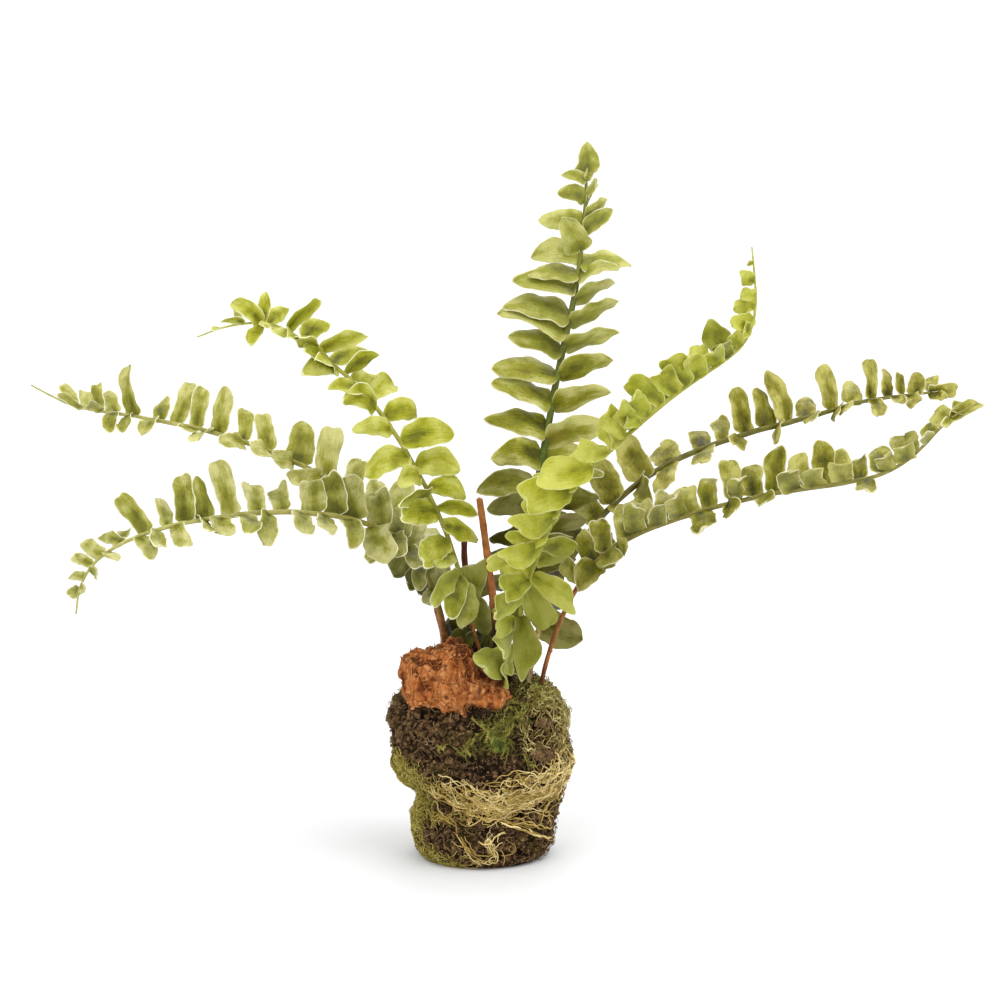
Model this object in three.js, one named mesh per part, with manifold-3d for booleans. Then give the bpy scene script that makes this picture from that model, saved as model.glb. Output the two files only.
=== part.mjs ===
// A young Boston-type fern standing on its bare root ball, in millimetres, +Z up.
// The origin is the centre of the flat underside of the root ball. +X runs across
// the widest spread of the fronds, and the front of the plant faces -Y.
import * as THREE from "three";
import { mergeVertices } from "three/addons/utils/BufferGeometryUtils.js";
import Module from "manifold-3d";

const wasm = await Module();
wasm.setup();
const { Manifold, Mesh } = wasm;

// ---- driving dimensions (mm) ----
const GAP = 0.35; // clearance between pieces that touch
const LEAF_THICKNESS = 0.9;
const LEAF_ARCH = 0.05; // rise of a leaflet's middle, share of its length
const LEAF_CUP = 0.07; // fall of its edges, share of its width
const MIDRIB_TIP_RADIUS = 0.5;
const MIDRIB_FOOT_RADII = [1.0, 1.0, 0.85, 1.25, 1.0, 1.2, 0.95];
const STALK_RADII = [1.7, 1.5, 0.9, 1.35, 1.2, 1.2, 0.95]; // foot of each frond's stalk
const BALL_HEIGHT = 78.5;
const BALL_SIDES = 30;
const PATCH_THICKNESS = 2.2;
const PATCH_EDGE = 0.9;
const CHUNK_CENTRE = [-13, 80];
const CHUNK_Y = -22.5;
const CHUNK_HALF_DEPTH = 13;
const CHUNK_LEAN = 4.5; // how far its lower edge stands forward
const STRAND_RADIUS = 0.8;
const SLIVERS = [0.15, 0.14, 0.13, 0.16, 0.17, 0.12, 0.11, 0.1]; // facets thinner than this are merged away

// Root ball profile: [height, left edge x, right edge x].
const BALL_PROFILE = [
  [0, -24.8, 25.6],
  [3.2, -28.2, 28.8],
  [10, -30.2, 30.6],
  [17.5, -29.9, 31.2],
  [24.5, -27.1, 32],
  [28, -28.3, 32.8],
  [35, -35.3, 35.3],
  [40, -37.7, 36.5],
  [45, -36.5, 37.3],
  [52, -37.3, 36.9],
  [56, -39.8, 36.7],
  [61, -39.4, 36.9],
  [66, -36.5, 35.3],
  [70, -33.5, 33.2],
  [73, -29.5, 30],
  [76, -23, 25.5],
  [77.8, -12, 14],
];
const BALL_DEPTH = 0.97; // depth over width

// Outline of the fibre chunk seen from the front, [x, z].
const CHUNK_OUTLINE = [[-32.5,87.2], [-30.1,90.1], [-25.2,90.5], [-21.1,91.3], [-17,93.4], [-12.1,95.5], [-8.1,96.8], [-4.8,93.4], [-3.2,89.3], [-2.4,85.1], [-0.3,81.3], [3.3,80.5], [7.4,78.8], [11.5,76.7], [12.3,72.6], [9.4,70.5], [3.3,68.4], [-1.6,67.1], [-3.6,64.2], [-6.5,62.5], [-8.5,64.6], [-13,65.4], [-15.9,65], [-18.7,67.1], [-23.2,68], [-28.5,68], [-32.2,70.5], [-33.4,74.7], [-32.6,79.7], [-33,83.8]];

// Patches lying on the ball: name, first and last side, first and last level.
const PATCHES = [
  { name: "moss_front", side: [21, 25], level: [8, 11], color: 0x5d6b2c },
  { name: "moss_top_right", side: [26, 31], level: [9, 13], color: 0x83803a },
  { name: "moss_left", side: [15, 20], level: [1, 7], color: 0x6a6a2c },
  { name: "moss_back", side: [5, 12], level: [8, 12], color: 0x656a2e },
  { name: "root_fibre_band", side: [21, 34], level: [4, 7], color: 0xc2a765 },
];

// Loose roots on the lower ball: [side angle in degrees, height, proud of the ball].
const STRANDS = [
  { name: "root_strand_upper", path: [[252, 19], [262, 17.5], [272, 17], [284, 18], [296, 19.5], [308, 19], [320, 17], [333, 15]] },
  { name: "root_strand_lower", path: [[246, 8], [258, 6.2], [270, 6.8], [282, 9.5], [294, 12.2], [306, 11.5], [318, 9], [330, 7.5]] },
  { name: "root_strand_back", path: [[30, 22], [48, 18], [66, 15], [84, 17], [102, 20], [120, 19], [138, 15]] },
];

// Bare cut leaf stalks, top first, with the radius at the top and at the foot.
const STUBS = [
  { name: "stub_tall", radii: [1.35, 1.85], path: [[-1.1,-12,152], [0.1,-11.2,143.9], [1.3,-10.5,134.9], [2.5,-9.8,125.2], [3.7,-9,115.7], [4.6,-8.3,107.4], [5.6,-7,96.1], [6.4,-5.7,84.5], [7,-5,75.8]] },
  { name: "stub_pointed", radii: [1.25, 1.45], path: [[-7.8,-2,135.7], [-7.5,-0.6,130.7], [-7.1,1.9,123.5], [-6.4,5.1,113.9], [-5.5,8,101.8], [-3.9,8.1,84.4], [-3.4,8,78.4]] },
  { name: "stub_pale", radii: [1.1, 1.35], path: [[23.1,-2,95.8], [21.8,-1.9,89.8], [20.6,-2.4,83.8], [19.4,-3.2,77.4], [18.1,-4,70.5]] },
  { name: "stub_thin", radii: [0.55, 0.75], path: [[-3.6,-14,100.5], [-2.5,-13.3,95.3], [-1,-12,89.8], [0.4,-10.7,84.1], [1.6,-10,78.2]] },
];

// Fronds: midrib points from the tip down, stalk points down into the ball, and
// leaflets as [base x, y, z, tip x, y, z, side direction x, y, z, width, bluntness, fan].
const FRONDS = [
  {
    blade: [[-195.7,89.9,184.2], [-186.5,87.6,179.7], [-177.2,84.8,176], [-167.4,81.5,174.3], [-157.5,78.1,173.5], [-147.7,74.7,172.5], [-138,71.2,171.3], [-128.2,67.6,169.9], [-118.6,63.8,168.3], [-109.2,59.6,166.6], [-100,55.1,164.4], [-90.9,50.8,161.6], [-81.9,46.6,158.4], [-72.8,42.6,155.2], [-64,38.3,151.5], [-55.8,33.7,146.9], [-48.1,29.3,141.5], [-40.6,25.3,135.4], [-33.6,21.5,128.6], [-27.5,18,120.9], [-22.6,14.6,112.3], [-18.8,11.8,103]],
    stalk: [[-18.7,11.7,102.7], [-16.8,10.4,95.5], [-15.3,9.6,88.2], [-14.3,9.2,80.8], [-13.4,9.1,73.3], [-12.6,9,65.8]],
    leaflets: [
      [-176.2, 84.5, 175.8, -182.4, 94.3, 183.1, -0.89, -0.44, -0.16, 5.6, 0.7, 0],
      [-172.8, 83.4, 175, -182.9, 80.7, 181.6, 0.55, -0.58, 0.6, 5, 0.5, 0],
      [-170.5, 82.6, 174.7, -173.2, 94, 181.4, -0.98, -0.14, -0.16, 5.9, 0.3, 0],
      [-165.7, 81, 174.2, -167.8, 92.1, 184.3, -0.9, 0.19, -0.39, 6.1, 0.4, 0],
      [-164.5, 80.5, 174.1, -169, 67.1, 179.7, 0.88, -0.1, 0.47, 6.2, 0.4, 0],
      [-158, 78.3, 173.6, -164.5, 93.3, 179.8, -0.93, -0.37, -0.09, 7.1, 0.2, 0],
      [-159.3, 78.7, 173.7, -159.8, 63.2, 168.2, 0.98, -0.09, 0.18, 6.7, 0.3, 0],
      [-148.4, 74.9, 172.6, -153.6, 82.7, 193.5, -0.66, 0.64, -0.4, 9.3, 0.4, 0],
      [-152.5, 76.4, 173.1, -153.4, 59.4, 168.8, 0.88, -0.16, 0.44, 7.1, 0.3, 0],
      [-137.6, 71.1, 171.2, -138.5, 88.3, 179.2, -0.92, 0.13, -0.37, 7.7, 0.5, 0],
      [-141.7, 72.5, 171.8, -144.8, 53.3, 169.4, 0.98, -0.17, 0.12, 7.9, 0.5, 0],
      [-130.8, 68.6, 170.2, -125.8, 78.1, 186.4, -0.94, 0.31, 0.11, 7.8, 0.4, 0],
      [-125.1, 66.4, 169.4, -127.3, 47.4, 171.1, 0.91, -0.14, -0.39, 7.8, 0.4, 0],
      [-122.2, 65.3, 168.9, -119.4, 72.7, 185.4, -0.98, 0.16, 0.09, 7.4, 0.4, 0],
      [-117.8, 63.5, 168.2, -119.3, 42.8, 167.6, 0.94, -0.08, 0.33, 8.4, 0.6, 0],
      [-111.9, 60.8, 167.1, -109.6, 68.1, 186.9, -0.88, 0.47, -0.07, 8.6, 0.4, 0],
      [-101.8, 56, 164.9, -101.4, 70.7, 176.6, -1, -0.03, 0.08, 7.6, 0.4, 0],
      [-101.8, 56, 164.9, -110.6, 37.9, 167.1, 0.56, -0.36, -0.75, 8.2, 0.4, 0],
      [-90.3, 50.5, 161.4, -93.6, 63.6, 175.5, -0.98, -0.09, -0.15, 8, 0.4, 0],
      [-91.5, 51, 161.8, -96.2, 30.3, 165.8, 0.6, -0.28, -0.75, 8.8, 0.6, 0],
      [-78.1, 44.9, 157.1, -76.8, 58.9, 173.7, -0.99, -0.04, 0.11, 11, 0.3, 0],
      [-80.2, 45.9, 157.8, -88.2, 28.2, 162.3, 0.14, -0.3, -0.94, 8.1, 0.6, 0],
      [-65.2, 38.9, 152.1, -63, 46.5, 172.6, -0.99, -0.03, 0.11, 11, 0.5, 0],
      [-67.3, 40, 153, -80.7, 27.4, 153.1, 0.14, -0.16, -0.98, 7.6, 0.5, 0],
      [-55.4, 33.5, 146.6, -51.5, 51.3, 157.2, -0.95, 0.02, 0.32, 9.3, 0.5, 0],
      [-56.5, 34.1, 147.4, -68.2, 18.3, 145, 0.58, -0.32, -0.75, 8, 0.5, 0],
      [-47.1, 28.8, 140.8, -43.4, 47.3, 149.8, -0.94, 0.02, 0.35, 8.5, 0.2, 0],
      [-48.4, 29.5, 141.7, -56.7, 10.8, 138.4, 0.89, -0.35, -0.3, 8.4, 0.4, 0],
      [-39.4, 24.7, 134.3, -32.4, 31.3, 151.6, -0.93, 0.04, 0.36, 10.1, 0.7, 0],
      [-36.8, 23.3, 131.9, -25.5, 38.5, 141.4, -0.84, 0.41, 0.34, 8.6, 0.7, 0],
      [-38.1, 24, 133.1, -47.3, 10.2, 121.2, 0.87, -0.49, -0.11, 8.3, 0.6, 0],
      [-31.9, 20.6, 126.7, -36.7, 1.7, 117, 0.8, 0.1, -0.59, 8.8, 0.3, 0],
      [-29.7, 19.3, 123.9, -19.5, 35.2, 131.3, -0.84, 0.34, 0.42, 8.2, 0.6, 0],
      [-27.6, 18, 121, -31.4, 1.1, 114.1, 0.45, 0.25, -0.86, 7.5, 0.4, 0],
      [-23.9, 15.5, 114.9, -14.9, 33.1, 119.7, -0.12, -0.21, 0.97, 8.2, 0.4, 0],
      [-23.1, 15, 113.3, -25.1, -4.7, 111.9, 0.63, -0.01, -0.77, 8, 0.4, 0],
      [-20.8, 13.3, 108.3, -11.5, 31.4, 109.8, -0.19, 0.18, -0.97, 8.3, 0.4, 0],
      [-25.7, 16.8, 117.9, -33.7, 16.4, 138.6, 0.72, -0.64, 0.27, 9, 0.6, 0],
    ],
  },
  {
    blade: [[-158.7,-75,117.4], [-157.1,-74.6,127.3], [-152.4,-73.2,136.1], [-144.8,-71,142.4], [-136,-68.1,146.3], [-126.8,-65,149.2], [-117.5,-61.7,151.1], [-108.1,-58.1,152.2], [-98.7,-54.5,152.9], [-89.2,-50.8,153.1], [-79.8,-47.2,152.9], [-70.5,-43.5,152], [-61.4,-39.3,150.3], [-53,-34.3,147.8], [-45.1,-28.9,144.5], [-37.8,-23.4,140.2], [-31.4,-18.2,134.4], [-26.1,-13.7,127.1], [-21.9,-9.9,118.7], [-18.7,-7,109.5], [-16.5,-5,99.9], [-15.1,-4.1,89.9]],
    stalk: [[-15.1,-4.1,89.6], [-14.5,-3.9,84.9], [-14.1,-3.9,80.3], [-13.6,-3.9,75.6], [-13.3,-4,70.9], [-12.9,-4,66.3]],
    leaflets: [
      [-156.9, -74.5, 127.7, -162, -69.5, 123.4, -0.59, 0.09, 0.8, 5.1, 0.5, 0],
      [-156.3, -74.3, 129.4, -153.7, -83.1, 127.8, 0.31, -0.07, 0.95, 3.8, 0.6, 0],
      [-154.8, -73.9, 132.5, -161.4, -65.7, 131.1, -0.39, -0.45, -0.8, 4.3, 0.6, 0],
      [-151.8, -73, 136.8, -160.3, -63.8, 138.4, -0.47, -0.3, -0.83, 5.1, 0.7, 0],
      [-153.5, -73.5, 134.8, -149.2, -83.6, 133.8, 0.03, 0.1, -0.99, 4.4, 0.6, 0],
      [-147.9, -71.9, 140.4, -156.6, -64.3, 144.9, -0.58, -0.21, -0.78, 5.9, 0.6, 0],
      [-146.3, -71.4, 141.5, -141.2, -84.7, 141.2, 0.93, 0.36, -0.05, 5.7, 0.2, 0],
      [-140.2, -69.5, 144.6, -149.8, -58.1, 146.1, -0.63, -0.45, -0.63, 6.1, 0.4, 0],
      [-142.1, -70.1, 143.8, -140.4, -56.5, 147, -0.96, 0.17, -0.23, 5.7, 0.5, 0],
      [-130.8, -66.4, 148.1, -142.9, -60.7, 161.4, -0.77, -0.29, -0.57, 7.7, 0.6, 0],
      [-134.1, -67.5, 147, -127.5, -81.8, 141, 0.92, 0.35, 0.18, 6.8, 0.2, 0],
      [-123.9, -64, 149.9, -127.2, -48.3, 158.4, -0.88, -0.35, 0.31, 7.4, 0.4, 0],
      [-127.4, -65.2, 149, -124.4, -81.2, 145.7, 0.9, 0.25, -0.36, 6.7, 0.5, 0],
      [-116.6, -61.4, 151.2, -118.5, -54.8, 169.2, -0.99, -0.1, -0.07, 8.5, 0.5, 0],
      [-120.3, -62.8, 150.6, -115.3, -78.7, 144.8, 0.92, 0.15, 0.37, 7.2, 0.6, 0],
      [-109, -58.5, 152.1, -112.5, -51.3, 168.6, -0.82, -0.57, 0.07, 7.4, 0.3, 0],
      [-109, -58.5, 152.1, -106.7, -77.4, 150.5, 0.79, 0.15, -0.6, 7.7, 0.3, 0],
      [-98.7, -54.5, 152.9, -105.6, -46.9, 173.1, -0.87, -0.48, -0.12, 9.2, 0.6, 0],
      [-103.9, -56.5, 152.6, -98.7, -75.7, 147.4, 0.97, 0.26, 0, 8.3, 0.7, 0],
      [-88.4, -50.5, 153.1, -93.2, -33.2, 161.9, -0.97, -0.17, -0.19, 8.1, 0.4, 0],
      [-94.9, -53, 153, -91, -73.7, 150.6, 0.97, 0.19, -0.11, 8.6, 0.7, 0],
      [-78.1, -46.5, 152.8, -82.7, -29, 160.3, -0.94, -0.11, -0.31, 9.3, 0.3, 0],
      [-84.6, -49, 153.1, -84.8, -67.6, 144.3, 0.86, 0.21, -0.47, 8.3, 0.5, 0],
      [-66.4, -41.7, 151.4, -69.6, -24.4, 162.4, -0.98, -0.08, -0.16, 11, 0.3, 0],
      [-71.6, -43.9, 152.1, -68.2, -63.1, 147.4, 0.93, 0.24, -0.28, 8.1, 0.6, 0],
      [-57.3, -37, 149.2, -62, -23, 162.6, -0.96, -0.09, -0.25, 9.3, 0.4, 0],
      [-62.5, -39.9, 150.6, -59.7, -59.2, 147.9, 0.92, 0.18, -0.34, 8, 0.5, 0],
      [-50.8, -32.9, 147, -53.9, -22.8, 163.4, -0.99, -0.07, -0.15, 11.4, 0.7, 0],
      [-53.4, -34.6, 148, -49.7, -52.4, 139.4, 0.98, 0.15, 0.11, 8.1, 0.6, 0],
      [-41, -25.8, 142.2, -44.4, -8.5, 153.9, -0.98, -0.07, -0.19, 12.3, 0.7, 0],
      [-43.3, -27.6, 143.6, -37.3, -45.3, 133.6, 0.92, 0.1, 0.38, 11.8, 0.2, 0],
      [-33.4, -19.9, 136.5, -32.8, -2.5, 147.4, -1, -0.01, 0.08, 10.1, 0.3, 0],
      [-36.5, -22.4, 139.2, -31, -40.5, 133.9, 0.86, 0.12, 0.49, 8.5, 0.7, 0],
      [-29.6, -16.7, 132.3, -26.3, 0.8, 141, -0.95, 0.03, 0.3, 8.5, 0.2, 0],
      [-30.6, -17.5, 133.4, -24.7, -35.5, 128.8, 0.92, 0.21, 0.33, 7.9, 0.4, 0],
      [-24.5, -12.3, 124.3, -20.3, 6.3, 131.6, -0.72, -0.11, 0.69, 8.3, 0.4, 0],
      [-25.3, -13, 125.8, -26.5, -31.7, 118.2, 0.69, 0.24, -0.69, 8.2, 0.5, 0],
      [-20.3, -8.5, 114.6, -15, 8.7, 120.2, -0.54, -0.1, 0.83, 7.6, 0.4, 0],
      [-19.7, -7.9, 112.8, -21, -25.3, 110.7, 0.96, -0.04, -0.27, 7.2, 0.3, 0],
      [-16.1, -4.7, 97.2, -8.5, 18.1, 94.5, -0.48, 0.06, -0.88, 9.8, 0.5, 0],
      [-15.4, -4.3, 92.5, -8.1, 19.9, 86.5, -0.66, 0.36, 0.65, 10.5, 0.5, 0],
    ],
  },
  {
    blade: [[-110.8,-62.1,225], [-101.5,-60.9,228.3], [-91.9,-59.6,230.1], [-82.4,-57.5,229.5], [-73.8,-55.1,225.3], [-66.4,-52.7,219.2], [-59.1,-50.1,213.1], [-52.2,-47.4,206.6], [-45.7,-44.7,199.6], [-40,-41.9,192], [-35,-38.7,184.1], [-30.5,-35.5,176], [-26.1,-32.5,167.6], [-22.1,-29.3,159.2], [-18.7,-25.3,150.8], [-15.6,-21.1,142.4], [-12.7,-17.3,133.8], [-10.1,-13.9,124.9], [-7.9,-10.7,115.8], [-5.9,-7.7,106.6], [-4.1,-5.1,97.2], [-2.3,-2.8,87.8]],
    stalk: [[-2.2,-2.7,87.4], [-1.4,-1.7,82.9], [-0.5,-0.8,78.4], [0.3,0.2,73.9], [1.2,1.1,69.4], [2,2,64.9]],
    leaflets: [
      [-101.3, -60.9, 228.3, -104, -68.3, 228.2, 0.92, -0.34, -0.21, 3.2, 0.5, 0],
      [-92.4, -59.7, 230.1, -101.4, -66.2, 231.8, 0.51, -0.53, 0.67, 4.5, 0.1, 0],
      [-93.5, -59.8, 230, -96.8, -49.6, 233.7, -0.79, -0.42, 0.46, 4.6, 0.2, 0],
      [-85.5, -58.3, 230.1, -97.2, -59.4, 238.4, -0.57, -0.14, -0.81, 6.6, 0.5, 0],
      [-85.5, -58.3, 230.1, -83.8, -53.9, 242.1, -0.91, -0.32, 0.24, 5.2, 0.2, 0],
      [-85.5, -58.3, 230.1, -89.9, -70.8, 223.8, 0.95, -0.3, -0.07, 6, 0.4, 0],
      [-82.7, -57.6, 229.6, -75.4, -44.4, 234.6, -0.77, 0.19, 0.6, 6.4, 0, 0],
      [-79.2, -56.7, 228.4, -84.9, -69.5, 229.5, 0.83, -0.4, -0.39, 5.7, 0.4, 0],
      [-76.1, -55.8, 226.8, -64, -50.6, 238.5, -0.37, -0.65, 0.67, 7.1, 0.4, 0],
      [-73.9, -55.1, 225.4, -80.7, -69, 227.5, 0.74, -0.44, -0.5, 6.3, 0.5, 0],
      [-69.7, -53.8, 222, -61.9, -38.6, 227.9, -0.68, 0.06, 0.73, 7.9, 0.5, 0],
      [-70.4, -54, 222.6, -75.1, -72, 225.5, 0.75, -0.29, -0.59, 7.6, 0, 0],
      [-64.5, -52, 217.6, -46.2, -47.2, 224.3, -0.13, -0.6, 0.79, 8.1, 0.5, 0],
      [-66.1, -52.6, 218.9, -70.6, -68.7, 226.3, 0.96, -0.18, 0.21, 7.4, 0.4, 0],
      [-58.6, -49.9, 212.7, -45.1, -35.7, 217.6, -0.73, 0.57, 0.37, 8.2, 0.1, 0],
      [-60.4, -50.6, 214.2, -68.6, -64.7, 220.6, 0.15, -0.48, -0.86, 7.1, 0.3, 0],
      [-54.3, -48.3, 208.7, -39.9, -37.4, 214.2, 0, -0.44, 0.9, 7.7, 0.1, 0],
      [-56, -48.9, 210.3, -68.7, -63.1, 211.4, 0.36, -0.39, -0.85, 7.7, 0.2, 0],
      [-57.8, -49.6, 211.9, -63.4, -67.9, 217.5, 0.52, -0.39, -0.76, 8.1, 0.1, 0],
      [-50.1, -46.6, 204.5, -40.6, -27.9, 204, -0.66, 0.35, 0.67, 8.5, 0.3, 0],
      [-46.8, -45.2, 200.9, -59.5, -60.9, 204.7, 0.51, -0.57, -0.64, 8.3, 0.1, 0],
      [-44.5, -44.2, 198.1, -33.9, -27.4, 200.7, -0.41, 0.12, 0.9, 8.7, 0.5, 0],
      [-41.5, -42.8, 194.2, -55, -57.6, 199.5, -0.21, -0.15, -0.97, 9.6, 0.3, 0],
      [-38.8, -41.2, 190.2, -24.7, -25.7, 189.5, -0.11, 0.15, 0.98, 9.1, 0.3, 0],
      [-35, -38.7, 184.1, -51.2, -48.4, 186.1, -0.14, 0.03, -0.99, 7.7, 0.1, 0],
      [-32.7, -37.1, 180.1, -11, -32.7, 182.1, -0.12, 0.15, 0.98, 11.2, 0.5, 0],
      [-29, -34.4, 173.2, -46.6, -46.9, 167, 0.41, -0.14, -0.9, 10, 0.5, 0],
      [-26.9, -33.1, 169.2, -8.3, -22.5, 165.4, 0.11, 0.17, 0.98, 11.2, 0.2, 0],
      [-24.5, -31.3, 164.2, -34.6, -49.2, 165, 0.16, -0.14, -0.98, 8.3, 0.4, 0],
      [-22.2, -29.4, 159.3, -6, -20.3, 153.9, 0.22, 0.17, 0.96, 8.3, 0.5, 0],
      [-20.9, -28, 156.3, -33.5, -48, 155.9, 0.46, -0.31, 0.83, 9.6, 0, 0],
      [-18.8, -25.5, 151.2, -1.5, -18.1, 145.7, 0.42, -0.35, 0.84, 7.9, 0, 0],
      [-17.6, -23.9, 148.1, -30.9, -41.5, 150.3, 0.07, -0.18, -0.98, 10.4, 0.4, 0],
      [-15.7, -21.2, 142.6, -1.6, -5.5, 133.8, -0.21, 0.61, 0.76, 9.2, 0.3, 0],
      [-13.3, -18, 135.6, -23.9, -36.9, 131.1, 0.59, -0.14, -0.8, 10.8, 0.7, 0],
      [-11.8, -16, 130.7, -17.9, -34.9, 127.9, 0.7, -0.13, -0.7, 8.3, 0.6, 0],
      [-9.1, -12.5, 121, -20.1, -28.1, 111.7, 0.23, 0.37, -0.9, 8.6, 0.6, 0],
      [-9.1, -12.5, 121, -12.4, -27.9, 105.9, 0.98, -0.03, -0.19, 9.1, 0.1, 0.2],
      [-7.1, -9.6, 112.4, 2.9, -1.1, 92.7, 0.74, 0.39, 0.54, 9.6, 0.1, 0],
      [-6.7, -8.9, 110.5, 2, 9.6, 109, -0.32, 0.08, -0.94, 8.3, 0.6, 0],
      [-8.3, -11.4, 117.9, -7.6, -24.9, 101.5, 1, 0.02, 0.03, 10.8, 0.1, 0.3],
      [-6.3, -8.3, 108.4, -3.2, -12.2, 123.9, -0.98, 0.03, 0.2, 12.5, 0.9, 0],
      [-4.4, -5.6, 99, -11.6, 0.6, 93.2, 0.53, -0.17, -0.83, 8.3, 0.5, 0],
      [-3.9, -4.9, 96.4, -10.3, -5.1, 87.2, 0.82, -0.11, -0.57, 8.3, 0.5, 0],
      [-3.4, -4.2, 93.6, 3.2, 10.7, 83.3, 0.51, 0.32, 0.8, 7.8, 0.5, 0],
      [-5.4, -7, 104, -0.1, 11.9, 93.3, 0.16, 0.45, 0.88, 9, 0.5, 0],
    ],
  },
  {
    blade: [[43.6,45.5,286.4], [43.3,44.6,276.5], [42.9,43.3,266.7], [42.1,41.9,256.9], [41.1,40.2,247.1], [39.7,38.4,237.4], [38,36.8,227.8], [36,35.1,218.2], [34,33.5,208.6], [31.9,31.9,199], [30,30.2,189.4], [28.1,28.4,179.8], [26.3,26.5,170.2], [24.5,24.5,160.6], [22.6,22.3,151.1], [20.7,20.2,141.6], [18.7,18.3,132], [16.8,16.4,122.5], [14.8,14.5,112.9], [13,12.7,103.3], [11.3,11,93.6], [10,9.8,83.9]],
    stalk: [[10,9.8,83.5], [9.5,9.4,79.1], [9.2,9.2,74.7], [9,9.1,70.3], [8.8,9,65.9], [8.7,9,61.5]],
    leaflets: [
      [43.5, 45.2, 282.6, 47, 47.7, 289.2, -0.89, 0.06, 0.45, 4.4, 0, 0],
      [43.3, 44.6, 276.8, 32.8, 43.1, 279.1, -0.18, -0.2, -0.96, 4.4, 0, 0],
      [43.3, 44.6, 276.8, 47, 47.5, 284.2, -0.7, -0.48, 0.53, 3.5, 0, 0],
      [43, 43.7, 269.6, 31.1, 41.9, 271.8, -0.17, -0.09, -0.98, 6.2, 0.1, 0],
      [43.1, 43.9, 271.1, 48.4, 53.2, 275.8, -0.14, -0.38, 0.92, 4.7, 0.3, 0],
      [42.8, 43.3, 266.4, 45.6, 55.9, 270.1, 0.15, -0.31, 0.94, 5.4, 0, 0],
      [42.4, 42.3, 259.7, 23.6, 39.1, 260.8, -0.02, -0.18, -0.98, 7.7, 0.3, 0],
      [42.5, 42.6, 261.4, 53, 50.9, 268, -0.08, -0.55, 0.83, 6.1, 0.2, 0],
      [42.1, 41.8, 256.3, 54.2, 48.1, 264.5, -0.43, -0.29, 0.86, 6.4, 0.3, 0],
      [41.2, 40.3, 247.6, 33.5, 33.7, 262.1, -0.88, -0.03, -0.48, 9.5, 0.3, 0],
      [41, 40, 245.9, 20.3, 43.5, 244.5, 0.05, -0.11, -0.99, 8.8, 0.3, 0],
      [40.5, 39.3, 242.3, 62.5, 43.4, 242.8, -0.16, 0.79, 0.6, 9.1, 0.1, 0],
      [39.7, 38.4, 236.9, 55.4, 28.8, 243.2, 0.25, 0.78, 0.58, 7.9, 0.2, 0],
      [40, 38.7, 238.7, 19, 34.6, 237.5, 0.19, -0.79, -0.58, 8.6, 0.1, 0],
      [38.7, 37.4, 231.4, 12, 33, 234.3, 0.06, -0.78, -0.62, 11, 0.2, 0],
      [38, 36.7, 227.6, 56.1, 49.1, 232.5, 0.22, -0.61, 0.76, 9.1, 0.1, 0],
      [36.8, 35.7, 221.9, 8.6, 31.3, 226.2, 0.03, -0.79, -0.61, 11.7, 0.2, 0],
      [36, 35.1, 218, 57.1, 40.8, 226.7, -0.07, -0.74, 0.66, 9.5, 0.3, 0],
      [35.2, 34.4, 214.1, 6.6, 30.6, 223.4, -0.11, -0.74, -0.66, 12.3, 0.1, 0],
      [33.9, 33.5, 208.3, 57.5, 38.8, 213.5, -0.02, -0.64, 0.77, 10, 0, 0],
      [33.5, 33.2, 206.4, 10.3, 29.9, 212.6, -0.07, -0.75, -0.66, 9.8, 0.3, 0],
      [31.5, 31.5, 196.8, 55, 36.8, 201.6, -0.05, -0.55, 0.83, 10, 0.3, 0],
      [31.5, 31.5, 196.8, 3.7, 27, 200, 0.06, -0.79, -0.61, 11.5, 0.2, 0],
      [28.9, 29.2, 183.7, 53.4, 34.9, 190, -0.07, -0.59, 0.81, 10.5, 0, 0],
      [29.2, 29.5, 185.5, 3.7, 26.2, 194.6, -0.12, -0.77, -0.62, 11.1, 0.3, 0],
      [26.2, 26.3, 169.3, 51.3, 32.3, 176.1, -0.17, -0.32, 0.93, 10.8, 0.3, 0],
      [27.1, 27.4, 174.6, 0.3, 23.3, 179.1, -0.02, -0.68, -0.73, 11.1, 0, 0],
      [25.2, 25.2, 164.1, 3.3, 13.6, 163.9, 0.1, -0.16, -0.98, 10.3, 0.3, 0],
      [24.9, 24.9, 162.4, 48.3, 28.8, 160.5, -0.05, 0.67, 0.74, 9.7, 0, 0],
      [22.5, 22.2, 150.2, -2.1, 17.6, 150.2, 0.09, -0.49, -0.87, 10.1, 0.3, 0],
      [23.2, 22.9, 153.8, 50.8, 28.2, 155.1, -0.19, 0.85, 0.49, 11.4, 0.2, 0],
      [20.6, 20.1, 141.1, 1.6, 6.2, 145.1, -0.32, 0.17, -0.93, 9.7, 0.3, 0],
      [21, 20.5, 143, 49.2, 26, 144.9, 0.06, -0.58, 0.82, 11.6, 0.2, 0],
      [18.6, 18.1, 131.3, 2.9, 1.9, 133.3, -0.42, 0.3, -0.86, 9.2, 0.2, 0],
      [19, 18.5, 133.3, 43.3, 23.6, 136.9, -0.04, -0.44, 0.9, 10.2, 0.1, 0],
      [16.9, 16.4, 122.8, 3.7, -1.3, 128, -0.74, 0.39, -0.55, 9.2, 0.1, 0],
      [16.9, 16.4, 122.8, 38.3, 21.6, 128.8, -0.14, -0.44, 0.89, 9.2, 0, 0],
      [15.1, 14.7, 114.1, 35, 20.8, 118.3, -0.05, -0.46, 0.89, 8.6, 0.2, 0],
      [14.6, 14.3, 111.8, 0.8, -3.6, 116.8, -0.72, 0.4, -0.57, 9.4, 0.3, 0],
      [13.7, 13.4, 107.3, 32.4, 17.4, 110.4, -0.04, -0.49, 0.87, 7.9, 0.2, 0],
      [12.8, 12.6, 102.7, 21.7, 32.8, 100.9, 0.41, -0.1, 0.91, 9, 0.5, 0],
      [11.6, 11.3, 95.8, 3.2, 33.7, 95.6, 0.45, 0.16, -0.88, 9.7, 0.5, 0],
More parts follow.
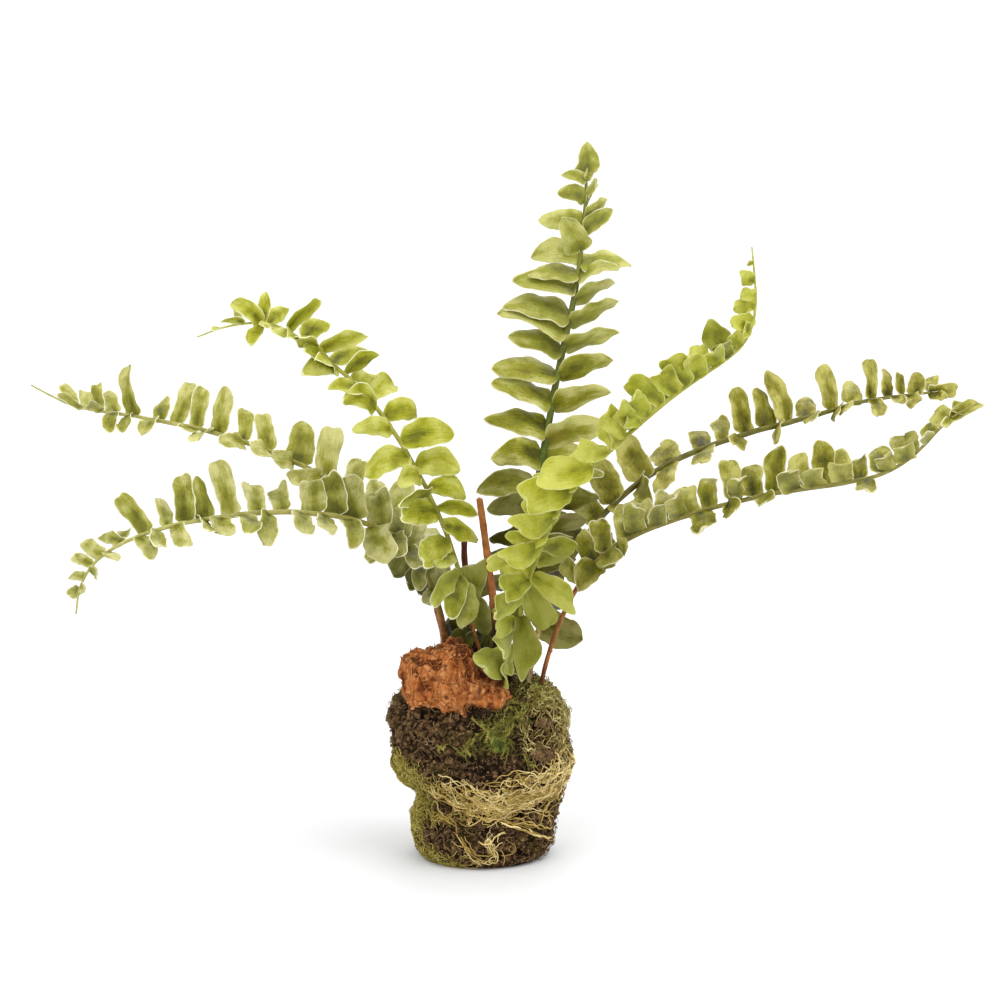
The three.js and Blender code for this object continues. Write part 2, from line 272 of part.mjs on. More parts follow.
      [10.9, 10.7, 91.1, -0.1, 20, 89, 0.01, -0.21, -0.98, 6.6, 0.5, 0],
      [10.3, 10.1, 86.4, -1, 19.2, 81.5, 0.25, -0.21, -0.95, 6.6, 0.5, 0],
      [12, 11.7, 98.1, 20.1, 33.3, 88.7, -0.27, 0.47, 0.84, 10.1, 0.5, 0],
      [43.4, 44.9, 279.4, 43.6, 44.8, 293.1, -1, 0.02, 0.01, 11, 0.1, 0],
      [43.3, 44.6, 276.8, 46.6, 49.3, 283.6, -0.77, -0.29, 0.57, 3.6, 0.3, 0],
    ],
  },
  {
    blade: [[108.2,-19.2,255.7], [109.1,-22.7,245.3], [109.5,-26.7,235.1], [107.8,-31.6,225.5], [102.8,-37,217.6], [95.1,-42.5,212.1], [86.7,-47.8,207.4], [78.2,-52.5,202.2], [69.9,-56.6,196.5], [61.7,-59.2,189.7], [53.5,-59.8,182.4], [45.7,-58.8,174.8], [38.8,-56,166.8], [33.2,-51.7,158.4], [28.8,-46.8,149.7], [25.1,-41.7,140.7], [21.8,-36.8,131.4], [19,-32,122], [16.6,-27.4,112.3], [14.8,-22.6,102.6], [13.4,-17.8,92.9], [12.4,-13.2,83]],
    stalk: [[12.3,-13,82.7], [12.1,-11.4,78.9], [11.9,-9.9,75.1], [11.7,-8.5,71.2], [11.6,-7.3,67.3], [11.5,-6,63.4]],
    leaflets: [
      [27, -44.4, 145.4, 30.5, -23, 146.2, 0.01, 0.03, -1, 8.8, 0.7, 0],
      [21.6, -36.4, 130.6, 32.6, -18.2, 131.2, 0.08, -0.01, -1, 8.6, 0.5, 0],
      [15.5, -24.6, 106.7, 19.1, -36.3, 86.6, 0.99, 0.03, 0.16, 10.6, 0.9, 0.8],
      [13.3, -17.8, 92.8, 10.2, -28.7, 82.8, -0.47, -0.52, 0.71, 6.1, 0.7, 0],
      [108.7, -21.2, 249.7, 105.8, -26.5, 249.7, 0.26, -0.15, 0.95, 2.4, 0.9, 0],
      [109.3, -23.6, 242.7, 103.6, -30.4, 244.9, 0.26, 0.09, 0.96, 6.1, 0.7, 0],
      [109.6, -25.9, 237, 102.6, -35.1, 239.1, 0.15, 0.11, 0.98, 5.3, 0.5, 0],
      [109.5, -27.4, 233.7, 100.2, -35.8, 234, -0.08, 0.13, 0.99, 5.7, 0.6, 0],
      [108.7, -30.1, 228.2, 99.2, -40.7, 226.2, -0.35, 0.14, 0.92, 6.9, 0.6, 0],
      [107.3, -32.4, 224.1, 103.3, -39.4, 224.8, -0.05, 0.13, 0.99, 6.5, 0.6, 0],
      [105.8, -34.2, 221.3, 102.2, -19.3, 220.6, -0.26, -0.11, -0.96, 6.9, 0.7, 0],
      [103.3, -36.6, 218.1, 99.4, -44.8, 223.2, 0.76, 0.04, 0.64, 6.9, 0.6, 0],
      [99.4, -39.6, 214.8, 89.5, -30.7, 225.3, -0.75, -0.04, -0.67, 10.2, 0.6, 0],
      [97.7, -40.8, 213.7, 94.4, -55.5, 221.4, 0.93, -0.01, 0.37, 8.2, 0.9, 0],
      [93.1, -43.8, 211, 90.8, -58.4, 219.4, 0.97, -0.03, 0.23, 8.2, 0.9, 0],
      [89.3, -46.2, 208.8, 87.4, -27.1, 216, -0.9, 0.08, -0.43, 8.3, 0.7, 0],
      [86.3, -48, 207.1, 82.3, -63.8, 217, 0.93, 0, 0.38, 9, 0.9, 0],
      [84.2, -49.2, 205.9, 80.8, -31, 213.3, -0.92, -0.01, -0.4, 9.8, 0.9, 0],
      [81.1, -51, 204.1, 73.3, -64.1, 217, 0.84, 0.03, 0.54, 11.4, 0.8, 0],
      [77, -53.2, 201.5, 69, -65.8, 212.5, 0.78, 0.05, 0.63, 10.6, 0.9, 0],
      [74.1, -54.7, 199.5, 67.9, -36.4, 205.2, -0.77, -0.06, -0.64, 9, 0.8, 0],
      [71.4, -56, 197.5, 58, -66.9, 208.4, 0.58, 0.09, 0.81, 9.8, 0.6, 0],
      [67.1, -57.7, 194.3, 63, -39.7, 199.3, -0.84, -0.05, -0.53, 9, 0.8, 0],
      [65.6, -58.2, 193.1, 58.6, -74.2, 202.8, 0.75, 0.07, 0.65, 9, 0.9, 0],
      [62.4, -59, 190.4, 57.5, -38.7, 193.5, -0.74, -0.07, -0.67, 9, 0.8, 0],
      [60, -59.4, 188.3, 52.7, -76.6, 199.2, 0.78, 0.07, 0.63, 9, 0.9, 0],
      [56.7, -59.8, 185.3, 48.4, -78, 197.8, 0.56, 0.29, 0.78, 9.6, 0.8, 0],
      [52.4, -59.8, 181.3, 48.4, -37.7, 186.9, -0.57, 0.1, -0.82, 9.4, 0.7, 0],
      [49.8, -59.6, 178.8, 37.3, -76, 183.4, 0.15, 0.15, 0.98, 9, 0.6, 0],
      [44.7, -58.5, 173.6, 36.5, -39.2, 175.8, -0.73, -0.23, -0.65, 8.5, 0.6, 0],
      [62.4, -59, 190.4, 56.9, -67.7, 193.1, 0.26, 0.14, 0.95, 7.3, 0.8, 0],
      [55, -59.8, 183.7, 50.7, -68.8, 185, -0.03, 0.16, 0.99, 6.9, 0.8, 0],
      [43.8, -58.3, 172.8, 23.8, -67.1, 172.5, 0.09, -0.17, -0.98, 13.9, 0.5, 0.2],
      [38.6, -55.8, 166.4, 20.5, -43.9, 161.7, 0.14, -0.17, -0.97, 10.6, 0.8, 0.5],
      [35.9, -54, 162.7, 18, -64, 160.4, 0.22, -0.17, -0.96, 15.5, 0.8, 0.4],
      [31.2, -49.6, 154.6, 16.6, -36, 150.2, 0.13, -0.18, -0.98, 10.6, 0.8, 0.5],
      [29.1, -47.1, 150.3, 15.3, -62.5, 148.9, -0.29, 0.18, 0.94, 11.4, 0.8, 0.4],
      [26.3, -43.4, 143.7, 12.6, -32.2, 136.8, 0.33, -0.18, -0.93, 11.4, 0.8, 0.4],
      [24.2, -40.4, 138.3, 10.6, -56.9, 136.6, -0.33, 0.18, 0.93, 10.6, 0.8, 0.3],
      [22.2, -37.4, 132.6, 3.4, -51, 131.8, 0.31, -0.48, 0.82, 9.4, 0.2, 0],
      [20.9, -35.3, 128.7, 7.4, -20.1, 122.1, 0.25, -0.19, -0.95, 11, 1, 0.6],
      [19.2, -32.4, 122.7, 7.8, -48.7, 120.8, -0.41, 0.18, 0.9, 10.6, 0.9, 0.6],
      [17.2, -28.5, 114.7, 5.4, -46, 112.1, -0.22, 0, 0.98, 8.6, 0.3, 0.4],
      [15.9, -25.6, 108.7, 6.2, -11.3, 101.6, 0.39, -0.19, -0.9, 9, 0.9, 0.5],
      [14.8, -22.7, 102.7, 6.6, -42, 103.9, -0.07, 0.09, 0.99, 8.5, 0.8, 0.5],
      [14.2, -20.7, 98.7, 8.2, -39.4, 94.3, -0.62, 0.01, 0.78, 8.1, 0.9, 1],
      [12.9, -15.9, 88.9, 2.5, -34.2, 87, -0.49, 0.19, 0.85, 12.2, 0.9, 0.6],
      [12.5, -14, 84.9, 9, -34.3, 81.2, -0.13, -0.16, 0.98, 8.5, 0.2, 0],
      [18.7, -31.4, 120.7, 27.3, -21.9, 103, -0.88, -0.09, -0.47, 10.2, 0.1, 0.2],
      [19.8, -33.3, 124.7, 36.7, -38.2, 114.2, 0.55, 0.16, 0.82, 9.4, 0.1, 0],
      [24.2, -40.4, 138.3, 37.3, -25.5, 132.6, -0.36, -0.03, -0.93, 8.4, 0.3, 0],
    ],
  },
  {
    blade: [[203.9,92.4,181.7], [193.3,89.9,180.9], [182.9,87,180.1], [172.5,83.9,179.3], [162.1,80.7,178], [152.1,77.3,175.7], [142.1,73.6,173.3], [132,70.1,171], [121.9,66.6,169], [111.9,62.8,166.9], [102.1,58.9,164.4], [92.4,55,161.5], [82.8,51,158], [73.7,46.9,153.8], [65.2,42.4,148.8], [57.2,37.7,142.9], [49.9,33.3,136.2], [43.3,29.1,128.6], [37.4,25,120.5], [32.1,21.3,111.7], [27.5,17.9,102.5], [23.7,14.8,92.7]],
    stalk: [[23.6,14.7,92.4], [21.9,13.2,86.4], [20.4,11.8,80.3], [19.1,10.4,74.2], [18,9.2,68], [17,8,61.8]],
    leaflets: [
      [192.7, 89.7, 180.8, 205.2, 92, 181.3, -0.06, 0.15, 0.99, 6.8, 0.1, 0],
      [194.1, 90.1, 180.9, 195.6, 96.4, 186.3, -0.98, 0.13, 0.11, 5.9, 0.6, 0],
      [197, 90.8, 181.1, 199.1, 84.7, 179.3, 0.69, 0.02, 0.72, 4.5, 0.8, 0],
      [186.8, 88.1, 180.4, 189.4, 95.8, 188.6, -0.97, 0.14, 0.18, 6.8, 0.8, 0],
      [185.3, 87.7, 180.3, 186.5, 75.8, 177.6, 0.87, -0.02, 0.5, 6.8, 0.4, 0],
      [180.6, 86.3, 180, 181.7, 96.6, 188.9, -0.78, -0.36, 0.51, 5.6, 0.6, 0],
      [177.5, 85.4, 179.7, 179.7, 72.8, 178.9, 0.91, 0.13, 0.4, 5.2, 0.5, 0],
      [174.4, 84.5, 179.5, 175.1, 96.3, 190.8, -0.76, -0.43, 0.49, 6.6, 0.6, 0],
      [167.1, 82.3, 178.8, 166.4, 88.3, 195.3, -0.88, -0.46, 0.13, 7.2, 0.9, 0],
      [168.5, 82.7, 178.9, 168.4, 66.1, 174.3, 1, -0.01, 0.01, 7, 0, 0],
      [159.1, 79.7, 177.4, 160.5, 97.2, 185.8, -0.99, 0.01, 0.14, 7.9, 0.5, 0],
      [156.6, 78.9, 176.9, 154.2, 61.3, 177.1, 0.82, -0.1, 0.56, 7.2, 1, 0],
      [150.2, 76.6, 175.3, 145.3, 83.4, 193.4, -0.92, -0.38, -0.11, 8.1, 0.7, 0],
      [152.8, 77.5, 175.9, 150.7, 59.1, 174.9, 0.51, -0.11, 0.85, 7.5, 0.5, 0],
      [138.9, 72.5, 172.5, 140.1, 91.1, 178.8, -1, 0.08, -0.05, 8.2, 0.5, 0],
      [141.8, 73.5, 173.2, 139.1, 53.3, 174.1, 0.78, -0.08, 0.61, 8.3, 0.6, 0],
      [130.2, 69.5, 170.6, 122.5, 77.8, 192.5, -0.78, -0.63, -0.04, 9.9, 0.7, 0],
      [125.8, 68, 169.7, 124.8, 47.1, 166.9, 0.43, -0.14, 0.89, 8.6, 0.7, 0],
      [121.4, 66.4, 168.9, 118.2, 77.5, 185.6, -0.93, -0.36, 0.06, 8.2, 0.5, 0],
      [112.6, 63.1, 167.1, 107.9, 70.2, 186.2, -0.92, -0.37, -0.09, 8.5, 0.6, 0],
      [109.7, 61.9, 166.4, 105.8, 40.8, 165.4, 0.86, -0.13, -0.49, 9.1, 0.5, 0],
      [102.5, 59, 164.6, 100.4, 78.6, 171.1, -0.95, 0.01, -0.32, 8.6, 1, 0],
      [93.8, 55.5, 162, 92.6, 77.5, 167.3, -0.99, -0.02, -0.12, 9.2, 0.7, 0],
      [95.2, 56.1, 162.4, 91.2, 34.4, 159.6, 0.9, -0.21, 0.37, 9, 0.9, 0],
      [79.8, 49.7, 156.7, 76.9, 70, 159.8, -0.86, -0.04, -0.52, 12.2, 0.9, 0],
      [79.8, 49.7, 156.7, 75.2, 29.5, 148.5, 0.91, -0.32, 0.28, 9, 0.9, 0],
      [67.6, 43.7, 150.3, 60, 54.7, 167, -0.92, -0.03, -0.39, 11.3, 0.6, 0],
      [66.4, 43.1, 149.6, 69, 19.6, 144.8, 0.46, -0.13, 0.88, 9.7, 0.6, 0],
      [56.2, 37.1, 142.1, 48.5, 49.5, 157.1, -0.9, -0.05, -0.43, 11.8, 0.9, 0],
      [55, 36.4, 141.1, 62.2, 16.1, 134.8, 0.94, 0.26, 0.24, 9.1, 0.7, 0],
      [49.2, 32.9, 135.5, 38.8, 51, 143.1, -0.7, -0.11, -0.7, 10, 0.7, 0],
      [45.8, 30.7, 131.6, 54.8, 15.1, 121.1, 0.82, 0.09, 0.57, 10, 0.7, 0],
      [42.3, 28.4, 127.4, 31.1, 44.8, 133, -0.59, -0.14, -0.79, 9.1, 1, 0],
      [35.8, 23.9, 118, 26.5, 43.1, 121.3, -0.87, -0.36, -0.34, 8.7, 0.9, 0],
      [27, 17.5, 101.4, 36.6, 36.1, 97.6, -0.75, 0.27, -0.6, 8.6, 0.6, 0],
      [24.5, 15.5, 95.1, 42.2, 20.1, 86.8, 0.38, 0.19, 0.91, 12.2, 0.1, 0],
      [33.7, 22.4, 114.5, 24.4, 43, 106.6, 0.04, -0.34, -0.94, 9.7, 0.6, 0],
    ],
  },
  {
    blade: [[194.7,-57,197.8], [187.1,-56.1,193.7], [180.7,-54.7,187.8], [175.2,-52.9,181.2], [169.3,-50.7,175], [162.4,-48.4,170.1], [154.6,-46.2,166.7], [146.3,-44.2,164.5], [138,-42.1,162.7], [129.6,-39.9,161.1], [121.3,-37.7,159.4], [112.9,-35.5,157.5], [104.7,-33.5,155.3], [96.5,-31.5,152.8], [88.3,-29.6,150.1], [80.2,-27.7,147.2], [72.3,-25.6,144], [64.7,-23.1,140.3], [57.6,-20.3,136], [51,-17.3,130.9], [45.3,-14.5,124.9], [40.5,-12.1,117.9]],
    stalk: [[40.3,-12,117.6], [37.1,-10.4,111.5], [34.1,-9.1,105.1], [31.5,-7.9,98.6], [29.2,-6.7,91.9], [27.2,-5.6,85.2], [25.5,-4.7,78.3], [24.2,-3.8,71.3], [23.1,-3,64.3]],
    leaflets: [
      [184.3, -55.6, 191.5, 195.8, -52.2, 197.5, -0.5, 0.19, 0.85, 5.9, 0.5, 0],
      [187.5, -56.2, 194, 188.9, -50.5, 197.7, -0.98, 0.15, 0.14, 5.9, 0.8, 0],
      [183.5, -55.4, 190.8, 179.4, -47.8, 193.3, -0.58, -0.05, -0.81, 8.2, 0.8, 0],
      [185.1, -55.7, 192.2, 181.5, -63.8, 190.6, 0.78, -0.22, -0.59, 3.6, 0.8, 0],
      [177.9, -53.8, 184.5, 176.2, -42.4, 186, -0.74, -0.02, -0.67, 6.3, 0.8, 0],
      [176.5, -53.3, 182.7, 173.3, -64.9, 186.4, 0.69, 0.03, 0.72, 6.3, 0.6, 0],
      [170.2, -51, 175.9, 168.9, -38.1, 181.3, -0.94, 0.05, -0.35, 11.3, 0.8, 0],
      [167.5, -50, 173.5, 164.6, -62.5, 182.4, 0.97, -0.07, 0.22, 8.2, 0.6, 0],
      [159.4, -47.5, 168.5, 159.7, -31.4, 176.2, -0.99, 0.08, -0.14, 9.1, 0.6, 0],
      [161.6, -48.1, 169.6, 158.2, -61, 177.8, 0.95, -0.05, 0.31, 7.2, 0.8, 0],
      [150.9, -45.3, 165.6, 152.1, -27.6, 171.9, -0.78, 0.26, -0.57, 7.6, 0.9, 0],
      [145.3, -43.9, 164.3, 142.3, -28.3, 174.5, -0.94, 0.03, -0.33, 8.2, 0.7, 0],
      [152.2, -45.6, 166, 151.4, -60.1, 164.1, 0.98, -0.07, 0.16, 8.2, 0.7, 0],
      [143.8, -43.6, 164, 140.5, -57.9, 174.1, 0.97, -0.05, 0.25, 9.1, 0.5, 0],
      [136, -41.6, 162.3, 136.1, -34.6, 179.6, -1, 0.08, -0.03, 9.1, 0.5, 0],
      [132.7, -40.8, 161.7, 130.4, -56.4, 172.6, 0.99, -0.07, 0.12, 9.1, 1, 0],
      [127.8, -39.5, 160.7, 128.1, -25.5, 173.2, -1, 0.07, -0.06, 8.2, 0.7, 0],
      [124.6, -38.6, 160.1, 121, -54.8, 171.6, 0.97, -0.04, 0.25, 9.5, 0.9, 0],
      [117.1, -36.6, 158.5, 117.7, -30.3, 175.6, -1, 0.08, 0, 9.5, 0.7, 0],
      [112.9, -35.5, 157.5, 113.6, -50.7, 157.6, 0.81, 0.04, 0.58, 8.2, 0.9, 0],
      [108.9, -34.5, 156.5, 108.8, -20.1, 168.2, -1, 0.06, -0.08, 8.6, 0.9, 0],
      [103.7, -33.2, 155, 101.7, -49.3, 167.1, 0.86, 0.23, 0.45, 8.2, 0.5, 0],
      [101, -32.6, 154.2, 100.2, -16.1, 168, -0.99, 0.04, -0.11, 9.1, 0.6, 0],
      [98.4, -32, 153.4, 101.3, -46.1, 154, 0.45, 0.13, 0.88, 9.5, 0.9, 0],
      [91.8, -30.4, 151.3, 92.7, -14.3, 161.9, -0.91, 0.26, -0.31, 7.8, 0.6, 0],
      [87.8, -29.5, 149.9, 88.4, -42.3, 146.4, 0.97, -0.01, 0.23, 10.8, 0.5, 0],
      [83.7, -28.5, 148.5, 83.1, -11.9, 157.4, -0.99, 0.03, -0.13, 9.1, 0.8, 0],
      [79.7, -27.5, 147, 77.4, -44.7, 158.2, 0.79, 0.26, 0.55, 8.3, 0.9, 0],
      [74.4, -26.2, 144.9, 75.9, -9.3, 154.5, -1, 0.06, 0.06, 10.9, 0.7, 0],
      [70.4, -25, 143.2, 70.5, -40.4, 153.4, 0.99, 0.07, 0.1, 7.5, 0.7, 0],
      [65.3, -23.3, 140.6, 64.7, -3.9, 150.6, -0.99, 0.02, -0.1, 9.5, 0.7, 0],
      [62.8, -22.4, 139.3, 61.8, -37.8, 152.1, 1, -0.03, 0.04, 9.1, 0.7, 0],
      [59.2, -21, 137.1, 57.3, -4.7, 147, -0.98, 0, -0.19, 8.2, 0.8, 0],
      [54.7, -19, 133.9, 58.9, -31.8, 136.3, 0.01, 0.19, 0.98, 7.7, 0.7, 0],
      [50.5, -17.1, 130.5, 47.6, -0.6, 140.4, -0.97, -0.02, -0.25, 8.2, 0.9, 0],
      [50.5, -17.1, 130.5, 54.2, -30.6, 129.1, 0.7, 0.11, 0.7, 10, 0.8, 0],
      [46, -14.9, 125.7, 40.4, 4.3, 133.7, -0.69, 0.09, -0.71, 8.7, 0.9, 0],
      [41.8, -12.8, 120, 33, 4.4, 123.6, -0.27, 0.06, -0.96, 8, 1, 0],
      [46.8, -15.3, 126.7, 39.5, -23.3, 116.1, 0.86, -0.12, -0.5, 9.5, 0.2, 0],
      [48.6, -16.2, 128.7, 53.6, -22.6, 126.7, 0.52, 0.15, 0.84, 7.8, 0.1, 0],
    ],
  },
];

// ---- helpers ----
const V = (a) => new THREE.Vector3(a[0], a[1], a[2]);

function solid(positions, triangles) {
  return new Manifold(
    new Mesh({
      numProp: 3,
      vertProperties: new Float32Array(positions),
      triVerts: new Uint32Array(triangles),
    }),
  );
}

function outward(positions, triangles) {
  const s = solid(positions, triangles);
  if (s.volume() > 0) return s;
  const t = triangles.slice();
  for (let i = 0; i < t.length; i += 3) [t[i + 1], t[i + 2]] = [t[i + 2], t[i + 1]];
  return solid(positions, t);
}

function geometryOf(s) {
  const m = s.getMesh();
  const n = m.numProp;
  const p = new Float32Array(m.numVert * 3);
  for (let i = 0; i < m.numVert; i++) p.set(m.vertProperties.subarray(i * n, i * n + 3), i * 3);
  const g = new THREE.BufferGeometry();
  g.setAttribute("position", new THREE.BufferAttribute(p, 3));
  g.setIndex(new THREE.BufferAttribute(new Uint32Array(m.triVerts), 1));
  g.computeVertexNormals();
  return g;
}

// True when some edge is shared by more than two facets once corners closer than
// a micrometre are one.
function pinched(s) {
  const g = geometryOf(s).toNonIndexed();
  g.deleteAttribute("normal");
  const merged = mergeVertices(g, 1e-3);
  const at = merged.getAttribute("position");
  const facets = merged.index.array;
  for (const decimals of [3, 4]) {
    const corner = [];
    for (let i = 0; i < at.count; i++)
      corner.push([at.getX(i), at.getY(i), at.getZ(i)].map((x) => x.toFixed(decimals)).join());
    const count = new Map();
    for (let i = 0; i < facets.length; i += 3) {
      const c = [0, 1, 2].map((j) => corner[facets[i + j]]);
      if (c[0] === c[1] || c[1] === c[2] || c[2] === c[0]) continue;
      for (let j = 0; j < 3; j++) {
        const a = c[j];
        const b = c[(j + 1) % 3];
        const edge = a < b ? a + "|" + b : b + "|" + a;
        count.set(edge, (count.get(edge) || 0) + 1);
      }
    }
    if ([...count.values()].some((k) => k !== 2)) return true;
  }
  return false;
}

// The outer surface of the largest body: small pockets closed in between
// overlapping leaflets are filled, and thin facets merged until no edge is pinched.
function filled(s) {
  const bodies = SLIVERS.map((width) => () => s.simplify(width).decompose().sort((a, b) => b.volume() - a.volume())[0]);
  for (const body of bodies) {
    const made = body();
    if (!pinched(made)) return made;
  }
  return bodies[0]();
}

// A tapering tube through the points, with flat ends.
function tube(points, r0, r1, sides) {
  const pts = points.map(V);
  const pos = [];
  const tri = [];
  let side = new THREE.Vector3();
  pts.forEach((p, i) => {
    const a = pts[Math.max(i - 1, 0)];
    const b = pts[Math.min(i + 1, pts.length - 1)];
    const t = b.clone().sub(a).normalize();
    if (i === 0) side.crossVectors(t, Math.abs(t.z) < 0.8 ? new THREE.Vector3(0, 0, 1) : new THREE.Vector3(1, 0, 0));
    side.addScaledVector(t, -side.dot(t)).normalize();
    const up = t.clone().cross(side);
    const r = r0 + ((r1 - r0) * i) / (pts.length - 1);
    for (let k = 0; k < sides; k++) {
      const w = (2 * Math.PI * k) / sides;
      const q = p.clone().addScaledVector(side, r * Math.cos(w)).addScaledVector(up, r * Math.sin(w));
      pos.push(q.x, q.y, q.z);
    }
  });
  for (let i = 0; i < pts.length - 1; i++)
    for (let k = 0; k < sides; k++) {
      const a = i * sides + k;
      const b = i * sides + ((k + 1) % sides);
      tri.push(a, b, b + sides, a, b + sides, a + sides);
    }
  const last = (pts.length - 1) * sides;
  for (let k = 1; k < sides - 1; k++) {
    tri.push(0, k + 1, k);
    tri.push(last, last + k, last + k + 1);
  }
  return outward(pos, tri);
}

// One leaflet: a thin arched blade. A blunt one keeps its width nearly to the tip,
// and a fan widens from its base.
const stationsOf = (blunt, fan) => [
  [0, 0.16],
  [0.16 + 0.1 * fan, 1 - 0.5 * fan],
  [0.6 + 0.22 * blunt, 0.8 + 0.1 * blunt],
];
function leaflet(row) {
  const base = V(row.slice(0, 3));
  const tip = V(row.slice(3, 6));
  const axis = tip.clone().sub(base);
  const length = axis.length();
  axis.normalize();
  const side = V(row.slice(6, 9));
  side.addScaledVector(axis, -side.dot(axis)).normalize();
  const normal = axis.clone().cross(side);
  const width = row[9];
  const pos = [];
  const tri = [];
  for (const [u, share] of stationsOf(row[10], row[11])) {
    const c = base
      .clone()
      .addScaledVector(axis, length * u)
      .addScaledVector(normal, LEAF_ARCH * length * 4 * u * (1 - u));
    const half = (width / 2) * share;
    const drop = LEAF_CUP * width * share;
    for (const v of [
      c.clone().addScaledVector(side, half).addScaledVector(normal, -drop),
      c.clone().addScaledVector(normal, LEAF_THICKNESS / 2),
      c.clone().addScaledVector(side, -half).addScaledVector(normal, -drop),
    ])
      pos.push(v.x, v.y, v.z);
  }
  pos.push(tip.x, tip.y, tip.z);
  tri.push(0, 1, 2);
  for (let i = 0; i < 2; i++)
    for (let k = 0; k < 3; k++) {
      const a = i * 3 + k;
      const b = i * 3 + ((k + 1) % 3);
      tri.push(a, a + 3, b + 3, a, b + 3, b);
    }
  for (let k = 0; k < 3; k++) tri.push(6 + k, 9, 6 + ((k + 1) % 3));
  return outward(pos, tri);
}

// Point on the root ball's side, by angle and height.
function edgeAt(z) {
  const p = BALL_PROFILE;
  let i = 0;
  while (i < p.length - 2 && z > p[i + 1][0]) i++;
  const t = Math.min(1, Math.max(0, (z - p[i][0]) / (p[i + 1][0] - p[i][0])));
  return [p[i][1] + t * (p[i + 1][1] - p[i][1]), p[i][2] + t * (p[i + 1][2] - p[i][2])];
}
function ballPoint(angle, z, proud) {
  const [l, r] = edgeAt(z);
  const cx = (l + r) / 2;
  const a = (r - l) / 2;
  const s = Math.sin(angle);
  const lump = 1 + s * s * (0.022 * Math.sin(3 * angle + 0.11 * z) + 0.018 * Math.sin(5 * angle - 0.17 * z + 1));
  return [cx + (a * lump + proud) * Math.cos(angle), (a * BALL_DEPTH * lump + proud) * s, z];
}
const sideAngle = (i) => (2 * Math.PI * i) / BALL_SIDES;

function ball() {
  const pos = [];
  const tri = [];
  const n = BALL_SIDES;
  const levels = BALL_PROFILE.length;
  for (let j = 0; j < levels; j++) for (let i = 0; i < n; i++) pos.push(...ballPoint(sideAngle(i), BALL_PROFILE[j][0], 0));
  const bottom = pos.length / 3;
  pos.push(0, 0, 0);
  const top = bottom + 1;
  pos.push(1, 0, BALL_HEIGHT);
  for (let j = 0; j < levels - 1; j++)
    for (let i = 0; i < n; i++) {
      const a = j * n + i;
      const b = j * n + ((i + 1) % n);
      tri.push(a, b, b + n, a, b + n, a + n);
    }
  for (let i = 0; i < n; i++) {
    tri.push(bottom, (i + 1) % n, i);
    tri.push(top, (levels - 1) * n + i, (levels - 1) * n + ((i + 1) % n));
  }
  return outward(pos, tri);
}

// A mat lying on the ball over whole cells of its grid, thin at its edge.
function patch({ side, level }) {
  const nu = side[1] - side[0];
  const nv = level[1] - level[0];
  const at = (i, j, proud) => {
    const fi = side[0] + Math.min(Math.max(i, 0.14), nu - 0.14);
    const fj = Math.min(Math.max(j, 0.14), nv - 0.14) + level[0];
    const j0 = Math.min(Math.floor(fj), BALL_PROFILE.length - 2);
    const i0 = Math.floor(fi);
    const mix = (a, b, t) => a.map((v, k) => v + (b[k] - v) * t);
    const z = (k) => BALL_PROFILE[k][0];
    const lower = mix(ballPoint(sideAngle(i0), z(j0), proud), ballPoint(sideAngle(i0 + 1), z(j0), proud), fi - i0);
    const upper = mix(ballPoint(sideAngle(i0), z(j0 + 1), proud), ballPoint(sideAngle(i0 + 1), z(j0 + 1), proud), fi - i0);
    return mix(lower, upper, fj - j0);
  };
  const pos = [];
  const tri = [];
  const w = nu + 1;
  for (const layer of [0, 1])
    for (let j = 0; j <= nv; j++)
      for (let i = 0; i <= nu; i++) {
        const rim = i === 0 || j === 0 || i === nu || j === nv;
        const swell = 0.5 * Math.sin(1.7 * i + 2.3 * j);
        pos.push(...at(i, j, layer ? GAP + 0.15 + (rim ? PATCH_EDGE : PATCH_THICKNESS + swell) : GAP + 0.15));
      }
  const count = w * (nv + 1);
  for (let j = 0; j < nv; j++)
    for (let i = 0; i < nu; i++) {
      const a = j * w + i;
      tri.push(a, a + 1 + w, a + 1, a, a + w, a + 1 + w);
      tri.push(count + a, count + a + 1, count + a + 1 + w, count + a, count + a + 1 + w, count + a + w);
    }
  const loop = [];
  for (let i = 0; i < nu; i++) loop.push(i);
  for (let j = 0; j < nv; j++) loop.push(j * w + nu);
  for (let i = nu; i > 0; i--) loop.push(nv * w + i);
  for (let j = nv; j > 0; j--) loop.push(j * w);
  loop.forEach((a, k) => {
    const b = loop[(k + 1) % loop.length];
    tri.push(a, b, b + count, a, b + count, a + count);
  });
  return outward(pos, tri);
}

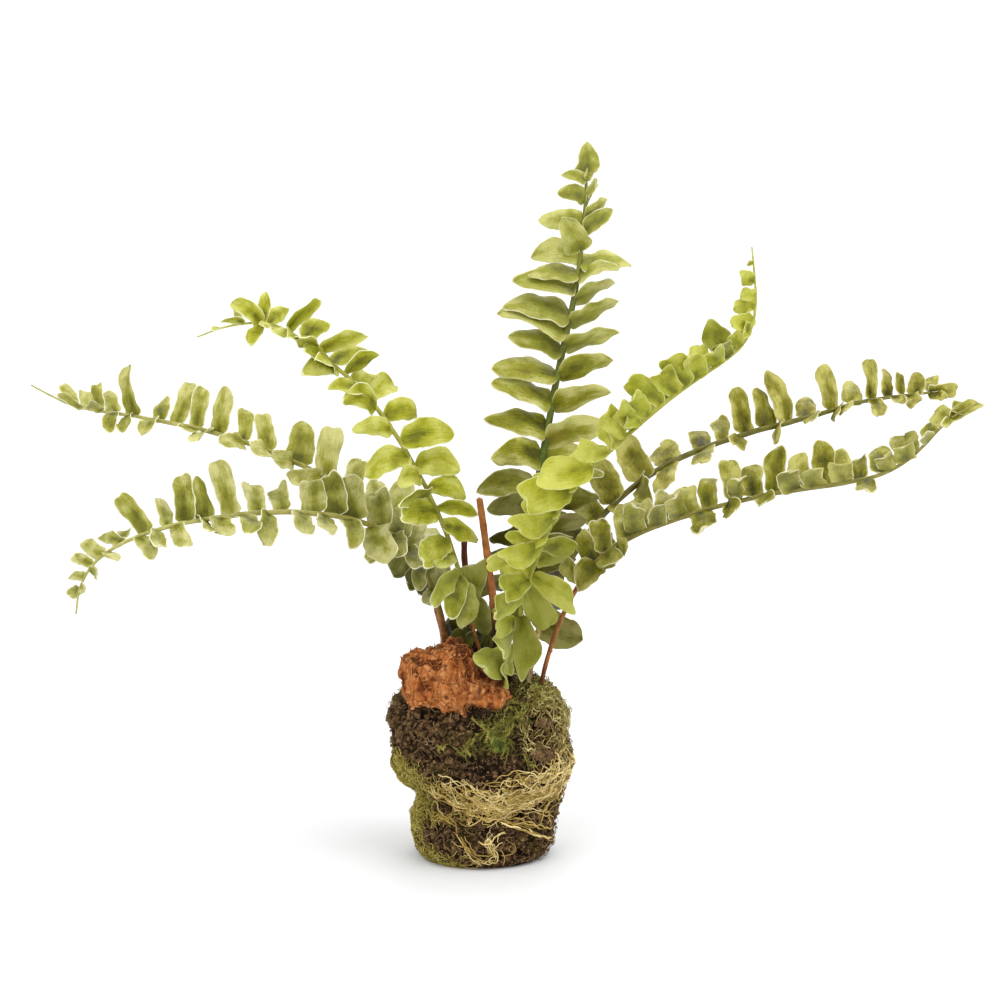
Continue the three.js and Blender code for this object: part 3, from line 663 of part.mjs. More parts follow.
// The fibre chunk: its outline drawn in towards the front and back.
function chunk(grow) {
  const layers = [-1, -0.82, -0.4, 0.1, 0.55, 0.86, 1];
  const pos = [];
  const tri = [];
  const n = CHUNK_OUTLINE.length;
  layers.forEach((k, j) => {
    const s = Math.max(0.3, Math.pow(1 - Math.pow(Math.abs(k), 2.6), 0.45));
    CHUNK_OUTLINE.forEach(([x, z], i) => {
      const dx = x - CHUNK_CENTRE[0];
      const dz = z - CHUNK_CENTRE[1];
      const d = Math.hypot(dx, dz);
      const f = (d * s + grow) / d;
      const wob = 0.6 * Math.sin(1.9 * i + 2.1 * j);
      const height = CHUNK_CENTRE[1] + dz * f;
      const forward = CHUNK_LEAN * Math.min(1, Math.max(0, (74 - height) / 8));
      pos.push(CHUNK_CENTRE[0] + dx * f, CHUNK_Y - forward + k * (CHUNK_HALF_DEPTH + grow) + (j && j < 6 ? wob : 0), height);
    });
  });
  for (let j = 0; j < layers.length - 1; j++)
    for (let i = 0; i < n; i++) {
      const a = j * n + i;
      const b = j * n + ((i + 1) % n);
      tri.push(a, b, b + n, a, b + n, a + n);
    }
  const c0 = pos.length / 3;
  pos.push(CHUNK_CENTRE[0], CHUNK_Y - CHUNK_HALF_DEPTH - grow - 0.8, CHUNK_CENTRE[1]);
  pos.push(CHUNK_CENTRE[0], CHUNK_Y + CHUNK_HALF_DEPTH + grow + 0.8, CHUNK_CENTRE[1]);
  const last = (layers.length - 1) * n;
  for (let i = 0; i < n; i++) {
    tri.push(c0, (i + 1) % n, i);
    tri.push(c0 + 1, last + i, last + ((i + 1) % n));
  }
  return outward(pos, tri);
}

// ---- the plant ----
const plant = new THREE.Group();
plant.name = "fern_with_root_ball";
function add(name, s, color, roughness) {
  const mesh = new THREE.Mesh(geometryOf(s), new THREE.MeshStandardMaterial({ color, roughness, metalness: 0, side: THREE.DoubleSide }));
  mesh.name = name;
  plant.add(mesh);
}

const sockets = [];
const chunkSolid = chunk(0);
const chunkRoom = chunk(GAP + 0.1);
const fronds = FRONDS.map((f, k) => {
  const foot = STALK_RADII[k];
  const top = MIDRIB_FOOT_RADII[k];
  const blade = filled(Manifold.union([tube(f.blade, MIDRIB_TIP_RADIUS, top, 5), ...f.leaflets.map(leaflet)]));
  const stalk = tube(f.stalk, top, foot, 6);
  sockets.push(tube([...f.stalk, lower(f.stalk)], top + GAP * 1.3, foot + GAP * 1.3, 6));
  return { blade, stalk, number: k + 1 };
});
// The socket runs on a little past the foot of the stalk.
function lower(path) {
  const a = V(path[path.length - 2]);
  const b = V(path[path.length - 1]);
  const d = b.clone().sub(a).normalize().multiplyScalar(GAP * 1.5);
  return b.add(d).toArray();
}
const stubs = STUBS.map((s) => {
  sockets.push(tube([...s.path, lower(s.path)], s.radii[0] + GAP * 1.3, s.radii[1] + GAP * 1.3, 6));
  return { name: s.name, body: tube(s.path, s.radii[0], s.radii[1], 6) };
});

add("root_ball", filled(ball().subtract(chunkRoom).subtract(Manifold.union(sockets))), 0x4a3a28, 0.95);
add("fibre_chunk", chunkSolid.subtract(Manifold.union(sockets)), 0xb4693a, 0.95);
for (const p of PATCHES) add(p.name, patch(p).subtract(chunkRoom), p.color, 0.95);
for (const s of STRANDS)
  add(
    s.name,
    tube(
      s.path.map(([a, z]) => ballPoint((a * Math.PI) / 180, z, GAP + 0.35 + STRAND_RADIUS)),
      STRAND_RADIUS,
      STRAND_RADIUS,
      5,
    ),
    0xc2a765,
    0.85,
  );
for (const s of stubs) add(s.name, s.body, 0x8a5a34, 0.8);
const LEAF_COLOURS = [0x8c9a3f, 0x8d9a40, 0xa3ad47, 0x7f8c3c, 0xaab44a, 0x77823a, 0x8a9545];
for (const f of fronds) {
  add("frond_" + f.number + "_stalk", f.stalk, 0x7d5a34, 0.7);
  add("frond_" + f.number + "_blade", f.blade, LEAF_COLOURS[f.number - 1], 0.55);
}

export default plant;
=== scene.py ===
import math
import bpy
import numpy as np
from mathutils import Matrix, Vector


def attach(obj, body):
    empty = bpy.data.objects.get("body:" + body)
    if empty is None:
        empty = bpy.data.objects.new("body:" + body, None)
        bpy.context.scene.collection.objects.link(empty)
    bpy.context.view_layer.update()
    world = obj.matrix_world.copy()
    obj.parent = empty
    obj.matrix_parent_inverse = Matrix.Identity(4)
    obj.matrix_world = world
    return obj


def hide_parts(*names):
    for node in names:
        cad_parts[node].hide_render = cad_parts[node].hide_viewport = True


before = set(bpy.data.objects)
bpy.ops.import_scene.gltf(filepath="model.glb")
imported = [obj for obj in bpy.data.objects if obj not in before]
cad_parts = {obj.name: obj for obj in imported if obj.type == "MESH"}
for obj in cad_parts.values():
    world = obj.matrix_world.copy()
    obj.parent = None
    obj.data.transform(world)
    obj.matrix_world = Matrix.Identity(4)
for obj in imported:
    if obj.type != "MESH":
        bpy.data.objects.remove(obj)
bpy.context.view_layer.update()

MM = 0.001
rng = np.random.RandomState(20)
scene = bpy.context.scene

# ---------------------------------------------------------------- tables (mm)
BALL_PROFILE = np.array([
    [0, -24.8, 25.6], [3.2, -28.2, 28.8], [10, -30.2, 30.6], [17.5, -29.9, 31.2], [24.5, -27.1, 32], [28, -28.3, 32.8],
    [35, -35.3, 35.3], [40, -37.7, 36.5], [45, -36.5, 37.3], [52, -37.3, 36.9], [56, -39.8, 36.7], [61, -39.4, 36.9],
    [66, -36.5, 35.3], [70, -33.5, 33.2], [73, -29.5, 30], [76, -23, 25.5], [77.8, -12, 14]], float)
CHUNK_OUTLINE = np.array([[-32.5, 87.2], [-30.1, 90.1], [-25.2, 90.5], [-21.1, 91.3], [-17, 93.4], [-12.1, 95.5], [-8.1, 96.8], [-4.8, 93.4], [-3.2, 89.3], [-2.4, 85.1], [-0.3, 81.3], [3.3, 80.5], [7.4, 78.8], [11.5, 76.7], [12.3, 72.6], [9.4, 70.5], [3.3, 68.4], [-1.6, 67.1], [-3.6, 64.2], [-6.5, 62.5], [-8.5, 64.6], [-13, 65.4], [-15.9, 65], [-18.7, 67.1], [-23.2, 68], [-28.5, 68], [-32.2, 70.5], [-33.4, 74.7], [-32.6, 79.7], [-33, 83.8]], float)
CHUNK_CENTRE = (-13.0, 80.0)
CHUNK_Y, CHUNK_HALF = -22.5, 13.0
STUBS = [
    {"name": "stub_tall", "radii": [1.35, 1.85], "path": [[-1.1,-12,152], [0.1,-11.2,143.9], [1.3,-10.5,134.9], [2.5,-9.8,125.2], [3.7,-9,115.7], [4.6,-8.3,107.4], [5.6,-7,96.1], [6.4,-5.7,84.5], [7,-5,75.8]]},
    {"name": "stub_pointed", "radii": [1.25, 1.45], "path": [[-7.8,-2,135.7], [-7.5,-0.6,130.7], [-7.1,1.9,123.5], [-6.4,5.1,113.9], [-5.5,8,101.8], [-3.9,8.1,84.4], [-3.4,8,78.4]]},
    {"name": "stub_pale", "radii": [1.1, 1.35], "path": [[23.1,-2,95.8], [21.8,-1.9,89.8], [20.6,-2.4,83.8], [19.4,-3.2,77.4], [18.1,-4,70.5]]},
    {"name": "stub_thin", "radii": [0.55, 0.75], "path": [[-3.6,-14,100.5], [-2.5,-13.3,95.3], [-1,-12,89.8], [0.4,-10.7,84.1], [1.6,-10,78.2]]},
]
FRONDS = [
    {"blade": [[-195.7,89.9,184.2], [-186.5,87.6,179.7], [-177.2,84.8,176], [-167.4,81.5,174.3], [-157.5,78.1,173.5], [-147.7,74.7,172.5], [-138,71.2,171.3], [-128.2,67.6,169.9], [-118.6,63.8,168.3], [-109.2,59.6,166.6], [-100,55.1,164.4], [-90.9,50.8,161.6], [-81.9,46.6,158.4], [-72.8,42.6,155.2], [-64,38.3,151.5], [-55.8,33.7,146.9], [-48.1,29.3,141.5], [-40.6,25.3,135.4], [-33.6,21.5,128.6], [-27.5,18,120.9], [-22.6,14.6,112.3], [-18.8,11.8,103]],
     "stalk": [[-18.7,11.7,102.7], [-16.8,10.4,95.5], [-15.3,9.6,88.2], [-14.3,9.2,80.8], [-13.4,9.1,73.3], [-12.6,9,65.8]],
     "leaflets": [
        [-176.2, 84.5, 175.8, -182.4, 94.3, 183.1, -0.89, -0.44, -0.16, 6, 0.69, 0, 0, 0],
        [-172.8, 83.4, 175, -182.9, 80.7, 181.6, 0.55, -0.58, 0.6, 5.4, 0.47, 0, 0, 0],
        [-170.5, 82.6, 174.7, -173.2, 94, 181.4, -0.98, -0.14, -0.16, 6.4, 0.33, 0, 0, 0],
        [-165.7, 81, 174.2, -167.8, 92.1, 184.3, -0.9, 0.19, -0.39, 6.7, 0.45, 0, 0, 0],
        [-164.5, 80.5, 174.1, -169, 67.1, 179.7, 0.88, -0.1, 0.47, 6.7, 0.39, 0, 0, 0],
        [-158, 78.3, 173.6, -164.5, 93.3, 179.8, -0.93, -0.37, -0.09, 7.7, 0.23, 0, 0, 0],
        [-159.3, 78.7, 173.7, -159.8, 63.2, 168.2, 0.98, -0.09, 0.18, 7.3, 0.31, 0, 0, 0],
        [-148.4, 74.9, 172.6, -153.6, 82.7, 193.5, -0.66, 0.64, -0.4, 10.1, 0.43, 0, 0, 0],
        [-152.5, 76.4, 173.1, -153.4, 59.4, 168.8, 0.88, -0.16, 0.44, 7.7, 0.32, 0, 0, 0],
        [-137.6, 71.1, 171.2, -138.5, 88.3, 179.2, -0.92, 0.13, -0.37, 8.4, 0.47, 0, 0, 0],
        [-141.7, 72.5, 171.8, -144.8, 53.3, 169.4, 0.98, -0.17, 0.12, 8.6, 0.53, 0, 0, 0],
        [-130.8, 68.6, 170.2, -125.8, 78.1, 186.4, -0.94, 0.31, 0.11, 8.5, 0.43, 0, 0, 0],
        [-125.1, 66.4, 169.4, -127.3, 47.4, 171.1, 0.91, -0.14, -0.39, 8.5, 0.39, 0, 0, 0],
        [-122.2, 65.3, 168.9, -119.4, 72.7, 185.4, -0.98, 0.16, 0.09, 8, 0.44, 0, 0, 0],
        [-117.8, 63.5, 168.2, -119.3, 42.8, 167.6, 0.94, -0.08, 0.33, 9.1, 0.58, 0, 0, 0],
        [-111.9, 60.8, 167.1, -109.6, 68.1, 186.9, -0.88, 0.47, -0.07, 9.3, 0.36, 0, 0, 0],
        [-101.8, 56, 164.9, -101.4, 70.7, 176.6, -1, -0.03, 0.08, 8.3, 0.43, 0, 0, 0],
        [-101.8, 56, 164.9, -110.6, 37.9, 167.1, 0.56, -0.36, -0.75, 8.9, 0.38, 0, 0, 0],
        [-90.3, 50.5, 161.4, -93.6, 63.6, 175.5, -0.98, -0.09, -0.15, 8.7, 0.43, 0, 0, 0],
        [-91.5, 51, 161.8, -96.2, 30.3, 165.8, 0.6, -0.28, -0.75, 9.5, 0.56, 0, 0, 0],
        [-78.1, 44.9, 157.1, -76.8, 58.9, 173.7, -0.99, -0.04, 0.11, 12, 0.29, 0, 0, 0],
        [-80.2, 45.9, 157.8, -88.2, 28.2, 162.3, 0.14, -0.3, -0.94, 8.8, 0.57, 0, 0, 0],
        [-65.2, 38.9, 152.1, -63, 46.5, 172.6, -0.99, -0.03, 0.11, 12, 0.52, 0, 0, 0],
        [-67.3, 40, 153, -80.7, 27.4, 153.1, 0.14, -0.16, -0.98, 8.3, 0.46, 0, 0, 0],
        [-55.4, 33.5, 146.6, -51.5, 51.3, 157.2, -0.95, 0.02, 0.32, 10.1, 0.46, 0, 0, 0],
        [-56.5, 34.1, 147.4, -68.2, 18.3, 145, 0.58, -0.32, -0.75, 8.7, 0.55, 0, 0, 0],
        [-47.1, 28.8, 140.8, -43.4, 47.3, 149.8, -0.94, 0.02, 0.35, 9.2, 0.23, 0, 0, 0],
        [-48.4, 29.5, 141.7, -56.7, 10.8, 138.4, 0.89, -0.35, -0.3, 9.1, 0.35, 0, 0, 0],
        [-39.4, 24.7, 134.3, -32.4, 31.3, 151.6, -0.93, 0.04, 0.36, 11, 0.68, 0, 0, 0],
        [-36.8, 23.3, 131.9, -25.5, 38.5, 141.4, -0.84, 0.41, 0.34, 9.3, 0.67, 0, 0, 0],
        [-38.1, 24, 133.1, -47.3, 10.2, 121.2, 0.87, -0.49, -0.11, 9, 0.62, 0, 0, 0],
        [-31.9, 20.6, 126.7, -36.7, 1.7, 117, 0.8, 0.1, -0.59, 9.6, 0.27, 0, 0.55, 0],
        [-29.7, 19.3, 123.9, -19.5, 35.2, 131.3, -0.84, 0.34, 0.42, 8.9, 0.57, 0, 0, 0],
        [-27.6, 18, 121, -31.4, 1.1, 114.1, 0.45, 0.25, -0.86, 8.2, 0.44, 0, 0.55, 0],
        [-23.9, 15.5, 114.9, -14.9, 33.1, 119.7, -0.12, -0.21, 0.97, 8.9, 0.36, 0, 0, 0],
        [-23.1, 15, 113.3, -25.1, -4.7, 111.9, 0.63, -0.01, -0.77, 8.7, 0.35, 0, 0.7, 0],
        [-20.8, 13.3, 108.3, -11.5, 31.4, 109.8, -0.19, 0.18, -0.97, 9, 0.42, 0, 0.4, 0],
        [-25.7, 16.8, 117.9, -33.7, 16.4, 138.6, 0.72, -0.64, 0.27, 9.8, 0.6, 0, 0, 0],
     ]},
    {"blade": [[-158.7,-75,117.4], [-157.1,-74.6,127.3], [-152.4,-73.2,136.1], [-144.8,-71,142.4], [-136,-68.1,146.3], [-126.8,-65,149.2], [-117.5,-61.7,151.1], [-108.1,-58.1,152.2], [-98.7,-54.5,152.9], [-89.2,-50.8,153.1], [-79.8,-47.2,152.9], [-70.5,-43.5,152], [-61.4,-39.3,150.3], [-53,-34.3,147.8], [-45.1,-28.9,144.5], [-37.8,-23.4,140.2], [-31.4,-18.2,134.4], [-26.1,-13.7,127.1], [-21.9,-9.9,118.7], [-18.7,-7,109.5], [-16.5,-5,99.9], [-15.1,-4.1,89.9]],
     "stalk": [[-15.1,-4.1,89.6], [-14.5,-3.9,84.9], [-14.1,-3.9,80.3], [-13.6,-3.9,75.6], [-13.3,-4,70.9], [-12.9,-4,66.3]],
     "leaflets": [
        [-156.9, -74.5, 127.7, -162, -69.5, 123.4, -0.59, 0.09, 0.8, 5.5, 0.45, 0, 0, 0],
        [-156.3, -74.3, 129.4, -153.7, -83.1, 127.8, 0.31, -0.07, 0.95, 4.1, 0.63, 0, 0, 0],
        [-154.8, -73.9, 132.5, -161.4, -65.7, 131.1, -0.39, -0.45, -0.8, 4.7, 0.64, 0, 0, 0],
        [-151.8, -73, 136.8, -160.3, -63.8, 138.4, -0.47, -0.3, -0.83, 5.6, 0.72, 0, 0, 0],
        [-153.5, -73.5, 134.8, -149.2, -83.6, 133.8, 0.03, 0.1, -0.99, 4.8, 0.64, 0, 0, 0],
        [-147.9, -71.9, 140.4, -156.6, -64.3, 144.9, -0.58, -0.21, -0.78, 6.4, 0.59, 0, 0, 0],
        [-146.3, -71.4, 141.5, -141.2, -84.7, 141.2, 0.93, 0.36, -0.05, 6.2, 0.24, 0, 0, 0],
        [-140.2, -69.5, 144.6, -149.8, -58.1, 146.1, -0.63, -0.45, -0.63, 6.6, 0.4, 0, 0, 0],
        [-142.1, -70.1, 143.8, -140.4, -56.5, 147, -0.96, 0.17, -0.23, 6.2, 0.53, 0, 0, 0],
        [-130.8, -66.4, 148.1, -142.9, -60.7, 161.4, -0.77, -0.29, -0.57, 8.3, 0.6, 0, 0, 0],
        [-134.1, -67.5, 147, -127.5, -81.8, 141, 0.92, 0.35, 0.18, 7.4, 0.2, 0, 0, 0],
        [-123.9, -64, 149.9, -127.2, -48.3, 158.4, -0.88, -0.35, 0.31, 8, 0.43, 0, 0, 0],
        [-127.4, -65.2, 149, -124.4, -81.2, 145.7, 0.9, 0.25, -0.36, 7.3, 0.5, 0, 0, 0],
        [-116.6, -61.4, 151.2, -118.5, -54.8, 169.2, -0.99, -0.1, -0.07, 9.2, 0.53, 0, 0, 0],
        [-120.3, -62.8, 150.6, -115.3, -78.7, 144.8, 0.92, 0.15, 0.37, 7.8, 0.56, 0, 0, 0],
        [-109, -58.5, 152.1, -112.5, -51.3, 168.6, -0.82, -0.57, 0.07, 8.1, 0.27, 0, 0, 0],
        [-109, -58.5, 152.1, -106.7, -77.4, 150.5, 0.79, 0.15, -0.6, 8.4, 0.29, 0, 0, 0],
        [-98.7, -54.5, 152.9, -105.6, -46.9, 173.1, -0.87, -0.48, -0.12, 10, 0.63, 0, 0, 0],
        [-103.9, -56.5, 152.6, -98.7, -75.7, 147.4, 0.97, 0.26, 0, 9, 0.74, 0, 0, 0],
        [-88.4, -50.5, 153.1, -93.2, -33.2, 161.9, -0.97, -0.17, -0.19, 8.8, 0.35, 0, 0, 0],
        [-94.9, -53, 153, -91, -73.7, 150.6, 0.97, 0.19, -0.11, 9.3, 0.66, 0, 0, 0],
        [-78.1, -46.5, 152.8, -82.7, -29, 160.3, -0.94, -0.11, -0.31, 10.1, 0.29, 0, 0, 0],
        [-84.6, -49, 153.1, -84.8, -67.6, 144.3, 0.86, 0.21, -0.47, 9, 0.5, 0, 0, 0],
        [-66.4, -41.7, 151.4, -69.6, -24.4, 162.4, -0.98, -0.08, -0.16, 12, 0.29, 0, 0, 0],
        [-71.6, -43.9, 152.1, -68.2, -63.1, 147.4, 0.93, 0.24, -0.28, 8.8, 0.58, 0, 0, 0],
        [-57.3, -37, 149.2, -62, -23, 162.6, -0.96, -0.09, -0.25, 10.1, 0.43, 0, 0, 0],
        [-62.5, -39.9, 150.6, -59.7, -59.2, 147.9, 0.92, 0.18, -0.34, 8.7, 0.52, 0, 0, 0],
        [-50.8, -32.9, 147, -53.9, -22.8, 163.4, -0.99, -0.07, -0.15, 12.4, 0.72, 0, 0, 0],
        [-53.4, -34.6, 148, -49.7, -52.4, 139.4, 0.98, 0.15, 0.11, 8.8, 0.62, 0, 0, 0],
        [-41, -25.8, 142.2, -44.4, -8.5, 153.9, -0.98, -0.07, -0.19, 13.3, 0.68, 0, 0, 0],
        [-43.3, -27.6, 143.6, -37.3, -45.3, 133.6, 0.92, 0.1, 0.38, 12.9, 0.21, 0, 0, 0],
        [-33.4, -19.9, 136.5, -32.8, -2.5, 147.4, -1, -0.01, 0.08, 11, 0.35, 0, 0, 0],
        [-36.5, -22.4, 139.2, -31, -40.5, 133.9, 0.86, 0.12, 0.49, 9.2, 0.7, 0, 0, 0],
        [-29.6, -16.7, 132.3, -26.3, 0.8, 141, -0.95, 0.03, 0.3, 9.2, 0.22, 0, 0, 0],
        [-30.6, -17.5, 133.4, -24.7, -35.5, 128.8, 0.92, 0.21, 0.33, 8.6, 0.4, 0, 0, 0],
        [-24.5, -12.3, 124.3, -20.3, 6.3, 131.6, -0.72, -0.11, 0.69, 9, 0.43, 0, 0, 0],
        [-25.3, -13, 125.8, -26.5, -31.7, 118.2, 0.69, 0.24, -0.69, 8.9, 0.49, 0, 0, 0],
        [-20.3, -8.5, 114.6, -15, 8.7, 120.2, -0.54, -0.1, 0.83, 8.3, 0.37, 0, 0, 0],
        [-19.7, -7.9, 112.8, -21, -25.3, 110.7, 0.96, -0.04, -0.27, 7.8, 0.31, 0, 0, 0],
        [-16.1, -4.7, 97.2, -8.5, 18.1, 94.5, -0.48, 0.06, -0.88, 10.6, 0.5, 0, 1, 0],
        [-15.4, -4.3, 92.5, -8.1, 19.9, 86.5, -0.66, 0.36, 0.65, 11.4, 0.5, 0, 1, 0],
     ]},
    {"blade": [[-110.8,-62.1,225], [-101.5,-60.9,228.3], [-91.9,-59.6,230.1], [-82.4,-57.5,229.5], [-73.8,-55.1,225.3], [-66.4,-52.7,219.2], [-59.1,-50.1,213.1], [-52.2,-47.4,206.6], [-45.7,-44.7,199.6], [-40,-41.9,192], [-35,-38.7,184.1], [-30.5,-35.5,176], [-26.1,-32.5,167.6], [-22.1,-29.3,159.2], [-18.7,-25.3,150.8], [-15.6,-21.1,142.4], [-12.7,-17.3,133.8], [-10.1,-13.9,124.9], [-7.9,-10.7,115.8], [-5.9,-7.7,106.6], [-4.1,-5.1,97.2], [-2.3,-2.8,87.8]],
     "stalk": [[-2.2,-2.7,87.4], [-1.4,-1.7,82.9], [-0.5,-0.8,78.4], [0.3,0.2,73.9], [1.2,1.1,69.4], [2,2,64.9]],
     "leaflets": [
        [-101.3, -60.9, 228.3, -104, -68.3, 228.2, 0.92, -0.34, -0.21, 3.5, 0.46, 0, 0, 0],
        [-92.4, -59.7, 230.1, -101.4, -66.2, 231.8, 0.51, -0.53, 0.67, 4.9, 0.13, 0, 0, 0],
        [-93.5, -59.8, 230, -96.8, -49.6, 233.7, -0.79, -0.42, 0.46, 5, 0.25, 0, 0, 0],
        [-85.5, -58.3, 230.1, -97.2, -59.4, 238.4, -0.57, -0.14, -0.81, 7.2, 0.51, 0, 0, 0],
        [-85.5, -58.3, 230.1, -83.8, -53.9, 242.1, -0.91, -0.32, 0.24, 5.7, 0.21, 0, 0, 0],
        [-85.5, -58.3, 230.1, -89.9, -70.8, 223.8, 0.95, -0.3, -0.07, 6.5, 0.41, 0, 0, 0],
        [-82.7, -57.6, 229.6, -75.4, -44.4, 234.6, -0.77, 0.19, 0.6, 7, 0.03, 0, 0, 0],
        [-79.2, -56.7, 228.4, -84.9, -69.5, 229.5, 0.83, -0.4, -0.39, 6.2, 0.37, 0, 0, 0],
        [-76.1, -55.8, 226.8, -64, -50.6, 238.5, -0.37, -0.65, 0.67, 7.7, 0.39, 0, 0, 0],
        [-73.9, -55.1, 225.4, -80.7, -69, 227.5, 0.74, -0.44, -0.5, 6.9, 0.54, 0, 0, 0],
        [-69.7, -53.8, 222, -61.9, -38.6, 227.9, -0.68, 0.06, 0.73, 8.6, 0.53, 0, 0, 0],
        [-70.4, -54, 222.6, -75.1, -72, 225.5, 0.75, -0.29, -0.59, 8.3, 0.02, 0, 0, 0],
        [-64.5, -52, 217.6, -46.2, -47.2, 224.3, -0.13, -0.6, 0.79, 8.8, 0.54, 0, 0, 0],
        [-66.1, -52.6, 218.9, -70.6, -68.7, 226.3, 0.96, -0.18, 0.21, 8, 0.42, 0, 0, 0],
        [-58.6, -49.9, 212.7, -45.1, -35.7, 217.6, -0.73, 0.57, 0.37, 8.9, 0.1, 0, 0, 0],
        [-60.4, -50.6, 214.2, -68.6, -64.7, 220.6, 0.15, -0.48, -0.86, 7.7, 0.33, 0, 0, 0],
        [-54.3, -48.3, 208.7, -39.9, -37.4, 214.2, 0, -0.44, 0.9, 8.3, 0.05, 0, 0, 0],
        [-56, -48.9, 210.3, -68.7, -63.1, 211.4, 0.36, -0.39, -0.85, 8.4, 0.24, 0, 0, 0],
        [-57.8, -49.6, 211.9, -63.4, -67.9, 217.5, 0.52, -0.39, -0.76, 8.8, 0.06, 0, 0, 0],
        [-50.1, -46.6, 204.5, -40.6, -27.9, 204, -0.66, 0.35, 0.67, 9.2, 0.35, 0, 0, 0],
        [-46.8, -45.2, 200.9, -59.5, -60.9, 204.7, 0.51, -0.57, -0.64, 9, 0.13, 0, 0, 0],
        [-44.5, -44.2, 198.1, -33.9, -27.4, 200.7, -0.41, 0.12, 0.9, 9.5, 0.46, 0, 0, 0],
        [-41.5, -42.8, 194.2, -55, -57.6, 199.5, -0.21, -0.15, -0.97, 10.4, 0.32, 0, 0, 0],
        [-38.8, -41.2, 190.2, -24.7, -25.7, 189.5, -0.11, 0.15, 0.98, 9.9, 0.35, 0, 0, 0],
        [-35, -38.7, 184.1, -51.2, -48.4, 186.1, -0.14, 0.03, -0.99, 8.3, 0.14, 0, 0, 0],
        [-32.7, -37.1, 180.1, -11, -32.7, 182.1, -0.12, 0.15, 0.98, 12.2, 0.49, 0, 0, 0],
        [-29, -34.4, 173.2, -46.6, -46.9, 167, 0.41, -0.14, -0.9, 10.8, 0.46, 0, 0, 0],
        [-26.9, -33.1, 169.2, -8.3, -22.5, 165.4, 0.11, 0.17, 0.98, 12.2, 0.17, 0, 0, 0],
        [-24.5, -31.3, 164.2, -34.6, -49.2, 165, 0.16, -0.14, -0.98, 9, 0.41, 0, 0, 0],
        [-22.2, -29.4, 159.3, -6, -20.3, 153.9, 0.22, 0.17, 0.96, 9, 0.49, 0, 0, 0],
        [-20.9, -28, 156.3, -33.5, -48, 155.9, 0.46, -0.31, 0.83, 10.4, 0.03, 0, 0, 0],
        [-18.8, -25.5, 151.2, -1.5, -18.1, 145.7, 0.42, -0.35, 0.84, 8.6, 0.02, 0, 0, 0],
        [-17.6, -23.9, 148.1, -30.9, -41.5, 150.3, 0.07, -0.18, -0.98, 11.3, 0.41, 0, 0, 0],
        [-15.7, -21.2, 142.6, -1.6, -5.5, 133.8, -0.21, 0.61, 0.76, 10, 0.33, 0, 0, 0],
        [-13.3, -18, 135.6, -23.9, -36.9, 131.1, 0.59, -0.14, -0.8, 11.7, 0.7, 0, 0.15, 0],
        [-11.8, -16, 130.7, -17.9, -34.9, 127.9, 0.7, -0.13, -0.7, 9, 0.6, 0, 0.25, 0],
        [-9.1, -12.5, 121, -20.1, -28.1, 111.7, 0.23, 0.37, -0.9, 9.4, 0.55, 0, 0, 0.35],
        [-9.1, -12.5, 121, -12.4, -27.9, 105.9, 0.98, -0.03, -0.19, 9.9, 0.15, 0.2, 0.35, 0],
        [-7.1, -9.6, 112.4, 2.9, -1.1, 92.7, 0.74, 0.39, 0.54, 10.4, 0.15, 0, 0.65, 0],
        [-6.7, -8.9, 110.5, 2, 9.6, 109, -0.32, 0.08, -0.94, 9.1, 0.6, 0, 0.8, 0],
        [-8.3, -11.4, 117.9, -7.6, -24.9, 101.5, 1, 0.02, 0.03, 11.7, 0.15, 0.3, 0.45, 0],
        [-6.3, -8.3, 108.4, -3.2, -12.2, 123.9, -0.98, 0.03, 0.2, 13.5, 0.95, 0, 0.65, 0],
        [-4.4, -5.6, 99, -11.6, 0.6, 93.2, 0.53, -0.17, -0.83, 9, 0.5, 0, 1, 0],
        [-3.9, -4.9, 96.4, -10.3, -5.1, 87.2, 0.82, -0.11, -0.57, 9, 0.5, 0, 1, 0],
        [-3.4, -4.2, 93.6, 3.2, 10.7, 83.3, 0.51, 0.32, 0.8, 8.5, 0.5, 0, 1, 0],
        [-5.4, -7, 104, -0.1, 11.9, 93.3, 0.16, 0.45, 0.88, 9.8, 0.5, 0, 1, 0],
     ]},
    {"blade": [[43.6,45.5,286.4], [43.3,44.6,276.5], [42.9,43.3,266.7], [42.1,41.9,256.9], [41.1,40.2,247.1], [39.7,38.4,237.4], [38,36.8,227.8], [36,35.1,218.2], [34,33.5,208.6], [31.9,31.9,199], [30,30.2,189.4], [28.1,28.4,179.8], [26.3,26.5,170.2], [24.5,24.5,160.6], [22.6,22.3,151.1], [20.7,20.2,141.6], [18.7,18.3,132], [16.8,16.4,122.5], [14.8,14.5,112.9], [13,12.7,103.3], [11.3,11,93.6], [10,9.8,83.9]],
     "stalk": [[10,9.8,83.5], [9.5,9.4,79.1], [9.2,9.2,74.7], [9,9.1,70.3], [8.8,9,65.9], [8.7,9,61.5]],
     "leaflets": [
        [43.5, 45.2, 282.6, 47, 47.7, 289.2, -0.89, 0.06, 0.45, 4.8, 0.04, 0, 0, 0],
        [43.3, 44.6, 276.8, 32.8, 43.1, 279.1, -0.18, -0.2, -0.96, 4.8, 0.02, 0, 0, 0],
        [43.3, 44.6, 276.8, 47, 47.5, 284.2, -0.7, -0.48, 0.53, 3.8, 0.02, 0, 0, 0],
        [43, 43.7, 269.6, 31.1, 41.9, 271.8, -0.17, -0.09, -0.98, 6.8, 0.08, 0, 0, 0],
        [43.1, 43.9, 271.1, 48.4, 53.2, 275.8, -0.14, -0.38, 0.92, 5.1, 0.27, 0, 0, 0],
        [42.8, 43.3, 266.4, 45.6, 55.9, 270.1, 0.15, -0.31, 0.94, 5.9, 0, 0, 0, 0],
        [42.4, 42.3, 259.7, 23.6, 39.1, 260.8, -0.02, -0.18, -0.98, 8.4, 0.35, 0, 0, 0],
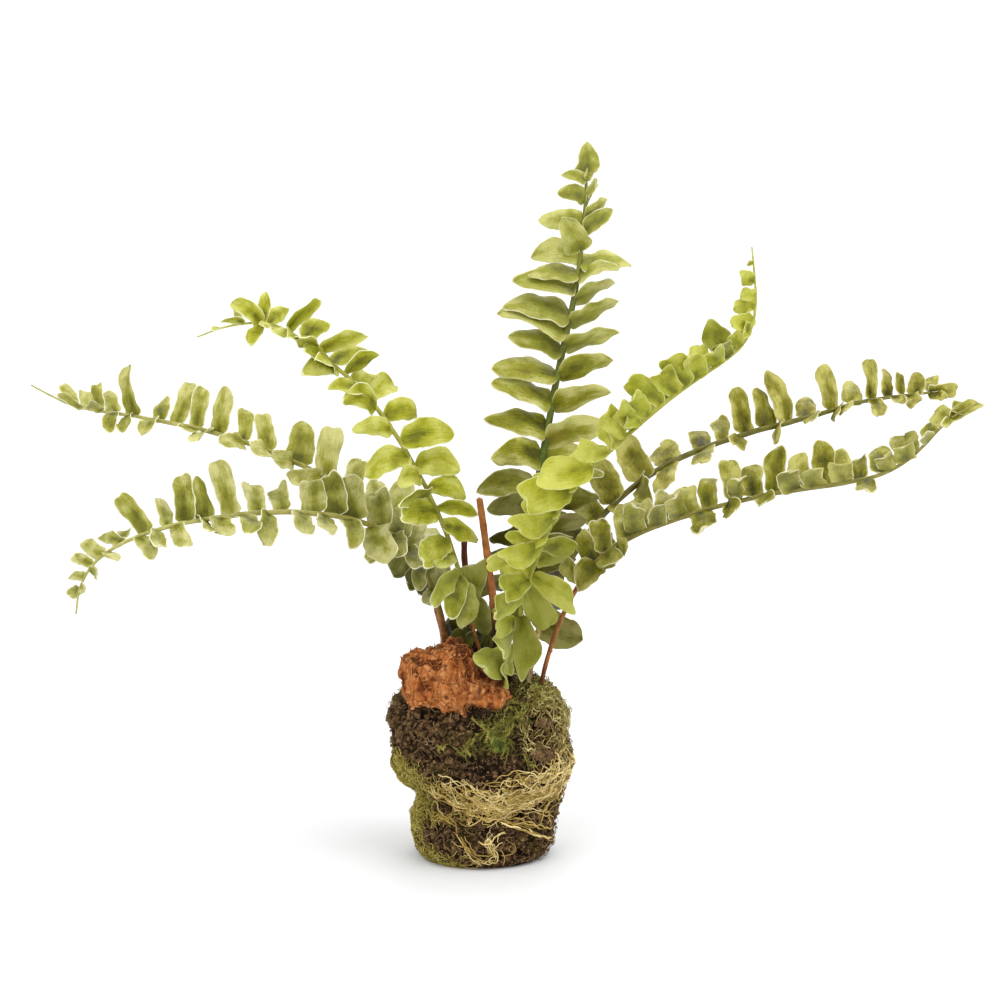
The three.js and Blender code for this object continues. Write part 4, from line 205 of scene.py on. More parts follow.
        [42.5, 42.6, 261.4, 53, 50.9, 268, -0.08, -0.55, 0.83, 6.6, 0.19, 0, 0, 0],
        [42.1, 41.8, 256.3, 54.2, 48.1, 264.5, -0.43, -0.29, 0.86, 7, 0.31, 0, 0, 0],
        [41.2, 40.3, 247.6, 33.5, 33.7, 262.1, -0.88, -0.03, -0.48, 10.4, 0.3, 0, 0, 0],
        [41, 40, 245.9, 20.3, 43.5, 244.5, 0.05, -0.11, -0.99, 9.6, 0.29, 0, 0, 0],
        [40.5, 39.3, 242.3, 62.5, 43.4, 242.8, -0.16, 0.79, 0.6, 9.9, 0.1, 0, 0, 0],
        [39.7, 38.4, 236.9, 55.4, 28.8, 243.2, 0.25, 0.78, 0.58, 8.6, 0.17, 0, 0, 0],
        [40, 38.7, 238.7, 19, 34.6, 237.5, 0.19, -0.79, -0.58, 9.4, 0.08, 0, 0, 0],
        [38.7, 37.4, 231.4, 12, 33, 234.3, 0.06, -0.78, -0.62, 12, 0.23, 0, 0, 0],
        [38, 36.7, 227.6, 56.1, 49.1, 232.5, 0.22, -0.61, 0.76, 9.9, 0.07, 0, 0, 0],
        [36.8, 35.7, 221.9, 8.6, 31.3, 226.2, 0.03, -0.79, -0.61, 12.7, 0.17, 0, 0, 0],
        [36, 35.1, 218, 57.1, 40.8, 226.7, -0.07, -0.74, 0.66, 10.4, 0.33, 0, 0, 0],
        [35.2, 34.4, 214.1, 6.6, 30.6, 223.4, -0.11, -0.74, -0.66, 13.3, 0.11, 0, 0, 0],
        [33.9, 33.5, 208.3, 57.5, 38.8, 213.5, -0.02, -0.64, 0.77, 10.9, 0.01, 0, 0, 0],
        [33.5, 33.2, 206.4, 10.3, 29.9, 212.6, -0.07, -0.75, -0.66, 10.7, 0.28, 0, 0, 0],
        [31.5, 31.5, 196.8, 55, 36.8, 201.6, -0.05, -0.55, 0.83, 10.8, 0.33, 0, 0, 0],
        [31.5, 31.5, 196.8, 3.7, 27, 200, 0.06, -0.79, -0.61, 12.5, 0.17, 0, 0, 0],
        [28.9, 29.2, 183.7, 53.4, 34.9, 190, -0.07, -0.59, 0.81, 11.4, 0.04, 0, 0, 0],
        [29.2, 29.5, 185.5, 3.7, 26.2, 194.6, -0.12, -0.77, -0.62, 12, 0.29, 0, 0, 0],
        [26.2, 26.3, 169.3, 51.3, 32.3, 176.1, -0.17, -0.32, 0.93, 11.7, 0.26, 0, 0, 0],
        [27.1, 27.4, 174.6, 0.3, 23.3, 179.1, -0.02, -0.68, -0.73, 12.1, 0.01, 0, 0, 0],
        [25.2, 25.2, 164.1, 3.3, 13.6, 163.9, 0.1, -0.16, -0.98, 11.1, 0.26, 0, 0, 0],
        [24.9, 24.9, 162.4, 48.3, 28.8, 160.5, -0.05, 0.67, 0.74, 10.5, 0.04, 0, 0, 0],
        [22.5, 22.2, 150.2, -2.1, 17.6, 150.2, 0.09, -0.49, -0.87, 11, 0.28, 0, 0.4, 0],
        [23.2, 22.9, 153.8, 50.8, 28.2, 155.1, -0.19, 0.85, 0.49, 12.4, 0.17, 0, 0.35, 0],
        [20.6, 20.1, 141.1, 1.6, 6.2, 145.1, -0.32, 0.17, -0.93, 10.5, 0.28, 0, 0.6, 0],
        [21, 20.5, 143, 49.2, 26, 144.9, 0.06, -0.58, 0.82, 12.7, 0.24, 0, 0.5, 0],
        [18.6, 18.1, 131.3, 2.9, 1.9, 133.3, -0.42, 0.3, -0.86, 10, 0.19, 0, 0.95, 0],
        [19, 18.5, 133.3, 43.3, 23.6, 136.9, -0.04, -0.44, 0.9, 11, 0.14, 0, 0.55, 0],
        [16.9, 16.4, 122.8, 3.7, -1.3, 128, -0.74, 0.39, -0.55, 10, 0.1, 0, 0.8, 0],
        [16.9, 16.4, 122.8, 38.3, 21.6, 128.8, -0.14, -0.44, 0.89, 10, 0, 0, 0.6, 0],
        [15.1, 14.7, 114.1, 35, 20.8, 118.3, -0.05, -0.46, 0.89, 9.3, 0.16, 0, 0.6, 0],
        [14.6, 14.3, 111.8, 0.8, -3.6, 116.8, -0.72, 0.4, -0.57, 10.2, 0.33, 0, 0.6, 0],
        [13.7, 13.4, 107.3, 32.4, 17.4, 110.4, -0.04, -0.49, 0.87, 8.5, 0.23, 0, 0.6, 0],
        [12.8, 12.6, 102.7, 21.7, 32.8, 100.9, 0.41, -0.1, 0.91, 9.7, 0.5, 0, 0.9, 0],
        [11.6, 11.3, 95.8, 3.2, 33.7, 95.6, 0.45, 0.16, -0.88, 10.5, 0.5, 0, 1, 0],
        [10.9, 10.7, 91.1, -0.1, 20, 89, 0.01, -0.21, -0.98, 7.2, 0.5, 0, 1, 0],
        [10.3, 10.1, 86.4, -1, 19.2, 81.5, 0.25, -0.21, -0.95, 7.2, 0.5, 0, 1, 0],
        [12, 11.7, 98.1, 20.1, 33.3, 88.7, -0.27, 0.47, 0.84, 10.9, 0.5, 0, 1, 0],
        [43.4, 44.9, 279.4, 43.6, 44.8, 293.1, -1, 0.02, 0.01, 11.9, 0.12, 0, 0, 0],
        [43.3, 44.6, 276.8, 46.6, 49.3, 283.6, -0.77, -0.29, 0.57, 3.9, 0.3, 0, 0, 0],
     ]},
    {"blade": [[108.2,-19.2,255.7], [109.1,-22.7,245.3], [109.5,-26.7,235.1], [107.8,-31.6,225.5], [102.8,-37,217.6], [95.1,-42.5,212.1], [86.7,-47.8,207.4], [78.2,-52.5,202.2], [69.9,-56.6,196.5], [61.7,-59.2,189.7], [53.5,-59.8,182.4], [45.7,-58.8,174.8], [38.8,-56,166.8], [33.2,-51.7,158.4], [28.8,-46.8,149.7], [25.1,-41.7,140.7], [21.8,-36.8,131.4], [19,-32,122], [16.6,-27.4,112.3], [14.8,-22.6,102.6], [13.4,-17.8,92.9], [12.4,-13.2,83]],
     "stalk": [[12.3,-13,82.7], [12.1,-11.4,78.9], [11.9,-9.9,75.1], [11.7,-8.5,71.2], [11.6,-7.3,67.3], [11.5,-6,63.4]],
     "leaflets": [
        [27, -44.4, 145.4, 30.5, -23, 146.2, 0.01, 0.03, -1, 9.6, 0.7, 0, 0, 0],
        [21.6, -36.4, 130.6, 32.6, -18.2, 131.2, 0.08, -0.01, -1, 9.4, 0.53, 0, 0.5, 0],
        [15.5, -24.6, 106.7, 19.1, -36.3, 86.6, 0.99, 0.03, 0.16, 11.5, 0.9, 0.8, 0.3, 0],
        [13.3, -17.8, 92.8, 10.2, -28.7, 82.8, -0.47, -0.52, 0.71, 6.6, 0.67, 0, 0.1, 0],
        [108.7, -21.2, 249.7, 105.8, -26.5, 249.7, 0.26, -0.15, 0.95, 2.7, 0.94, 0, 0, 0],
        [109.3, -23.6, 242.7, 103.6, -30.4, 244.9, 0.26, 0.09, 0.96, 6.6, 0.7, 0, 0, 0],
        [109.6, -25.9, 237, 102.6, -35.1, 239.1, 0.15, 0.11, 0.98, 5.8, 0.5, 0, 0, 0],
        [109.5, -27.4, 233.7, 100.2, -35.8, 234, -0.08, 0.13, 0.99, 6.2, 0.6, 0, 0, 0],
        [108.7, -30.1, 228.2, 99.2, -40.7, 226.2, -0.35, 0.14, 0.92, 7.5, 0.6, 0, 0, 0],
        [107.3, -32.4, 224.1, 103.3, -39.4, 224.8, -0.05, 0.13, 0.99, 7.1, 0.6, 0, 0, 0],
        [105.8, -34.2, 221.3, 102.2, -19.3, 220.6, -0.26, -0.11, -0.96, 7.5, 0.7, 0, 0, 0],
        [103.3, -36.6, 218.1, 99.4, -44.8, 223.2, 0.76, 0.04, 0.64, 7.5, 0.6, 0, 0, 0],
        [99.4, -39.6, 214.8, 89.5, -30.7, 225.3, -0.75, -0.04, -0.67, 11.1, 0.6, 0, 0.45, 0],
        [97.7, -40.8, 213.7, 94.4, -55.5, 221.4, 0.93, -0.01, 0.37, 8.9, 0.9, 0, 0.3, 0],
        [93.1, -43.8, 211, 90.8, -58.4, 219.4, 0.97, -0.03, 0.23, 8.9, 0.9, 0, 0, 0],
        [89.3, -46.2, 208.8, 87.4, -27.1, 216, -0.9, 0.08, -0.43, 9, 0.7, 0, 0, 0],
        [86.3, -48, 207.1, 82.3, -63.8, 217, 0.93, 0, 0.38, 9.8, 0.9, 0, 0, 0],
        [84.2, -49.2, 205.9, 80.8, -31, 213.3, -0.92, -0.01, -0.4, 10.6, 0.9, 0, 0, 0],
        [81.1, -51, 204.1, 73.3, -64.1, 217, 0.84, 0.03, 0.54, 12.4, 0.8, 0, 0, 0],
        [77, -53.2, 201.5, 69, -65.8, 212.5, 0.78, 0.05, 0.63, 11.5, 0.9, 0, 0, 0],
        [74.1, -54.7, 199.5, 67.9, -36.4, 205.2, -0.77, -0.06, -0.64, 9.8, 0.8, 0, 0, 0],
        [71.4, -56, 197.5, 58, -66.9, 208.4, 0.58, 0.09, 0.81, 10.6, 0.6, 0, 0, 0],
        [67.1, -57.7, 194.3, 63, -39.7, 199.3, -0.84, -0.05, -0.53, 9.8, 0.8, 0, 0, 0],
        [65.6, -58.2, 193.1, 58.6, -74.2, 202.8, 0.75, 0.07, 0.65, 9.8, 0.9, 0, 0, 0],
        [62.4, -59, 190.4, 57.5, -38.7, 193.5, -0.74, -0.07, -0.67, 9.8, 0.8, 0, 0, 0],
        [60, -59.4, 188.3, 52.7, -76.6, 199.2, 0.78, 0.07, 0.63, 9.8, 0.9, 0, 0, 0],
        [56.7, -59.8, 185.3, 48.4, -78, 197.8, 0.56, 0.29, 0.78, 10.4, 0.8, 0, 0, 0],
        [52.4, -59.8, 181.3, 48.4, -37.7, 186.9, -0.57, 0.1, -0.82, 10.2, 0.7, 0, 0, 0],
        [49.8, -59.6, 178.8, 37.3, -76, 183.4, 0.15, 0.15, 0.98, 9.8, 0.6, 0, 0, 0],
        [44.7, -58.5, 173.6, 36.5, -39.2, 175.8, -0.73, -0.23, -0.65, 9.3, 0.6, 0, 0, 0],
        [62.4, -59, 190.4, 56.9, -67.7, 193.1, 0.26, 0.14, 0.95, 8, 0.8, 0, 0, 0],
        [55, -59.8, 183.7, 50.7, -68.8, 185, -0.03, 0.16, 0.99, 7.5, 0.8, 0, 0, 0],
        [43.8, -58.3, 172.8, 23.8, -67.1, 172.5, 0.09, -0.17, -0.98, 15.1, 0.5, 0.2, 0, 0],
        [38.6, -55.8, 166.4, 20.5, -43.9, 161.7, 0.14, -0.17, -0.97, 11.5, 0.85, 0.5, 0, 0],
        [35.9, -54, 162.7, 18, -64, 160.4, 0.22, -0.17, -0.96, 16.8, 0.85, 0.4, 0, 0],
        [31.2, -49.6, 154.6, 16.6, -36, 150.2, 0.13, -0.18, -0.98, 11.5, 0.85, 0.5, 0, 0],
        [29.1, -47.1, 150.3, 15.3, -62.5, 148.9, -0.29, 0.18, 0.94, 12.4, 0.85, 0.4, 0, 0],
        [26.3, -43.4, 143.7, 12.6, -32.2, 136.8, 0.33, -0.18, -0.93, 12.4, 0.8, 0.4, 0, 0],
        [24.2, -40.4, 138.3, 10.6, -56.9, 136.6, -0.33, 0.18, 0.93, 11.5, 0.8, 0.3, 0, 0],
        [22.2, -37.4, 132.6, 3.4, -51, 131.8, 0.31, -0.48, 0.82, 10.2, 0.2, 0, 0, 0],
        [20.9, -35.3, 128.7, 7.4, -20.1, 122.1, 0.25, -0.19, -0.95, 12, 1, 0.6, 0.05, 0],
        [19.2, -32.4, 122.7, 7.8, -48.7, 120.8, -0.41, 0.18, 0.9, 11.5, 0.9, 0.6, 0.1, 0],
        [17.2, -28.5, 114.7, 5.4, -46, 112.1, -0.22, 0, 0.98, 9.3, 0.35, 0.4, 0, 0.3],
        [15.9, -25.6, 108.7, 6.2, -11.3, 101.6, 0.39, -0.19, -0.9, 9.8, 0.9, 0.5, 0.15, 0],
        [14.8, -22.7, 102.7, 6.6, -42, 103.9, -0.07, 0.09, 0.99, 9.2, 0.8, 0.5, 0.15, 0],
        [14.2, -20.7, 98.7, 8.2, -39.4, 94.3, -0.62, 0.01, 0.78, 8.8, 0.9, 1, 0.07, 0.9],
        [12.9, -15.9, 88.9, 2.5, -34.2, 87, -0.49, 0.19, 0.85, 13.3, 0.9, 0.6, 0.12, 0.3],
        [12.5, -14, 84.9, 9, -34.3, 81.2, -0.13, -0.16, 0.98, 9.2, 0.2, 0, 0.2, 0],
        [18.7, -31.4, 120.7, 27.3, -21.9, 103, -0.88, -0.09, -0.47, 11.1, 0.12, 0.2, 0.4, 0],
        [19.8, -33.3, 124.7, 36.7, -38.2, 114.2, 0.55, 0.16, 0.82, 10.2, 0.05, 0, 0.35, 0],
        [24.2, -40.4, 138.3, 37.3, -25.5, 132.6, -0.36, -0.03, -0.93, 9.1, 0.3, 0, 0.5, 0],
     ]},
    {"blade": [[203.9,92.4,181.7], [193.3,89.9,180.9], [182.9,87,180.1], [172.5,83.9,179.3], [162.1,80.7,178], [152.1,77.3,175.7], [142.1,73.6,173.3], [132,70.1,171], [121.9,66.6,169], [111.9,62.8,166.9], [102.1,58.9,164.4], [92.4,55,161.5], [82.8,51,158], [73.7,46.9,153.8], [65.2,42.4,148.8], [57.2,37.7,142.9], [49.9,33.3,136.2], [43.3,29.1,128.6], [37.4,25,120.5], [32.1,21.3,111.7], [27.5,17.9,102.5], [23.7,14.8,92.7]],
     "stalk": [[23.6,14.7,92.4], [21.9,13.2,86.4], [20.4,11.8,80.3], [19.1,10.4,74.2], [18,9.2,68], [17,8,61.8]],
     "leaflets": [
        [192.7, 89.7, 180.8, 205.2, 92, 181.3, -0.06, 0.15, 0.99, 7.4, 0.1, 0, 0, 0],
        [194.1, 90.1, 180.9, 195.6, 96.4, 186.3, -0.98, 0.13, 0.11, 6.4, 0.6, 0, 0, 0],
        [197, 90.8, 181.1, 199.1, 84.7, 179.3, 0.69, 0.02, 0.72, 4.9, 0.82, 0, 0, 0],
        [186.8, 88.1, 180.4, 189.4, 95.8, 188.6, -0.97, 0.14, 0.18, 7.4, 0.8, 0, 0, 0],
        [185.3, 87.7, 180.3, 186.5, 75.8, 177.6, 0.87, -0.02, 0.5, 7.4, 0.4, 0, 0, 0],
        [180.6, 86.3, 180, 181.7, 96.6, 188.9, -0.78, -0.36, 0.51, 6, 0.58, 0, 0, 0],
        [177.5, 85.4, 179.7, 179.7, 72.8, 178.9, 0.91, 0.13, 0.4, 5.7, 0.47, 0, 0, 0],
        [174.4, 84.5, 179.5, 175.1, 96.3, 190.8, -0.76, -0.43, 0.49, 7.2, 0.6, 0, 0, 0],
        [167.1, 82.3, 178.8, 166.4, 88.3, 195.3, -0.88, -0.46, 0.13, 7.8, 0.92, 0, 0, 0],
        [168.5, 82.7, 178.9, 168.4, 66.1, 174.3, 1, -0.01, 0.01, 7.6, 0, 0, 0, 0],
        [159.1, 79.7, 177.4, 160.5, 97.2, 185.8, -0.99, 0.01, 0.14, 8.5, 0.49, 0, 0, 0],
        [156.6, 78.9, 176.9, 154.2, 61.3, 177.1, 0.82, -0.1, 0.56, 7.8, 0.95, 0, 0, 0],
        [150.2, 76.6, 175.3, 145.3, 83.4, 193.4, -0.92, -0.38, -0.11, 8.8, 0.69, 0, 0, 0],
        [152.8, 77.5, 175.9, 150.7, 59.1, 174.9, 0.51, -0.11, 0.85, 8.2, 0.45, 0, 0, 0],
        [138.9, 72.5, 172.5, 140.1, 91.1, 178.8, -1, 0.08, -0.05, 8.9, 0.47, 0, 0, 0],
        [141.8, 73.5, 173.2, 139.1, 53.3, 174.1, 0.78, -0.08, 0.61, 9, 0.59, 0, 0, 0],
        [130.2, 69.5, 170.6, 122.5, 77.8, 192.5, -0.78, -0.63, -0.04, 10.8, 0.66, 0, 0, 0],
        [125.8, 68, 169.7, 124.8, 47.1, 166.9, 0.43, -0.14, 0.89, 9.3, 0.67, 0, 0, 0],
        [121.4, 66.4, 168.9, 118.2, 77.5, 185.6, -0.93, -0.36, 0.06, 8.9, 0.54, 0, 0, 0],
        [112.6, 63.1, 167.1, 107.9, 70.2, 186.2, -0.92, -0.37, -0.09, 9.2, 0.61, 0, 0, 0],
        [109.7, 61.9, 166.4, 105.8, 40.8, 165.4, 0.86, -0.13, -0.49, 9.8, 0.52, 0, 0, 0],
        [102.5, 59, 164.6, 100.4, 78.6, 171.1, -0.95, 0.01, -0.32, 9.4, 0.98, 0, 0, 0],
        [93.8, 55.5, 162, 92.6, 77.5, 167.3, -0.99, -0.02, -0.12, 10, 0.67, 0, 0, 0],
        [95.2, 56.1, 162.4, 91.2, 34.4, 159.6, 0.9, -0.21, 0.37, 9.8, 0.85, 0, 0, 0],
        [79.8, 49.7, 156.7, 76.9, 70, 159.8, -0.86, -0.04, -0.52, 13.3, 0.93, 0, 0, 0],
        [79.8, 49.7, 156.7, 75.2, 29.5, 148.5, 0.91, -0.32, 0.28, 9.8, 0.92, 0, 0, 0],
        [67.6, 43.7, 150.3, 60, 54.7, 167, -0.92, -0.03, -0.39, 12.3, 0.62, 0, 0, 0],
        [66.4, 43.1, 149.6, 69, 19.6, 144.8, 0.46, -0.13, 0.88, 10.6, 0.59, 0, 0, 0],
        [56.2, 37.1, 142.1, 48.5, 49.5, 157.1, -0.9, -0.05, -0.43, 12.8, 0.93, 0, 0, 0],
        [55, 36.4, 141.1, 62.2, 16.1, 134.8, 0.94, 0.26, 0.24, 9.9, 0.7, 0, 0, 0],
        [49.2, 32.9, 135.5, 38.8, 51, 143.1, -0.7, -0.11, -0.7, 10.8, 0.74, 0, 0, 0],
        [45.8, 30.7, 131.6, 54.8, 15.1, 121.1, 0.82, 0.09, 0.57, 10.8, 0.7, 0, 0.3, 0],
        [42.3, 28.4, 127.4, 31.1, 44.8, 133, -0.59, -0.14, -0.79, 9.8, 0.98, 0, 0.5, 0],
        [35.8, 23.9, 118, 26.5, 43.1, 121.3, -0.87, -0.36, -0.34, 9.5, 0.89, 0, 0.6, 0],
        [27, 17.5, 101.4, 36.6, 36.1, 97.6, -0.75, 0.27, -0.6, 9.4, 0.6, 0, 0.8, 0],
        [24.5, 15.5, 95.1, 42.2, 20.1, 86.8, 0.38, 0.19, 0.91, 13.3, 0.1, 0, 0.45, 0],
        [33.7, 22.4, 114.5, 24.4, 43, 106.6, 0.04, -0.34, -0.94, 10.6, 0.6, 0, 1, 0],
     ]},
    {"blade": [[194.7,-57,197.8], [187.1,-56.1,193.7], [180.7,-54.7,187.8], [175.2,-52.9,181.2], [169.3,-50.7,175], [162.4,-48.4,170.1], [154.6,-46.2,166.7], [146.3,-44.2,164.5], [138,-42.1,162.7], [129.6,-39.9,161.1], [121.3,-37.7,159.4], [112.9,-35.5,157.5], [104.7,-33.5,155.3], [96.5,-31.5,152.8], [88.3,-29.6,150.1], [80.2,-27.7,147.2], [72.3,-25.6,144], [64.7,-23.1,140.3], [57.6,-20.3,136], [51,-17.3,130.9], [45.3,-14.5,124.9], [40.5,-12.1,117.9]],
     "stalk": [[40.3,-12,117.6], [37.1,-10.4,111.5], [34.1,-9.1,105.1], [31.5,-7.9,98.6], [29.2,-6.7,91.9], [27.2,-5.6,85.2], [25.5,-4.7,78.3], [24.2,-3.8,71.3], [23.1,-3,64.3]],
     "leaflets": [
        [184.3, -55.6, 191.5, 195.8, -52.2, 197.5, -0.5, 0.19, 0.85, 6.4, 0.5, 0, 0, 0],
        [187.5, -56.2, 194, 188.9, -50.5, 197.7, -0.98, 0.15, 0.14, 6.4, 0.8, 0, 0, 0],
        [183.5, -55.4, 190.8, 179.4, -47.8, 193.3, -0.58, -0.05, -0.81, 8.9, 0.8, 0, 0, 0],
        [185.1, -55.7, 192.2, 181.5, -63.8, 190.6, 0.78, -0.22, -0.59, 4, 0.77, 0, 0, 0],
        [177.9, -53.8, 184.5, 176.2, -42.4, 186, -0.74, -0.02, -0.67, 6.9, 0.8, 0, 0, 0],
        [176.5, -53.3, 182.7, 173.3, -64.9, 186.4, 0.69, 0.03, 0.72, 6.9, 0.6, 0, 0, 0.5],
        [170.2, -51, 175.9, 168.9, -38.1, 181.3, -0.94, 0.05, -0.35, 12.3, 0.8, 0, 0.3, 0],
        [167.5, -50, 173.5, 164.6, -62.5, 182.4, 0.97, -0.07, 0.22, 8.9, 0.63, 0, 0, 0],
        [159.4, -47.5, 168.5, 159.7, -31.4, 176.2, -0.99, 0.08, -0.14, 9.8, 0.58, 0, 0, 0],
        [161.6, -48.1, 169.6, 158.2, -61, 177.8, 0.95, -0.05, 0.31, 7.9, 0.82, 0, 0, 0],
        [150.9, -45.3, 165.6, 152.1, -27.6, 171.9, -0.78, 0.26, -0.57, 8.3, 0.94, 0, 0, 0],
        [145.3, -43.9, 164.3, 142.3, -28.3, 174.5, -0.94, 0.03, -0.33, 8.9, 0.71, 0, 0, 0],
        [152.2, -45.6, 166, 151.4, -60.1, 164.1, 0.98, -0.07, 0.16, 8.9, 0.69, 0, 0, 0],
        [143.8, -43.6, 164, 140.5, -57.9, 174.1, 0.97, -0.05, 0.25, 9.8, 0.53, 0, 0, 0],
        [136, -41.6, 162.3, 136.1, -34.6, 179.6, -1, 0.08, -0.03, 9.8, 0.53, 0, 0, 0],
        [132.7, -40.8, 161.7, 130.4, -56.4, 172.6, 0.99, -0.07, 0.12, 9.8, 0.97, 0, 0, 0],
        [127.8, -39.5, 160.7, 128.1, -25.5, 173.2, -1, 0.07, -0.06, 8.9, 0.67, 0, 0, 0],
        [124.6, -38.6, 160.1, 121, -54.8, 171.6, 0.97, -0.04, 0.25, 10.3, 0.91, 0, 0, 0],
        [117.1, -36.6, 158.5, 117.7, -30.3, 175.6, -1, 0.08, 0, 10.3, 0.72, 0, 0, 0],
        [112.9, -35.5, 157.5, 113.6, -50.7, 157.6, 0.81, 0.04, 0.58, 8.9, 0.93, 0, 0, 0],
        [108.9, -34.5, 156.5, 108.8, -20.1, 168.2, -1, 0.06, -0.08, 9.4, 0.9, 0, 0, 0],
        [103.7, -33.2, 155, 101.7, -49.3, 167.1, 0.86, 0.23, 0.45, 8.9, 0.54, 0, 0, 0],
        [101, -32.6, 154.2, 100.2, -16.1, 168, -0.99, 0.04, -0.11, 9.8, 0.62, 0, 0, 0],
        [98.4, -32, 153.4, 101.3, -46.1, 154, 0.45, 0.13, 0.88, 10.3, 0.94, 0, 0, 0],
        [91.8, -30.4, 151.3, 92.7, -14.3, 161.9, -0.91, 0.26, -0.31, 8.5, 0.58, 0, 0, 0],
        [87.8, -29.5, 149.9, 88.4, -42.3, 146.4, 0.97, -0.01, 0.23, 11.8, 0.53, 0, 0, 0],
        [83.7, -28.5, 148.5, 83.1, -11.9, 157.4, -0.99, 0.03, -0.13, 9.8, 0.77, 0, 0, 0],
        [79.7, -27.5, 147, 77.4, -44.7, 158.2, 0.79, 0.26, 0.55, 9, 0.91, 0, 0, 0],
        [74.4, -26.2, 144.9, 75.9, -9.3, 154.5, -1, 0.06, 0.06, 11.8, 0.69, 0, 0, 0],
        [70.4, -25, 143.2, 70.5, -40.4, 153.4, 0.99, 0.07, 0.1, 8.1, 0.71, 0, 0, 0],
        [65.3, -23.3, 140.6, 64.7, -3.9, 150.6, -0.99, 0.02, -0.1, 10.3, 0.65, 0, 0, 0],
        [62.8, -22.4, 139.3, 61.8, -37.8, 152.1, 1, -0.03, 0.04, 9.8, 0.67, 0, 0, 0],
        [59.2, -21, 137.1, 57.3, -4.7, 147, -0.98, 0, -0.19, 8.9, 0.82, 0, 0, 0],
        [54.7, -19, 133.9, 58.9, -31.8, 136.3, 0.01, 0.19, 0.98, 8.4, 0.7, 0, 0, 0],
        [50.5, -17.1, 130.5, 47.6, -0.6, 140.4, -0.97, -0.02, -0.25, 8.9, 0.89, 0, 0, 0],
        [50.5, -17.1, 130.5, 54.2, -30.6, 129.1, 0.7, 0.11, 0.7, 10.8, 0.78, 0, 0, 0],
        [46, -14.9, 125.7, 40.4, 4.3, 133.7, -0.69, 0.09, -0.71, 9.5, 0.87, 0, 0, 0],
        [41.8, -12.8, 120, 33, 4.4, 123.6, -0.27, 0.06, -0.96, 8.6, 0.96, 0, 0, 0],
        [46.8, -15.3, 126.7, 39.5, -23.3, 116.1, 0.86, -0.12, -0.5, 10.3, 0.25, 0, 0.2, 0],
        [48.6, -16.2, 128.7, 53.6, -22.6, 126.7, 0.52, 0.15, 0.84, 8.5, 0.1, 0, 0.35, 0],
     ]},
]

# ---------------------------------------------------------------- mesh helpers
def vnoise(p, scale, seed=0.0):
    """Smooth value noise at points p (n,3), from -1 to 1."""
    q = p * scale + seed * 17.31
    i = np.floor(q).astype(np.int64)
    f = q - i
    f = f * f * (3 - 2 * f)
    def h(a, b, c):
        n = (a * 374761393 + b * 668265263 + c * 2147483647 + int(seed * 1013) * 974634777) & 0xFFFFFFFF
        n = ((n ^ (n >> 13)) * 1274126177) & 0xFFFFFFFF
        n = (n ^ (n >> 16)) & 0xFFFFFFFF
        return n / 2147483648.0 - 1.0
    out = 0
    for dx in (0, 1):
        wx = f[:, 0] if dx else 1 - f[:, 0]
        for dy in (0, 1):
            wy = f[:, 1] if dy else 1 - f[:, 1]
            for dz in (0, 1):
                wz = f[:, 2] if dz else 1 - f[:, 2]
                out = out + wx * wy * wz * h(i[:, 0] + dx, i[:, 1] + dy, i[:, 2] + dz)
    return out

def fbm(p, scale, octaves, seed=0.0, gain=0.5):
    a, s, out = 1.0, 0.0, 0
    for k in range(octaves):
        out = out + a * vnoise(p, scale * 2.03 ** k, seed + k * 0.37)
        s += a
        a *= gain
    return out / s

class Builder:
    def __init__(self):
        self.v, self.f, self.n = [], [], 0
        self.att = {}
    def add(self, verts, faces, **att):
        verts = np.asarray(verts, float).reshape(-1, 3)
        for q in faces:
            q = np.asarray(q)
            if len(q):
                self.f.append(q + self.n)
        self.v.append(verts)
        for k, a in att.items():
            a = np.broadcast_to(np.asarray(a, float), (len(verts),))
            self.att.setdefault(k, []).append(a)
        self.n += len(verts)
    def make(self, name, material, smooth=True):
        me = bpy.data.meshes.new(name)
        v = np.concatenate(self.v) * MM
        fs = []
        for q in self.f:
            fs.extend(q.tolist())
        me.from_pydata(v.tolist(), [], fs)
        for k, a in self.att.items():
            d = np.concatenate(a)
            at = me.attributes.new(k, "FLOAT", "POINT")
            at.data.foreach_set("value", d.astype(np.float32))
        me.materials.append(material)
        if smooth:
            me.polygons.foreach_set("use_smooth", [True] * len(me.polygons))
        me.update()
        o = bpy.data.objects.new(name, me)
        scene.collection.objects.link(o)
        return o

def grid_faces(nu, nv, wrap_v=False):
    """Quads of a (nu, nv) vertex grid, v fastest."""
    a = np.arange(nu - 1)[:, None] * nv + np.arange(nv - (0 if wrap_v else 1))[None]
    b = np.arange(nu - 1)[:, None] * nv + (np.arange(nv - (0 if wrap_v else 1))[None] + 1) % nv
    return np.stack([a, b, b + nv, a + nv], -1).reshape(-1, 4)

def catmull(P, n):
    P = np.asarray(P, float)
    Q = np.vstack([2 * P[0] - P[1], P, 2 * P[-1] - P[-2]])
    t = np.arange(n)[:, None] / n
    out = []
    for i in range(len(P) - 1):
        p0, p1, p2, p3 = Q[i:i + 4]
        out.append(0.5 * (2 * p1 + (p2 - p0) * t + (2 * p0 - 5 * p1 + 4 * p2 - p3) * t ** 2 + (3 * p1 - p0 - 3 * p2 + p3) * t ** 3))
    out.append(P[-1:])
    return np.vstack(out)

def unit(v):
    return v / np.maximum(np.linalg.norm(v, axis=-1, keepdims=True), 1e-9)

